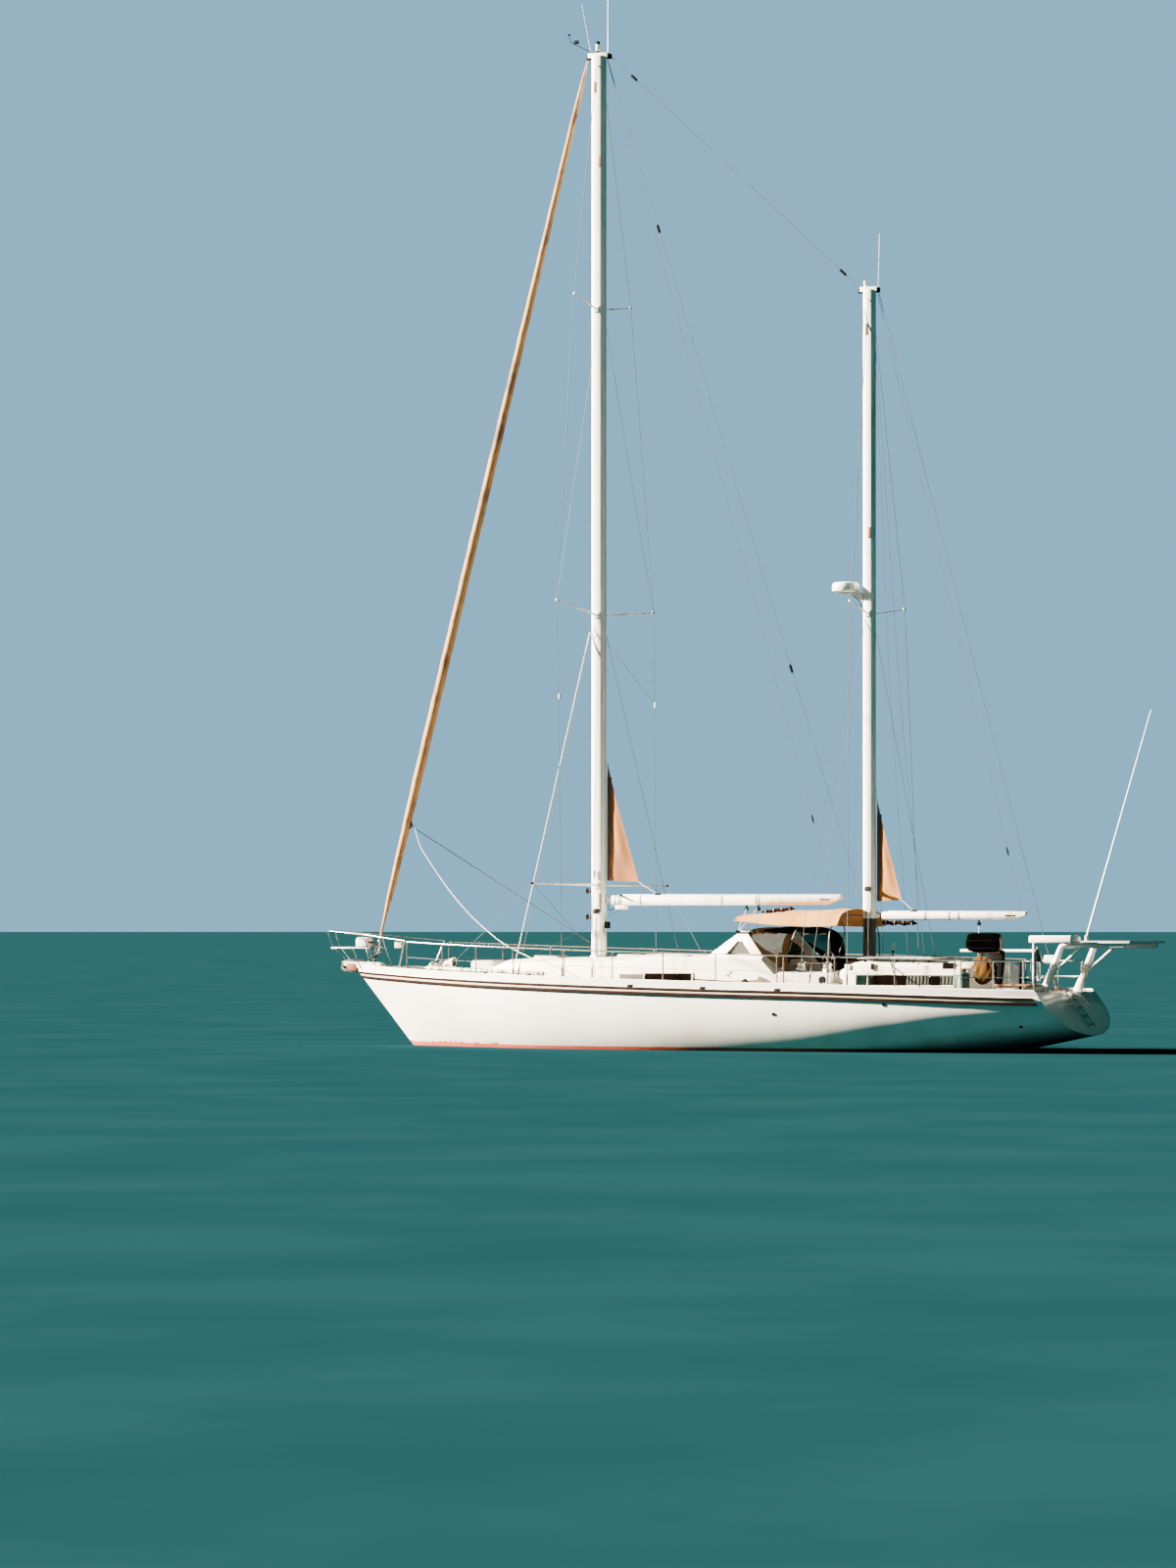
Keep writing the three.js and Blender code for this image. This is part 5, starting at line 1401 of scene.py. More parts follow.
# %% Booms
WEBBING = speckled("webbing", [(0.3, 0.27, 0.22), (0.42, 0.38, 0.31)], 40, (0.7, 0.9), (260, 0.4, 0.001))
BOOMS = [  # name, pin x, axis z, radius, aft end x, strap places, block places
    ("main_boom", 2.38, 2.97, 0.105, -2.77, (1.6, -0.205, -0.96, -1.02), (-0.72, -0.98)),
    ("mizzen_boom", -3.545, 2.65, 0.0825, -6.7, (-4.6, -5.1, -5.3), (-5.71,)),
]
BLOCK = [(0, -0.022), (0.03, -0.022), (0.042, -0.012), (0.042, 0.012), (0.03, 0.022), (0, 0.022)]
for name, pin, axis_z, radius, end, straps, hanging in BOOMS:
    copy_of(name, MAST_PAINT, 0.004, smooth=36)
    top = axis_z + radius
    track = block(f"{name}_track", (end + 0.16, -0.014, top - 0.004), (pin - 0.25, 0.014, top + 0.012), 0.003)
    finished(track, ALUMINIUM, name)
    bands = []
    for x in straps:
        profile = [(0, -0.02), (radius + 0.004, -0.018), (radius + 0.005, 0.018), (0, 0.02)]
        bands.append(turned("band", profile, (x, 0, axis_z), (1, 0.12, 0), 32))
    group(f"{name}_straps", bands, WEBBING, name)
    fittings = []
    under = axis_z - radius
    for x in hanging:
        fittings.append(turned("block", BLOCK, (x, 0, under - 0.075), (0, 1, 0), 20))
        fittings.append(block("strap", (x - 0.012, -0.016, under - 0.11), (x + 0.012, 0.016, under + 0.01)))
    fittings.append(turned("sheave", BLOCK, (end + 0.06, 0, axis_z + radius * 0.35), (0, 1, 0), 20))
    low, high = (end + 0.2, radius - 0.006, axis_z - 0.012), (end + 0.42, radius + 0.004, axis_z + 0.014)
    fittings.append(block("mark", low, high))
    low, high = (pin - 0.16, -0.026, axis_z - 0.05), (pin - 0.07, 0.026, axis_z + 0.05)
    fittings.append(block("toggle", low, high, 0.01))
    group(f"{name}_fittings", fittings, BLACK_RUBBER, name)
furling_case = block("boom_furling_case", (1.93, -0.06, 2.785), (2.18, 0.06, 2.875), 0.02, 3)
finished(furling_case, WHITE_PLASTIC, "main_boom")
cable = curved_path([(2.2, 0.03, 2.83), (2.27, 0.04, 2.77), (2.33, 0.05, 2.8), (2.34, 0.05, 2.9)], 5)
finished(tube("boom_motor_lead", cable, 0.008), BLACK_RUBBER, "main_boom")
LIFTS = [  # mast, upper end, lower end, place and way of the splice
    ("main", (2.38, 0, 19.97), (-2.6, 0, 3.08), (-2.16, 0, 4.57), (-4.98, 0, -16.89)),
    ("mizzen", (-3.56, 0, 14.9), (-6.6, 0, 2.74), (-6.31, 0, 3.9), (-3.04, 0, -12.21)),
]
SPLICE = [(0, -0.09), (0.012, -0.08), (0.018, 0), (0.012, 0.08), (0, 0.09)]
for mast, upper, lower, _, _ in LIFTS:
    wire_line(f"{mast}_topping_lift", [upper, lower], 0.005, DARK_ROPE, body=f"{mast}_boom")
for mast, _, _, place, way in LIFTS:
    finished(turned(f"{mast}_lift_splice", SPLICE, place, way, 12), BLACK_RUBBER, f"{mast}_boom")
print("booms done")

# %% [markdown]
# Each boom's sheet runs from under the boom down to a block on the boat. On the boat the upper end swings
# with the boom and the lower end stays; here each rope is a straight line, set on no body.

# %% Boom sheets
def boom_sheet(name, lower, upper):
    path = [Vector(lower).lerp(Vector(upper), i / 16) for i in range(17)]
    piece = tube(name, path, 0.006)
    select_only(piece)
    piece.data.materials.append(WHITE_ROPE)
    bpy.ops.object.shade_smooth_by_angle(angle=math.radians(SOFT_ANGLE))
    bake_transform(piece)


SCREEN_BLOCK = Vector((-0.96, 0.96, 2.33))
boom_sheet("main_sheet_fall", SCREEN_BLOCK, (-0.72, 0, 2.8))
boom_sheet("main_sheet_return", SCREEN_BLOCK - Vector((0.02, 0, 0)), (-0.96, 0, 2.8))
boom_sheet("mizzen_sheet_fall", (-5.69, 0, 1.84), (-5.71, 0, 2.5))
blocks = [turned("block", BLOCK, place, (0, 1, 0), 20) for place in (SCREEN_BLOCK, (-5.69, 0, 1.82))]
group("sheet_blocks", blocks, BLACK_RUBBER)
print("boom sheets hang from", SCREEN_BLOCK.z, "m")

# %% [markdown]
# Sails. The headsail is rolled round its stay, so it is a long roll with the spiral step of its last wrap.
# The main and mizzen are rolled inside their masts, and only their tan corners stand out over the booms:
# thin cloth, pulled between the mast slot and the outhaul, with slack folds along the leech.

# %% Sailcloth
def sailcloth(name, base, dark):
    finish = Finish(name, 0.85, Sheen_Weight=0.15)
    crease = finish.noise(2.2, 8.0, finish.stretched((1.0, 1.0, 0.6), (0, 0.5, 0)))
    finish.colour(
        finish.ramp(crease, [(0.32, dark), (0.5, base), (0.75, tuple(min(1, c * 1.12) for c in base))]),
    )
    weave = finish.math("ADD", finish.waves(130.0, "X"), finish.waves(130.0, "Z"))
    finish.roughness(crease, 0.75, 0.95)
    finish.bump(finish.math("ADD", weave, finish.times(crease, 14.0)), 0.35, 0.004)
    return finish.material


TAN_CLOTH = sailcloth("tan_sailcloth", (0.3, 0.1, 0.012), (0.17, 0.05, 0.006))
PALE_TAN_CLOTH = sailcloth("pale_tan_sailcloth", (0.45, 0.17, 0.02), (0.3, 0.1, 0.012))
ROLL_CLOTH = sailcloth("rolled_sailcloth", (0.45, 0.22, 0.065), (0.1, 0.04, 0.012))
LUFF_SHADE_CLOTH = sailcloth("brown_sailcloth", (0.085, 0.04, 0.02), (0.045, 0.02, 0.01))
GENOA = [  # share of the stay from its top, radius of the roll
    (0, 0.012), (0.02, 0.03), (0.06, 0.052), (0.45, 0.086), (0.8, 0.09), (0.93, 0.062), (0.957, 0.034),
    (0.985, 0.016),
]
WRAP_STEP = 0.08
GENOA_RINGS = 260
GENOA_TURNS = 22
roll_side = Vector((0, 1, 0))
roll_fore = stay_way.cross(roll_side).normalized()
rings = []
for i in range(GENOA_RINGS + 1):
    share = GENOA[-1][0] * i / GENOA_RINGS
    middle = STAY_TOP.lerp(STAY_FOOT, share)
    ring = []
    for k in range(24):
        turn = k / 24
        radius = at(GENOA, share, 1) * (1 + WRAP_STEP * ((turn + share * GENOA_TURNS) % 1.0))
        out = roll_fore * math.cos(turn * math.tau) + roll_side * math.sin(turn * math.tau)
        ring.append(middle + out * radius)
    rings.append(ring)
roll = lofted("headsail_roll", rings)
finished(roll, ROLL_CLOTH, stands_for=["furled_genoa"], smooth=50)
CLEW = [(6.9, 4.74), (6.85, 4.56), (6.85, 4.5), (7.0, 4.36)]
clew = lofted("headsail_clew", [[(x, y, z) for x, z in CLEW] for y in (-0.007, 0.007)])
finished(clew, TAN_CLOTH)
RING = [(0.012, -0.01), (0.026, -0.01), (0.026, 0.01), (0.012, 0.01), (0.012, -0.01)]
ring = turned("headsail_clew_ring", RING, (6.868, 0, 4.53), (0, 1, 0), 20)
finished(ring, STEEL)
print("headsail roll:", len(roll.data.polygons), "faces")

# %% [markdown]
# Each sail corner is a triangle of cloth. Its rows of points run from the mast slot to the leech, and the
# folds between them die out towards the corners. The slab's two faces count once in the cloth's area.

# %% Sail corners
def cloth_area(piece):
    return sum(face.area for face in piece.data.polygons) / 2


CORNER_ROWS = 24
CORNER_COLUMNS = 14


def sail_corner(name, node, body, luff_x, foot_z, head_z, clew, cloth, belly):
    """Cloth between the mast slot and the clew, with folds that die out at its corners."""
    width, height = luff_x - clew[0], head_z - foot_z
    rings = []
    for row in range(CORNER_ROWS + 1):
        up = row / CORNER_ROWS
        reach = width * (1 - up) ** 1.08
        ring = []
        for column in range(CORNER_COLUMNS + 1):
            out = column / CORNER_COLUMNS
            z = foot_z + height * up + (clew[1] - foot_z) * out * (1 - up)
            fold = math.sin(out * 9 + up * 7) * 0.35 + math.sin(out * 4.0 - up * 5 + 1)
            slack = belly * fold * math.sin(out * math.pi * 0.9) * (1 - up * 0.6)
            ring.append((luff_x - reach * out, slack, z))
        rings.append(ring)
    piece = lofted(name, rings, closed=False, capped=False)
    modify(piece, "SOLIDIFY", thickness=0.004, offset=0)
    finished(piece, cloth, body, stands_for=[node], smooth=SOFT_ANGLE)
    # painted shade: a dark brown strip of cloth along the luff, beside the mast slot, stands in for the shade
    # there
    rows = [[(luff_x + 0.006, 0, z), (luff_x - 0.09, 0, z)] for z in (foot_z, head_z - 0.3)]
    band = lofted(name + "_luff_shade", rows, closed=False, capped=False)
    modify(band, "SOLIDIFY", thickness=0.014, offset=0)
    finished(band, LUFF_SHADE_CLOTH, body)
    return piece


MAIN_CLEW, MIZZEN_CLEW = (1.672, 3.34), (-4.073, 2.96)
MAIN = ("mainsail_clew", "main_boom", 2.372, 3.37, 5.76, MAIN_CLEW, TAN_CLOTH, 0.022)
MIZZEN = ("mizzen_sail_clew", "mizzen_boom", -3.553, 2.935, 4.95, MIZZEN_CLEW, PALE_TAN_CLOTH, 0.014)
main_corner = sail_corner("mainsail_corner", *MAIN)
mizzen_corner = sail_corner("mizzen_corner", *MIZZEN)
for mast, (x, z), (car_x, car_z) in (
    ("main", MAIN_CLEW, (1.25, 3.085)), ("mizzen", MIZZEN_CLEW, (-4.33, 2.74)),
):
    name, body = f"{mast}_outhaul", f"{mast}_boom"
    wire_line(name, [(x, 0, z), (car_x, 0, car_z)], 0.007, WHITE_ROPE, body=body)
    low, high = (car_x - 0.06, -0.025, car_z - 0.015), (car_x + 0.06, 0.025, car_z + 0.025)
    finished(block(name + "_car", low, high, 0.008), BLACK_RUBBER, body)
print("sail corners:", round(cloth_area(main_corner), 2), "and", round(cloth_area(mizzen_corner), 2), "m2")

# %% [markdown]
# The radar is a shallow white drum with a rounded lid, on a bracket ahead of the mizzen mast. It is turned
# from its profile. A seam runs round it where the lid is screwed on.

# %% Radar
RADOME = [
    (0, -0.095), (0.225, -0.095), (0.262, -0.075), (0.275, -0.045), (0.275, -0.004), (0.269, 0.0),
    (0.269, 0.006), (0.275, 0.01), (0.272, 0.05), (0.25, 0.085), (0.2, 0.1), (0.12, 0.108), (0, 0.112),
]
radome = turned("radar_dome", RADOME, (-2.88, 0, 9.14), steps=40)
finished(radome, WHITE_PLASTIC, stands_for=["radar"])
outline = [(-3.25, 8.84), (-3.25, 9.01), (-3.1, 9.055), (-2.72, 9.045), (-2.72, 9.02), (-3.05, 8.99)]
bracket = []
for y0 in (-0.06, 0.052):
    bracket.append(lofted("plate", [[(x, y, z) for x, z in outline] for y in (y0, y0 + 0.008)]))
bracket.append(block("shelf", (-3.08, -0.06, 9.035), (-2.72, 0.06, 9.045), 0.002))
bracket.append(block("pad", (-3.258, -0.075, 8.83), (-3.25, 0.075, 9.03), 0.003))
group("radar_bracket", bracket, MAST_PAINT)
lead = curved_path([(-2.95, 0.02, 9.04), (-3.05, 0.04, 8.97), (-3.2, 0.05, 8.85), (-3.25, 0.045, 8.7)], 5)
finished(tube("radar_lead", lead, 0.009), BLACK_RUBBER)
print("radar done")

# %% [markdown]
# The windscreen is a moulded white frame over the companionway, with clear panes set in from behind. The
# side panes are three-cornered. A pane is a thin slab between two outlines that follow the frame's lean.

# %% Windscreen
def clear_pane(name, tint, through):
    finish = Finish(name, 0.05, Transmission_Weight=through, IOR=1.2)
    haze = finish.noise(4.0, 5.0)
    finish.colour(finish.ramp(haze, [(0.35, tuple(c * 0.8 for c in tint)), (0.7, tint)]))
    finish.roughness(haze, 0.03, 0.14)
    finish.bump(haze, 0.04, 0.004)
    return finish.material


CLEAR_PANE = clear_pane("screen_glass", (0.1, 0.1, 0.085), 0.4)
CLEAR_VINYL = clear_pane("clear_vinyl", (0.42, 0.46, 0.45), 0.93)
copy_of("windscreen_frame", GELCOAT, 0.012, 3)


def screen_side_y(x, z):
    """Distance of the windscreen's side from the centre line: it leans in, and in more near the front."""
    lean = at([(-1.3, 0), (-1.05, 0.0825), (-0.48, 0.33)], x, 1)
    return 1.345 - (z - 1.85) * 0.289 - lean


for side, word in SIDES:
    outline = [(-0.74, 1.875), (-1.05, 2.17), (-1.2, 2.17), (-1.48, 1.875)]
    rings = [[(x, side * (screen_side_y(x, z) - back), z) for x, z in outline] for back in (0.022, 0.03)]
    finished(lofted(f"screen_side_{word}", rings), CLEAR_PANE)
for number, middle in enumerate((-0.52, 0, 0.52)):
    rings = []
    face = [(-0.24, 1.9), (0.24, 1.9), (0.24, 2.205), (-0.24, 2.205)]
    for back in (0.02, 0.028):
        rings.append([(-0.34 - (z - 1.85) * 1.568 - back, middle + y, z - back * 0.6) for y, z in face])
    finished(lofted(f"screen_front_{number}", rings), CLEAR_PANE)
HAND_RAIL = [(-1.4, 1.16, 2.29), (-1.36, 1.16, 2.345), (-1.1, 1.12, 2.345), (-1.06, 0.6, 2.36)]
finished(tube("screen_hand_rail", rounded_path(mirrored(HAND_RAIL), 0.05), TUBE, 12), STEEL)
print("windscreen done")

# %% [markdown]
# Dodger and bimini are canvas stretched over hoops. Each is one curved sheet: arches are drawn across the
# boat, with smooth steps between the hoops and a slight sag in each bay, and the sheet then gets its
# thickness. The dodger's sides are clear vinyl windows sewn into brown canvas.

# %% Canvas
def canvas(name, base, dark, seam, pitch):
    """Woven cloth with a line of stitches at every pitch along the boat."""
    finish = Finish(name, 0.9, Specular_IOR_Level=0.0)
    sun = finish.noise(1.6, 6.0)
    weave = finish.math("ADD", finish.waves(95.0, "X"), finish.waves(95.0, "Y"))
    stitches = finish.below(finish.waves(WAVE_PERIOD / pitch, "X", profile="SAW"), 0.02)
    cloth = finish.ramp(sun, [(0.3, dark), (0.6, base)])
    finish.colour(finish.mix(finish.times(stitches, 0.6), cloth, seam))
    finish.roughness(sun, 0.8, 0.95)
    finish.bump(finish.math("ADD", weave, finish.times(sun, 10.0)), 0.4, 0.003)
    return finish.material


PEACH_CANVAS = canvas("peach_canvas", (0.5, 0.25, 0.085), (0.4, 0.19, 0.06), (0.25, 0.12, 0.05), 0.75)
BROWN_CANVAS = canvas(
    "brown_canvas", (0.011, 0.0065, 0.0025), (0.005, 0.003, 0.0012), (0.004, 0.0025, 0.0015), 0.5,
)
RED_BROWN_ROLL = canvas(
    "red_brown_roll", (0.018, 0.006, 0.004), (0.008, 0.003, 0.002), (0.003, 0.0015, 0.001), 0.11,
)


def arch(x, half, foot, shoulder, top):
    """One hoop's line across the boat, from the port foot to the starboard foot."""
    rise = top - shoulder
    port = [(half, foot), (half * 0.97, shoulder), (half * 0.8, shoulder + rise * 0.62)]
    port.append((half * 0.45, top - rise * 0.1))
    line = [*port, (0, top), *[(-y, z) for y, z in reversed(port)]]
    return curved_path([(x, y, z) for y, z in line], 5)


CANVAS_THICK = 0.006


def canopy(name, hoops, material, sag, steps):
    """Canvas over hoops: the piece, its flat size and its arches."""
    fair = curved_path(hoops, steps)
    rings = []
    for number, hoop in enumerate(fair):
        drop = sag * math.sin(number % steps / steps * math.pi)
        rings.append([p - Vector((0, 0, drop * (1 - (p.y / hoop[1]) ** 4))) for p in arch(*hoop)])
    piece = lofted(name, rings, closed=False, capped=False)
    modify(piece, "SOLIDIFY", thickness=CANVAS_THICK, offset=0)
    width = max(line_length(ring) for ring in rings)
    length = max(line_length([ring[k] for ring in rings]) for k in range(0, len(rings[0]), 4))
    finished(piece, material, stands_for=[name.split("_")[0]], smooth=SOFT_ANGLE)
    return piece, (width, length), rings


def edge_roll(name, rings, radius, material):
    """Piping along the four edges of a canopy."""
    edges = [rings[0], rings[-1], [r[0] for r in rings], [r[-1] for r in rings]]
    return group(name, [tube("edge", e, radius) for e in edges], material, "boat", "brown_canvas")


DODGER = [  # x, half width, foot, shoulder, top
    (-1.325, 1.24, 2.3, 2.32, 2.42), (-1.7, 1.33, 1.9, 2.16, 2.44), (-2.25, 1.4, 1.57, 2.05, 2.43),
]
BIMINI = [
    (-1.0, 1.23, 2.56, 2.572, 2.69), (-1.9, 1.27, 2.47, 2.5, 2.76), (-2.9, 1.27, 2.44, 2.48, 2.79),
    (-3.215, 1.23, 2.46, 2.5, 2.79),
]
WINDOW_FORE = -1.43
WINDOW_TOP = 2.3
WINDOW_FOOT = [(-2.07, 1.9), (-1.75, 1.96), (WINDOW_FORE, 2.19)]  # x, height of the lower edge
dodger, dodger_flat, dodger_rings = canopy("dodger_canvas", DODGER, BROWN_CANVAS, 0.01, 8)
dodger.data.materials.append(CLEAR_VINYL)
clear = 0
for face in dodger.data.polygons:
    x, y, z = face.center
    foot = at(WINDOW_FOOT, x, 1)
    back = -2.1 if y > 0 else -1.95  # the starboard side has the wider brown border
    if abs(y) > 0.9 and back < x < WINDOW_FORE and foot < z < WINDOW_TOP:
        face.material_index = 1
        clear += 1
edge_roll("dodger_piping", dodger_rings, 0.009, BROWN_CANVAS)
bimini, bimini_flat, bimini_rings = canopy("bimini_canvas", BIMINI, PEACH_CANVAS, 0.02, 6)
edge_roll("bimini_piping", bimini_rings, 0.008, PEACH_CANVAS)
for word, flat in (("dodger", dodger_flat), ("bimini", bimini_flat)):
    print(word, [round(size, 2) for size in flat], "m")
print("clear faces:", clear)

# %% [markdown]
# Under the canvas stand the hoops, bent from tube, with a low rail on each side. A rolled brown awning is
# lashed on top, and another hangs under the mizzen boom. A roll is a lumpy tube with cords round it.

# %% Hoops and rolled awnings
HOOPS = [(-2.35, 0.3, 2.4), (-3.06, 0.0, 2.38)]  # x, lean of the foot forward, height of the shoulder
frame_tubes = []
for x, lean, shoulder in HOOPS:
    port = [(x + lean, 1.3, 1.51), (x, 1.23, shoulder), (x, 0.65, 2.66)]
    frame_tubes.append(tube("hoop", rounded_path(mirrored(port), 0.2), 0.014, 12))
front_bow = [(-1.03, 1.2, 2.57), (-1.03, 0.55, 2.655)]
frame_tubes.append(tube("front_bow", rounded_path(mirrored(front_bow), 0.2), 0.012, 12))
for side in (1, -1):
    ends = [(-2.35 + 0.3 * 0.756, side * 1.282, 1.72), (-3.06, side * 1.282, 1.72)]
    frame_tubes.append(tube("rail", ends, 0.01, 12))
    frame_tubes += [foot_plate((x + lean, side * 1.3, 1.51 if x > -3 else 1.5)) for x, lean, _ in HOOPS]
    for top, foot in ((-1.03, -1.32), (-1.2, -1.4), (-1.5, -1.5)):
        frame_tubes.append(tube("stay", [(top, side * 1.2, 2.56), (foot, side * 1.2, 2.3)], 0.005, 6))
group("bimini_hoops", frame_tubes, POST_STEEL, stands_for=["bimini_frame"])


LASHINGS = 4


def cloth_roll(name, start, end, radius, body):
    start, end = Vector(start), Vector(end)
    along = (end - start).normalized()
    rings = []
    for i in range(41):
        share = i / 40
        lump = 1 + 0.12 * math.sin(share * 23) + 0.07 * math.sin(share * 51 + 1)
        pinch = 0.35 + 0.65 * min(1, 8 * share, 8 * (1 - share))
        centre = start.lerp(end, share) + Vector((0, 0, 0.15 * radius * math.sin(share * 17)))
        rings.append(arm_ring(centre, along, radius * lump * pinch, 0.85))
    finished(lofted(name, rings), RED_BROWN_ROLL, body, smooth=SOFT_ANGLE)
    ties = []
    for i in range(LASHINGS):
        place = start.lerp(end, (i + 0.5) / LASHINGS)
        circle = arm_ring(place, along, radius * 1.12, 0.9)
        ties.append(tube("tie", circle, 0.004, closed=True))
    group(name + "_ties", ties, WHITE_ROPE, body)


cloth_roll("bimini_awning_roll", (-1.2, 0.3, 2.725), (-1.9, 0.3, 2.8), 0.042, "boat")
cloth_roll("boom_awning_roll", (-3.66, 0.0, 2.515), (-4.4, 0.0, 2.505), 0.052, "mizzen_boom")
print("hoops and rolls done")

# %% [markdown]
# The steering wheel has a leather-wrapped rim, six spokes and a hub, and turns just aft of a white pedestal
# with a compass on top. The cockpit winches stand on the coamings, with turns of rope round each. Under the
# canvas are a dark console, boards along the coamings and a seat.

# %% Cockpit
LEATHER = speckled(
    "wheel_leather", [(0.02, 0.018, 0.016), (0.05, 0.042, 0.035)], 40, (0.5, 0.7), (300, 0.4, 0.001),
)
WHEEL = Vector((-2.52, 0, 1.56))
WHEEL_RADIUS = 0.38
copy_of("steering_pedestal", WHITE_PLASTIC, 0.012, 3)
clear_selection()
bpy.ops.mesh.primitive_torus_add(
    location=WHEEL, rotation=(0, math.pi / 2, 0), major_radius=WHEEL_RADIUS, minor_radius=0.014,
    major_segments=72, minor_segments=12,
)
wheel_rim = bpy.context.object
wheel_rim.name = "wheel_rim"
finished(wheel_rim, LEATHER, "steering_wheel")
hub = [(0, -0.03), (0.045, -0.03), (0.05, -0.02), (0.05, 0.01), (0.03, 0.03), (0, 0.034)]
spokes = [turned("hub", hub, WHEEL, (1, 0, 0), 24)]
for i in range(6):
    angle = i * math.pi / 3
    reach = Vector((0, math.cos(angle), math.sin(angle))) * (WHEEL_RADIUS - 0.004)
    spokes.append(tube("spoke", [WHEEL, WHEEL + reach], 0.008))
group("wheel_spokes", spokes, STEEL, "steering_wheel", stands_for=["steering_wheel"])
compass = [(0, 0), (0.075, 0), (0.078, 0.02), (0.07, 0.05), (0.045, 0.08), (0, 0.095)]
pedestal_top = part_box("steering_pedestal")[1]
turned_compass = turned("compass", compass, (-2.37, 0, pedestal_top[2] - 0.004), steps=28)
finished(turned_compass, BLACK_RUBBER)

DRUM = [  # radius and height of a coaming winch
    (0, 0), (0.1, 0), (0.102, 0.025), (0.088, 0.045), (0.081, 0.075), (0.08, 0.15), (0.086, 0.195),
    (0.094, 0.215), (0.094, 0.24), (0.078, 0.256), (0.04, 0.262), (0.04, 0.285), (0.03, 0.29), (0, 0.29),
]
rope_turns = []
COAMING_TOP = 1.505
WINCH_OUT = 1.2
ROPE_RADIUS = 0.0075
for end, x, squat in (("fore", -2.45, 1.0), ("aft", -3.01, 0.84)):
    for side, word in SIDES:
        profile = [(r, h * squat) for r, h in DRUM]
        place = (x, side * WINCH_OUT, COAMING_TOP)
        finished(turned(f"coaming_winch_{end}_{word}", profile, place, steps=32), STEEL)
        for turn in range(3):
            z = COAMING_TOP + (0.085 + 0.016 * turn) * squat
            angles = [k * math.tau / 28 for k in range(28)]
            circle = [(x + 0.089 * math.cos(a), side * WINCH_OUT + 0.089 * math.sin(a), z) for a in angles]
            rope_turns.append(tube("turn", circle, ROPE_RADIUS, closed=True))
group("winch_rope_turns", rope_turns, WHITE_ROPE)

DARK_TEAK = wood("dark_teak", [(0.004, 0.002, 0.001), (0.008, 0.004, 0.002), (0.014, 0.007, 0.004)])
pod = [block("console", (-1.87, 0.5, 1.88), (-1.36, 0.94, 1.985), 0.04, 4)]
pod += [tube("stalk", [(x, 0.9, 1.9), (x, 1.13, 1.5)], 0.02, 10) for x in (-1.45, -1.78)]
pod.append(block("screen", (-2.2, 0.55, 1.8), (-1.92, 0.9, 1.92), 0.03, 4))
pod.append(tube("stalk", [(-2.05, 0.85, 1.82), (-2.05, 1.13, 1.5)], 0.018, 10))
group("instrument_console", pod, BLACK_RUBBER)
# painted shade, in part: the boards along the coamings are near black, the starboard one tall; they stand for
# dark cloth on the coaming and for the shade under the dodger
for side, word in reversed(SIDES):
    low_y, high_y = sorted((side * 1.09, side * 1.13))
    top = 1.82 if side < 0 else 1.56
    board = block(f"coaming_shade_board_{word}", (-2.93, low_y, 1.44), (-1.32, high_y, top), 0.012, 3)
    finished(board, DARK_TEAK)
# painted shade: the seat is near black, standing in for the shade under the canvas
finished(block("helm_seat", (-2.85, -0.95, 1.32), (-2.3, -0.52, 1.75), 0.07, 5), DARK_TEAK)
print("cockpit done")

# %% [markdown]
# Small things on the coachroof and the side decks: an oval moulding and a smaller one on the coaming's
# side, teak grab rails, a trim along the coachroof's foot, a wedge-shaped block, fairlead pads in the
# bulwark, a box and a sheave by the gate, and three fenders that lie on deck.

# %% Side deck
def oval_plate(name, centre, half_long, half_high, tilt):
    """A domed oval that stands on the coaming's side."""
    rings = []
    for size, out in ((1.0, 0.002), (1.0, 0.045), (0.94, 0.07), (0.78, 0.072), (0.7, 0.04), (0.4, 0.045)):
        ring = []
        for k in range(40):
            angle = k * math.tau / 40
            x = centre[0] + half_long * size * math.cos(angle)
            z = centre[1] + half_high * size * math.sin(angle) + tilt * (x - centre[0])
            ring.append((x, wall_y(FORE_ROOF, x, z) + out, z))
        rings.append(ring)
    finished(lofted(name, rings), WHITE_PLASTIC)


oval_plate("oval_moulding", (-1.36, 1.455), 0.34, 0.075, 0.06)
oval_plate("oval_moulding_small", (-0.93, 1.53), 0.12, 0.05, 0.02)
grab_rails = []
for side in (1, -1):
    for x0, x1, z0, z1 in ((0.42, -0.1, 1.79, 1.865), (1.45, 1.1, 1.74, 1.765)):
        y0 = wall_y(FORE_ROOF, x0, 1.7) - 0.16
        y1 = wall_y(FORE_ROOF, x1, 1.7) - 0.16
        line = [(x0, side * y0, z0 - 0.03), (x0 - 0.04, side * y0, z0)]
        line += [(x1 + 0.04, side * y1, z1), (x1, side * y1, z1 - 0.03)]
        grab_rails.append(tube("rail", rounded_path(line, 0.03), 0.014, 10))
group("roof_grab_rails", grab_rails, TEAK_TRIM)

foot_trim = []
for side in (1, -1):
    places = [(-0.2 - 0.245 * i, 1.4 - 0.0125 * i) for i in range(13)]
    line = [(x, side * (wall_y(FORE_ROOF, x, 1.4) + 0.012), z) for x, z in places]
    foot_trim.append(tube("trim", line, 0.011))
group("coachroof_foot_trim", foot_trim, TEAK_TRIM)

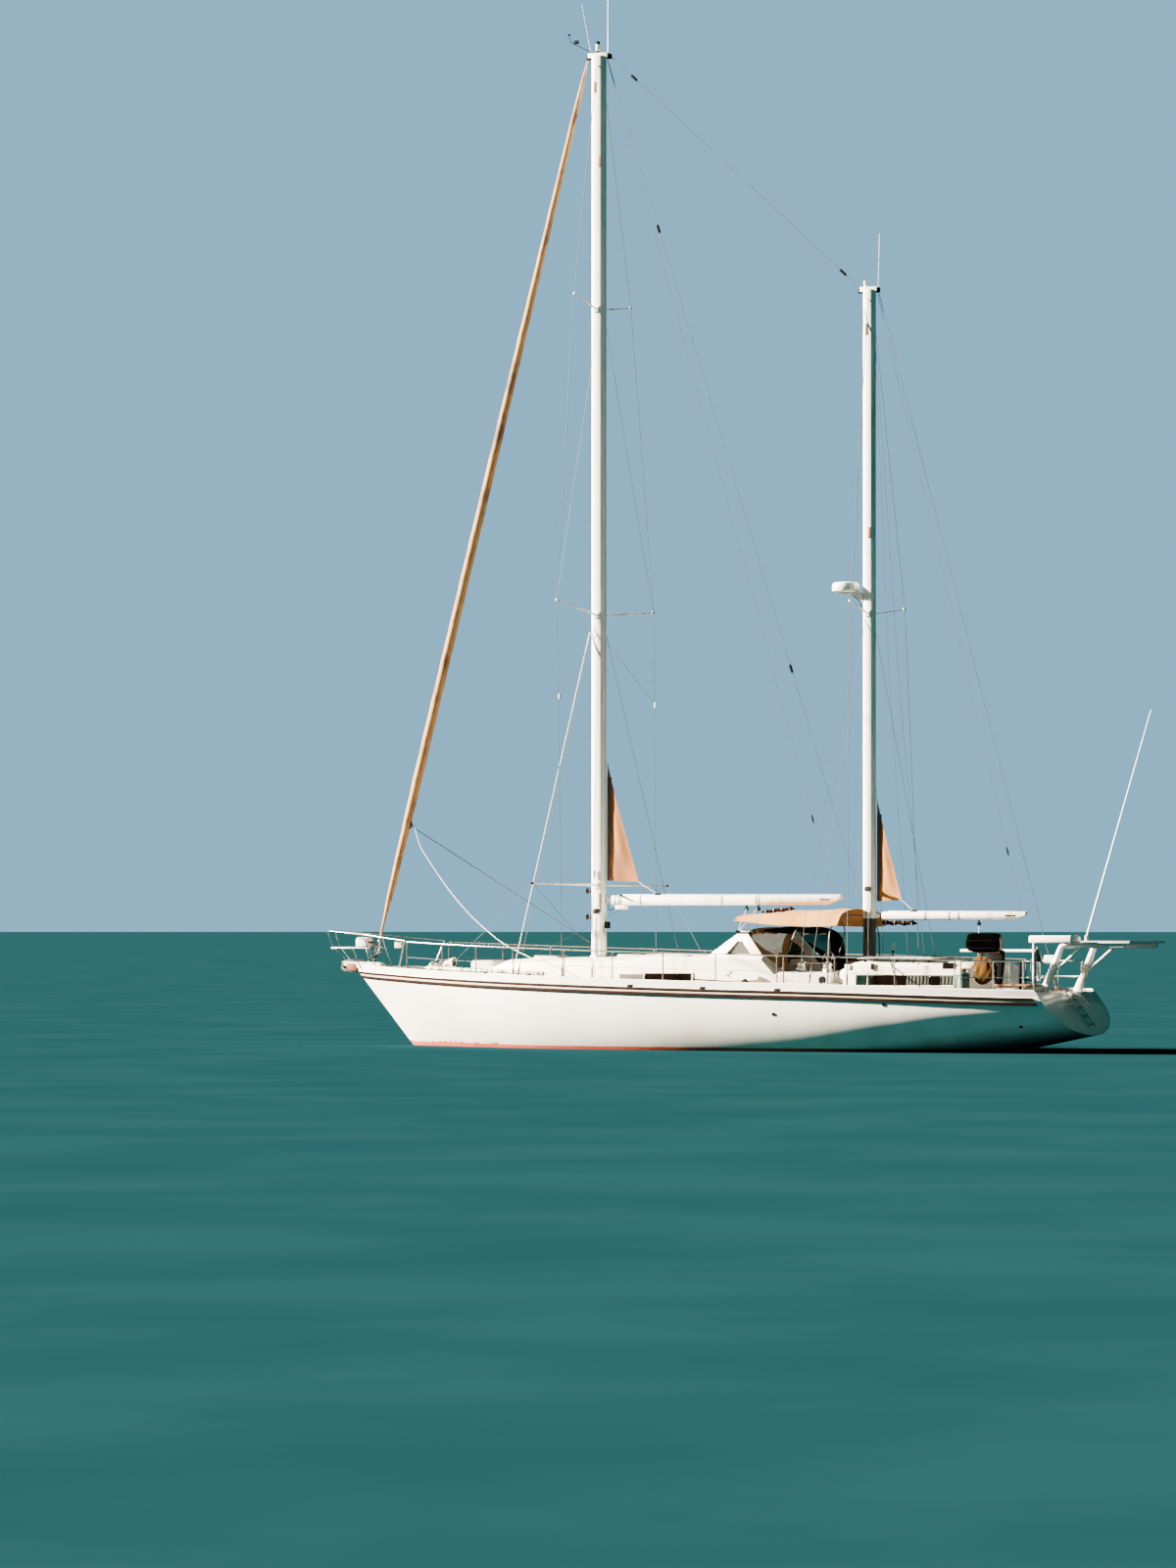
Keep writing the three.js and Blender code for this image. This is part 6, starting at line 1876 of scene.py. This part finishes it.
base = [(-0.095, -0.06), (0.095, -0.06), (0.095, 0.06), (-0.095, 0.06)]
steps = [(1, 1.235), (0.85, 1.34), (0.25, 1.42)]  # size and height
wedge = lofted("wedge", [[(-1.62 + dx * size, 2.05 + dy * size, z) for dx, dy in base] for size, z in steps])
rounded_edges(wedge, 0.008, 3)
low_block = block("low_block", (-1.95, 1.99, 1.24), (-1.86, 2.05, 1.285), 0.01, 3)
group("deck_blocks", [wedge, low_block], DARK_TEAK)
pads = []
for x in (-0.83, -2.41, 0.75):
    y = at(SHEER, x, 2)
    z = at(SHEER, x, 1) - 0.02
    pads.append(block("pad", (x - 0.055, y - 0.04, z - 0.035), (x + 0.055, y + 0.036, z + 0.035), 0.006, 3))
    pads.append(block("slot", (x - 0.02, y - 0.03, z - 0.02), (x + 0.02, y + 0.039, z + 0.02), 0.003))
group("bulwark_fairleads", pads, TEAK_TRIM)
GREY_BOX = speckled("grey_box", [(0.08, 0.11, 0.1), (0.16, 0.2, 0.18)], 9, (0.5, 0.7), (60, 0.1, 0.001))
gate_box = [block("box", (-3.66, 1.98, 1.16), (-3.31, 2.13, 1.32), 0.02, 3)]
gate_box.append(block("lid", (-3.67, 1.97, 1.315), (-3.3, 2.14, 1.345), 0.012, 3))
group("gate_box", gate_box, GREY_BOX)
sheave = [(0, -0.03), (0.07, -0.03), (0.078, -0.015), (0.05, 0), (0.078, 0.015), (0.07, 0.03), (0, 0.03)]
finished(turned("gate_sheave", sheave, (-3.27, 2.05, 1.4), (0.1, 1, 0.05), 28), BLACK_RUBBER)
half_fender = [(0.066, 0.18), (0.06, 0.23), (0.024, 0.27), (0.02, 0.3), (0, 0.3)]
fender = [(radius, -along) for radius, along in reversed(half_fender)] + half_fender
fenders = []
for x, y, way in ((2.35, 1.83, (1, 0.1, 0.02)), (1.6, 1.86, (1, 0.02, 0.01)), (-6.93, 1.56, (1, 0.08, 0.03))):
    fenders.append(turned("fender", fender, (x, y, deck_z(x) + 0.075), way, 24))
group("deck_fenders", fenders, WHITE_PLASTIC)
print("side deck done")

# %% [markdown]
# Over the aft coachroof lie two framed solar panels on low blocks, clear of the hatch. Each side wall has a
# dark light in its corner, a latch and a vent. Two dark braces and a small white light stand near.

# %% Aft coachroof
CELL = 0.13


def solar_cells():
    finish = Finish("solar_cells", 0.12, Coat_Weight=0.5, Coat_Roughness=0.05)
    bands = [finish.waves(WAVE_PERIOD / CELL, axis, profile="SAW") for axis in "XY"]
    grid = finish.math("MAXIMUM", *[finish.below(band, 0.035) for band in bands])
    cells = finish.ramp(finish.noise(3.0), [(0.35, (0.008, 0.014, 0.04)), (0.7, (0.016, 0.028, 0.07))])
    finish.colour(finish.mix(grid, cells, (0.35, 0.37, 0.4)))
    finish.roughness(finish.noise(1.5, 5.0), 0.08, 0.25)
    finish.bump(grid, 0.1, 0.0006)
    return finish.material


SOLAR_CELLS = solar_cells()
PANEL_FRAME = speckled(
    "panel_frame", [(0.6, 0.62, 0.62), (0.72, 0.735, 0.73)], 9, (0.3, 0.45), (160, 0.08, 0.0006), 0.3,
)


def solar_panel(name, low, high, frame_material, edge=0.008, stands_for=()):
    """A framed panel: the rim is inset and the cells lie just under it."""
    rim = 0.03
    body = block(name + "_frame", low, high, edge, 3)
    finished(body, frame_material, "boat", "steel", stands_for)
    cells_low = (low[0] + rim, low[1] + rim, high[2] - 0.004)
    cells_high = (high[0] - rim, high[1] - rim, high[2] + 0.0035)
    finished(block(name + "_cells", cells_low, cells_high, 0.002), SOLAR_CELLS)


for number, (x0, x1) in enumerate(((-4.3, -3.62), (-5.2, -4.32))):
    solar_panel(f"roof_panel_{number}", (x0, 0.36, 1.81), (x1, 1.16, 1.845), PANEL_FRAME)
places = [(x, y) for x in (-3.75, -4.4, -5.1) for y in (0.5, 1.05)]
feet = [block("foot", (x - 0.03, y - 0.03, 1.7), (x + 0.03, y + 0.03, 1.815), 0.006) for x, y in places]
group("roof_panel_feet", feet, BLACK_RUBBER)
for side, word in SIDES:
    for name, xs, zs, out, deep, material in (
        ("corner_light", (-5.74, -5.47), (1.62, 1.735), 0.006, 0.03, BLACK_GLASS),
        ("roof_latch", (-4.045, -3.985), (1.6, 1.72), 0.03, 0.05, DARK_TEAK),
        ("roof_vent", (-3.55, -3.44), (1.6, 1.7), 0.025, 0.05, PANEL_FRAME),
    ):
        finished(wall_patch(f"{name}_{word}", AFT_ROOF, xs, zs, out, side, deep), material)
brace = [tube("brace", [(-4.31, 1.17, 1.83), (-4.75, 1.73, 1.2)], 0.011, 10)]
brace.append(tube("strut", [(-4.86, 1.17, 1.83), (-4.86, 1.3, 1.72)], 0.011, 10))
group("panel_braces", brace, BLACK_RUBBER)
cowl = [tube("stem", [(-3.94, 0.2, 1.74), (-3.97, 0.2, 1.93)], 0.022, 12)]
cowl.append(tube("head", [(-3.975, 0.2, 1.96), (-3.99, 0.2, 2.1)], 0.026, 12))
group("roof_light", cowl, WHITE_PLASTIC)
finished(tube("roof_light_band", [(-3.968, 0.2, 1.925), (-3.977, 0.2, 1.965)], 0.028, 12), BLACK_RUBBER)
print("aft coachroof done")

# %% [markdown]
# The stern davits are painted alloy: a flat oval leg on each side, a knee and a round arm with a strut.
# They carry two framed solar panels. A third panel stands on a post at the port quarter, in a thick white
# surround, and the whip antenna has its foot on the array.

# %% Davits and solar panels
def oval_ring(centre, along, half_long, half_wide, sides=24):
    """An oval across a line that runs fore and aft, or up."""
    along = Vector(along).normalized()
    across = Vector((along.z, 0, -along.x))
    turns = [k * math.tau / sides for k in range(sides)]
    ring = []
    for turn in turns:
        wide = Vector((0, half_wide * math.sin(turn), 0))
        ring.append(Vector(centre) + across * half_long * math.cos(turn) + wide)
    return ring


LEG_WAY = Vector((-0.39, 0, 0.985)).normalized()
LEG = [(0, 0.1, 0.055), (0.3, 0.08, 0.05), (0.75, 0.065, 0.048), (0.97, 0.055, 0.048)]  # share, half sizes
for side, word in SIDES:
    y = side * 0.9
    rings = []
    for share, half_long, half_wide in LEG:
        centre = Vector((-7.39, y, 1.085)).lerp(Vector((-7.78, y, 2.065)), share)
        rings.append(oval_ring(centre, LEG_WAY, half_long, half_wide))
    rings.append(oval_ring((-7.8, y, 2.062), (-0.8, 0, 0.6), 0.05, 0.047))
    rings.append(oval_ring((-7.9, y, 2.064), (-1, 0, 0), 0.0465, 0.0465))
    rings.append(oval_ring((-9.075, y, 2.064), (-1, 0, 0), 0.0455, 0.0455))
    parts = [lofted("leg", rings), tube("strut", [(-7.57, y, 1.52), (-8.2, y, 2.05)], 0.025, 12)]
    parts.append(block("foot", (-7.52, y - 0.09, 1.075), (-7.27, y + 0.09, 1.1), 0.008, 3))
    group(f"davit_{word}_arm", parts, MAST_PAINT, stands_for=[f"davit_{word}"])
array_low, array_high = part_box("solar_panel_aft")
for number, (y0, y1) in enumerate(((-0.998, -0.004), (0.004, 0.998))):
    low, high = (array_low[0] + 0.002, y0, array_low[2]), (array_high[0] - 0.002, y1, array_high[2] - 0.004)
    solar_panel(f"stern_panel_{number}", low, high, PANEL_FRAME, 0.006, ["solar_panel_aft"])
bars = [tube("bar", [(x, -0.98, 2.1), (x, 0.98, 2.1)], 0.016, 10) for x in (-8.0, -8.95)]
group("stern_panel_bars", bars, STEEL)
solar_panel(
    "quarter_panel", (-8.25, 1.08, 2.118), (-7.37, 1.6, 2.264), WHITE_PLASTIC, 0.035, ["solar_panel_port"],
)
post = [tube("post", [(-7.41, 1.43, 1.07), (-7.41, 1.43, 2.14)], 0.02, 12)]
post.append(foot_plate((-7.41, 1.43, 1.075), 0.045))
group("quarter_panel_post", post, MAST_PAINT)
copy_of("whip_antenna", WHITE_PLASTIC, 0.0)
print("davits and panels done")

# %% [markdown]
# At the stern rail: two gas bottles, the outboard engine's leg and its post, a bench, the guide posts of the
# stern gate, a float, a light, two poles and a green cone. On the transom are a folded ladder and handles.

# %% Stern rail
GREEN_ENAMEL = speckled(
    "green_enamel", [(0.006, 0.03, 0.026), (0.014, 0.055, 0.046)], 9, (0.3, 0.5), (60, 0.1, 0.001),
)
bottle = [
    (0, 0), (0.11, 0), (0.125, 0.02), (0.125, 0.36), (0.11, 0.41), (0.06, 0.44), (0.055, 0.48), (0, 0.485),
]
bottles = [turned("bottle", [(r * k, h * k) for r, h in bottle], place, steps=28)
           for k, place in ((1.0, (-6.03, 1.6, 1.125)), (0.86, (-5.86, 1.42, 1.125)))]
group("gas_bottles", bottles, GREEN_ENAMEL)
cap = [(0, 0), (0.075, 0), (0.075, 0.03), (0.05, 0.045), (0, 0.045)]
finished(turned("bottle_cap", cap, (-6.03, 1.6, 1.59), steps=20), RUST)

leg = lofted("outboard_leg", [
    [(x0, 1.44, z), (x1, 1.44, z), (x1, 1.56, z), (x0, 1.56, z)]
    for x0, x1, z in ((-6.84, -6.5, 1.98), (-6.84, -6.56, 1.8), (-6.82, -6.62, 1.55), (-6.78, -6.66, 1.3))
])
rounded_edges(leg, 0.03, 4)
finished(leg, BLACK_RUBBER)
post = [tube("post", [(-6.7, 1.5, 1.1), (-6.7, 1.5, 1.98)], 0.028, 14), foot_plate((-6.7, 1.5, 1.11), 0.06)]
post.append(block("bracket", (-6.78, 1.42, 1.9), (-6.3, 1.58, 2.24), 0.03, 3))
group("outboard_bracket", post, POST_STEEL)

starts = [i * 0.115 for i in range(6)]
bench = [block("plank", (-7.4, 0.92 + y, 1.3), (-6.66, 1.025 + y, 1.325), 0.006) for y in starts]
bench += [block("beam", (x, 0.93, 1.275), (x + 0.04, 1.6, 1.302), 0.004) for x in (-7.32, -6.78)]
group("stern_bench", bench, TEAK_JOINERY)
places = [(x, y) for x in (-7.3, -6.76) for y in (0.98, 1.55)]
bench_legs = [tube("leg", [(x, y, 1.1), (x, y, 1.29)], 0.014, 10) for x, y in places]
bench_legs.append(tube("post", [(-6.83, 1.2, 1.32), (-6.83, 1.2, 1.76)], 0.022, 12))
bench_legs.append(tube("head", [(-6.72, 1.2, 1.76), (-6.94, 1.2, 1.76)], 0.018, 12))
group("bench_legs", bench_legs, STEEL)
guides = [tube("guide", [(x, 0.1, 1.1), (x, 0.1, 1.74)], 0.03, 12) for x in (-6.62, -6.9)]
guides.append(tube("guide", [(-6.56, 0.1, 1.745), (-7.05, 0.1, 1.745)], 0.018, 12))
guides.append(tube("guide", [(-6.6, 0.1, 1.4), (-6.95, 0.1, 1.4)], 0.014, 12))
group("gate_guides", guides, BLACK_RUBBER)
float_profile = [(0, 0), (0.03, 0), (0.036, 0.02), (0.036, 0.34), (0.03, 0.36), (0, 0.36)]
rail_gear = [turned("float", float_profile, (-7.35, 1.02, 1.39), steps=20)]
rail_gear.append(block("light", (-7.62, 0.72, 1.73), (-7.4, 0.88, 1.885), 0.03, 4))
rail_gear.append(tube("pole", [(-4.5, -2.03, 1.955), (-5.05, -1.985, 1.955)], 0.034, 14))
rail_gear.append(tube("pole", [(-5.4, -1.96, 1.955), (-6.15, -1.9, 1.955)], 0.03, 14))
group("rail_gear", rail_gear, WHITE_PLASTIC)
cone = [(0, 0), (0.085, 0), (0.09, 0.02), (0.05, 0.16), (0.02, 0.28), (0, 0.29)]
finished(turned("rail_cone", cone, (-7.43, 1.26, 1.76), steps=20), GREEN_ENAMEL)
finished(tube("rail_cone_lashing", [(-7.43, 1.26, 1.74), (-7.43, 1.26, 1.78)], 0.03, 10), WHITE_PLASTIC)

TRANSOM_GAP = 0.06
RUNGS = (0.54, 0.7, 0.86, 1.02, 1.18)


def transom_x(z):
    """Where the folded ladder lies, a gap behind the sloping transom."""
    return -8.12 + (z - 0.34) * 0.64 / 0.875 - TRANSOM_GAP


ladder = [tube("rail", [(transom_x(z), y, z) for z in (0.48, 1.2)], 0.0165, 12) for y in (-0.17, 0.17)]
ladder += [tube("rung", [(transom_x(z), y, z) for y in (-0.17, 0.17)], 0.0145, 10) for z in RUNGS]
group("ladder_tubes", ladder, STEEL, "boarding_ladder", stands_for=["boarding_ladder"])
treads = []
for z in RUNGS[:-1]:
    low, high = (transom_x(z) - 0.024, -0.15, z + 0.008), (transom_x(z) + 0.024, 0.15, z + 0.022)
    treads.append(block("tread", low, high, 0.005))
group("ladder_treads", treads, TEAK_JOINERY, "boarding_ladder")
handle = []
for y in (0.34, -0.34):
    path = rounded_path([(-7.56, y, 1.12), (-7.72, y, 1.08), (-7.9, y, 0.88), (-7.8, y, 0.86)], 0.05)
    handle.append(tube("handle", path, 0.018, 12))
handle.append(block("step", (-7.86, 0.26, 0.93), (-7.7, 0.56, 0.955), 0.008, 3))
group("transom_handles", handle, STEEL)
print("stern rail done")

# %% [markdown]
# Three dark drain fittings sit in the port side. A ray towards the hull finds each one's place and which way
# it faces. A cowl ventilator stands on the foredeck, to port of the windlass.

# %% Hull fittings and cowl
hull_side = bpy.data.objects["hull_topsides"]
fitting = [(0, -0.01), (0.034, -0.01), (0.036, 0.006), (0.028, 0.012), (0.02, 0.006), (0, 0.004)]
drains = []
for x, z in ((-2.32, 0.734), (-7.18, 0.516), (-4.6, 0.93)):
    hit, place, normal, _ = hull_side.ray_cast(Vector((x, 4, z)), Vector((0, -1, 0)))
    if hit:
        drains.append(turned("drain", fitting, place, normal, 20))
group("hull_drains", drains, BLACK_RUBBER)
COWL_PATH = [(5.92, 1.55), (5.92, 1.63), (5.88, 1.69), (5.79, 1.71), (5.72, 1.71)]
way = curved_path([(x, 0.3, z) for x, z in COWL_PATH], 4)
cowl_rings = []
for i, place in enumerate(way):
    ahead = way[min(i + 1, len(way) - 1)] - way[max(i - 1, 0)]
    share = i / (len(way) - 1)
    radius = 0.055 + 0.05 * share**3
    cowl_rings.append(oval_ring(place, ahead, radius, radius, 28))
finished(lofted("foredeck_cowl", cowl_rings), WHITE_PLASTIC)
MOUTH = [(0, 0), (0.088, 0), (0.09, 0.004), (0, 0.005)]
mouth = turned("foredeck_cowl_mouth", MOUTH, (5.722, 0.3, 1.71), (-1, 0, 0), 28)
finished(mouth, DARK_TEAK, "boat", "bronze")
print("hull fittings and cowl done")

# %% [markdown]
# The soft things at the stern. The engine's cover is a loose canvas hood: rings of rounded corners, wavy
# folds and a thin wall. The khaki bag hangs below it. It is blown up a little as cloth, so that its sides
# bulge between the folds, and no point may move far.

# %% Cover and bag
KHAKI = canvas("khaki_canvas", (0.14, 0.075, 0.022), (0.03, 0.014, 0.005), (0.03, 0.018, 0.008), 0.4)
COVER_CANVAS = canvas(
    "cover_canvas", (0.001, 0.001, 0.0006), (0.0004, 0.0004, 0.0003), (0.0004, 0.0004, 0.0003), 0.6,
)
VOXEL = 0.009
PRESSURE = 4.0
SWELL_FRAMES = 20
MOST_SWELL = 0.02


def soft_ring(centre, half_long, half_wide, z, power, folds=0.0, sides=48):
    """A ring between an oval and a rectangle, with wavy folds."""
    ring = []
    for k in range(sides):
        angle = k * math.tau / sides
        c, s = math.cos(angle), math.sin(angle)
        wave = 1 + folds * math.sin(7 * angle + 9 * z) + folds * 0.6 * math.sin(11 * angle - 14 * z)
        x = centre[0] + half_long * wave * math.copysign(abs(c) ** power, c)
        y = centre[1] + half_wide * wave * math.copysign(abs(s) ** power, s)
        ring.append((x, y, z))
    return ring


COVER_CENTRE = -6.42
COVER = [  # half length, half width, height, shift of the centre along the boat
    (0.1, 0.04, 2.312, -0.01), (0.27, 0.085, 2.309, -0.01), (0.315, 0.1, 2.292, -0.005),
    (0.33, 0.108, 2.25, 0), (0.335, 0.112, 2.2, 0), (0.352, 0.118, 2.17, 0.002), (0.358, 0.12, 2.1, 0),
    (0.352, 0.12, 2.03, 0), (0.33, 0.114, 1.985, -0.01), (0.27, 0.1, 1.955, -0.03), (0.2, 0.09, 1.94, -0.05),
]
cover_rings = []
for half_long, half_wide, z, shift in COVER:
    folds = 0.012 if z < 2.26 else 0.004
    cover_rings.append(soft_ring((COVER_CENTRE + shift, 1.5), half_long, half_wide, z, 0.4, folds))
cover = lofted("outboard_cover", cover_rings)
bottom = min(face.center.z for face in cover.data.polygons if len(face.vertices) > 4)
pick_faces(cover, lambda face: len(face.vertices) > 4 and face.center.z < bottom + 0.01)
bpy.ops.mesh.delete(type="FACE")
leave_edit()
modify(cover, "SUBSURF", levels=1, render_levels=1)
modify(cover, "SOLIDIFY", thickness=0.004, offset=-1)
finished(cover, COVER_CANVAS, stands_for=["covered_outboard"], smooth=SOFT_ANGLE)
cord_rings = [soft_ring((COVER_CENTRE, 1.5), 0.356, 0.122, z, 0.4) for z in (2.165, 2.02)]
cords = [tube("cord", ring, 0.004, closed=True) for ring in cord_rings]
group("outboard_cover_cords", cords, BLACK_RUBBER)

BAG = [  # half length, half width, height, centre along the boat
    (0.03, 0.03, 1.885, -6.36), (0.13, 0.07, 1.868, -6.4), (0.2, 0.085, 1.8, -6.43), (0.24, 0.09, 1.7, -6.45),
    (0.24, 0.09, 1.58, -6.45), (0.21, 0.09, 1.46, -6.43), (0.15, 0.08, 1.37, -6.4),
    (0.08, 0.06, 1.315, -6.39), (0.03, 0.03, 1.3, -6.38),
]
bag = lofted("deck_bag_shell", [soft_ring((x, 1.5), a, b, z, 0.75, 0.1, 64) for a, b, z, x in BAG])


def swollen(piece):
    """Blows the piece up as cloth, with a limit on how far each point moves."""
    modify(piece, "REMESH", mode="VOXEL", voxel_size=VOXEL)
    start = [vertex.co.copy() for vertex in piece.data.vertices]
    select_only(piece)
    cloth = piece.modifiers.new("cloth", "CLOTH")
    cloth.settings.use_pressure = True
    cloth.settings.uniform_pressure_force = PRESSURE
    cloth.settings.effector_weights.gravity = 0
    for number in range(1, SWELL_FRAMES + 1):
        bpy.context.scene.frame_set(number)
    bpy.ops.object.modifier_apply(modifier=cloth.name)
    for vertex, before in zip(piece.data.vertices, start):
        step = vertex.co - before
        if step.length > MOST_SWELL:
            vertex.co = before + step * (MOST_SWELL / step.length)
    bpy.context.scene.frame_set(1)
    modify(piece, "SUBSURF", levels=1, render_levels=1)


swollen(bag)
finished(bag, KHAKI, stands_for=["deck_bag"], smooth=SOFT_ANGLE)
STRAP = [(-6.34, 1.5, 1.87), (-6.36, 1.52, 1.93), (-6.52, 1.5, 1.94), (-6.66, 1.5, 1.9)]
straps = [tube("strap", curved_path(STRAP, 4), 0.008)]
group("bag_handle", straps, KHAKI)
finished(block("bag_float", (-6.4, 1.46, 1.87), (-6.33, 1.53, 1.95), 0.02, 4), RUST)
print("bag has", len(bag.data.vertices), "points")

# %% [markdown]
# Last, the size of the dressed model is kept beside the size of the solids.

# %% Sizes and finish
low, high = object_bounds()
sizes = {"cad": [list(cad_low), list(cad_high)], "visual": [list(low), list(high)]}
print("visual size:", [round(b - a, 3) for a, b in zip(low, high)])
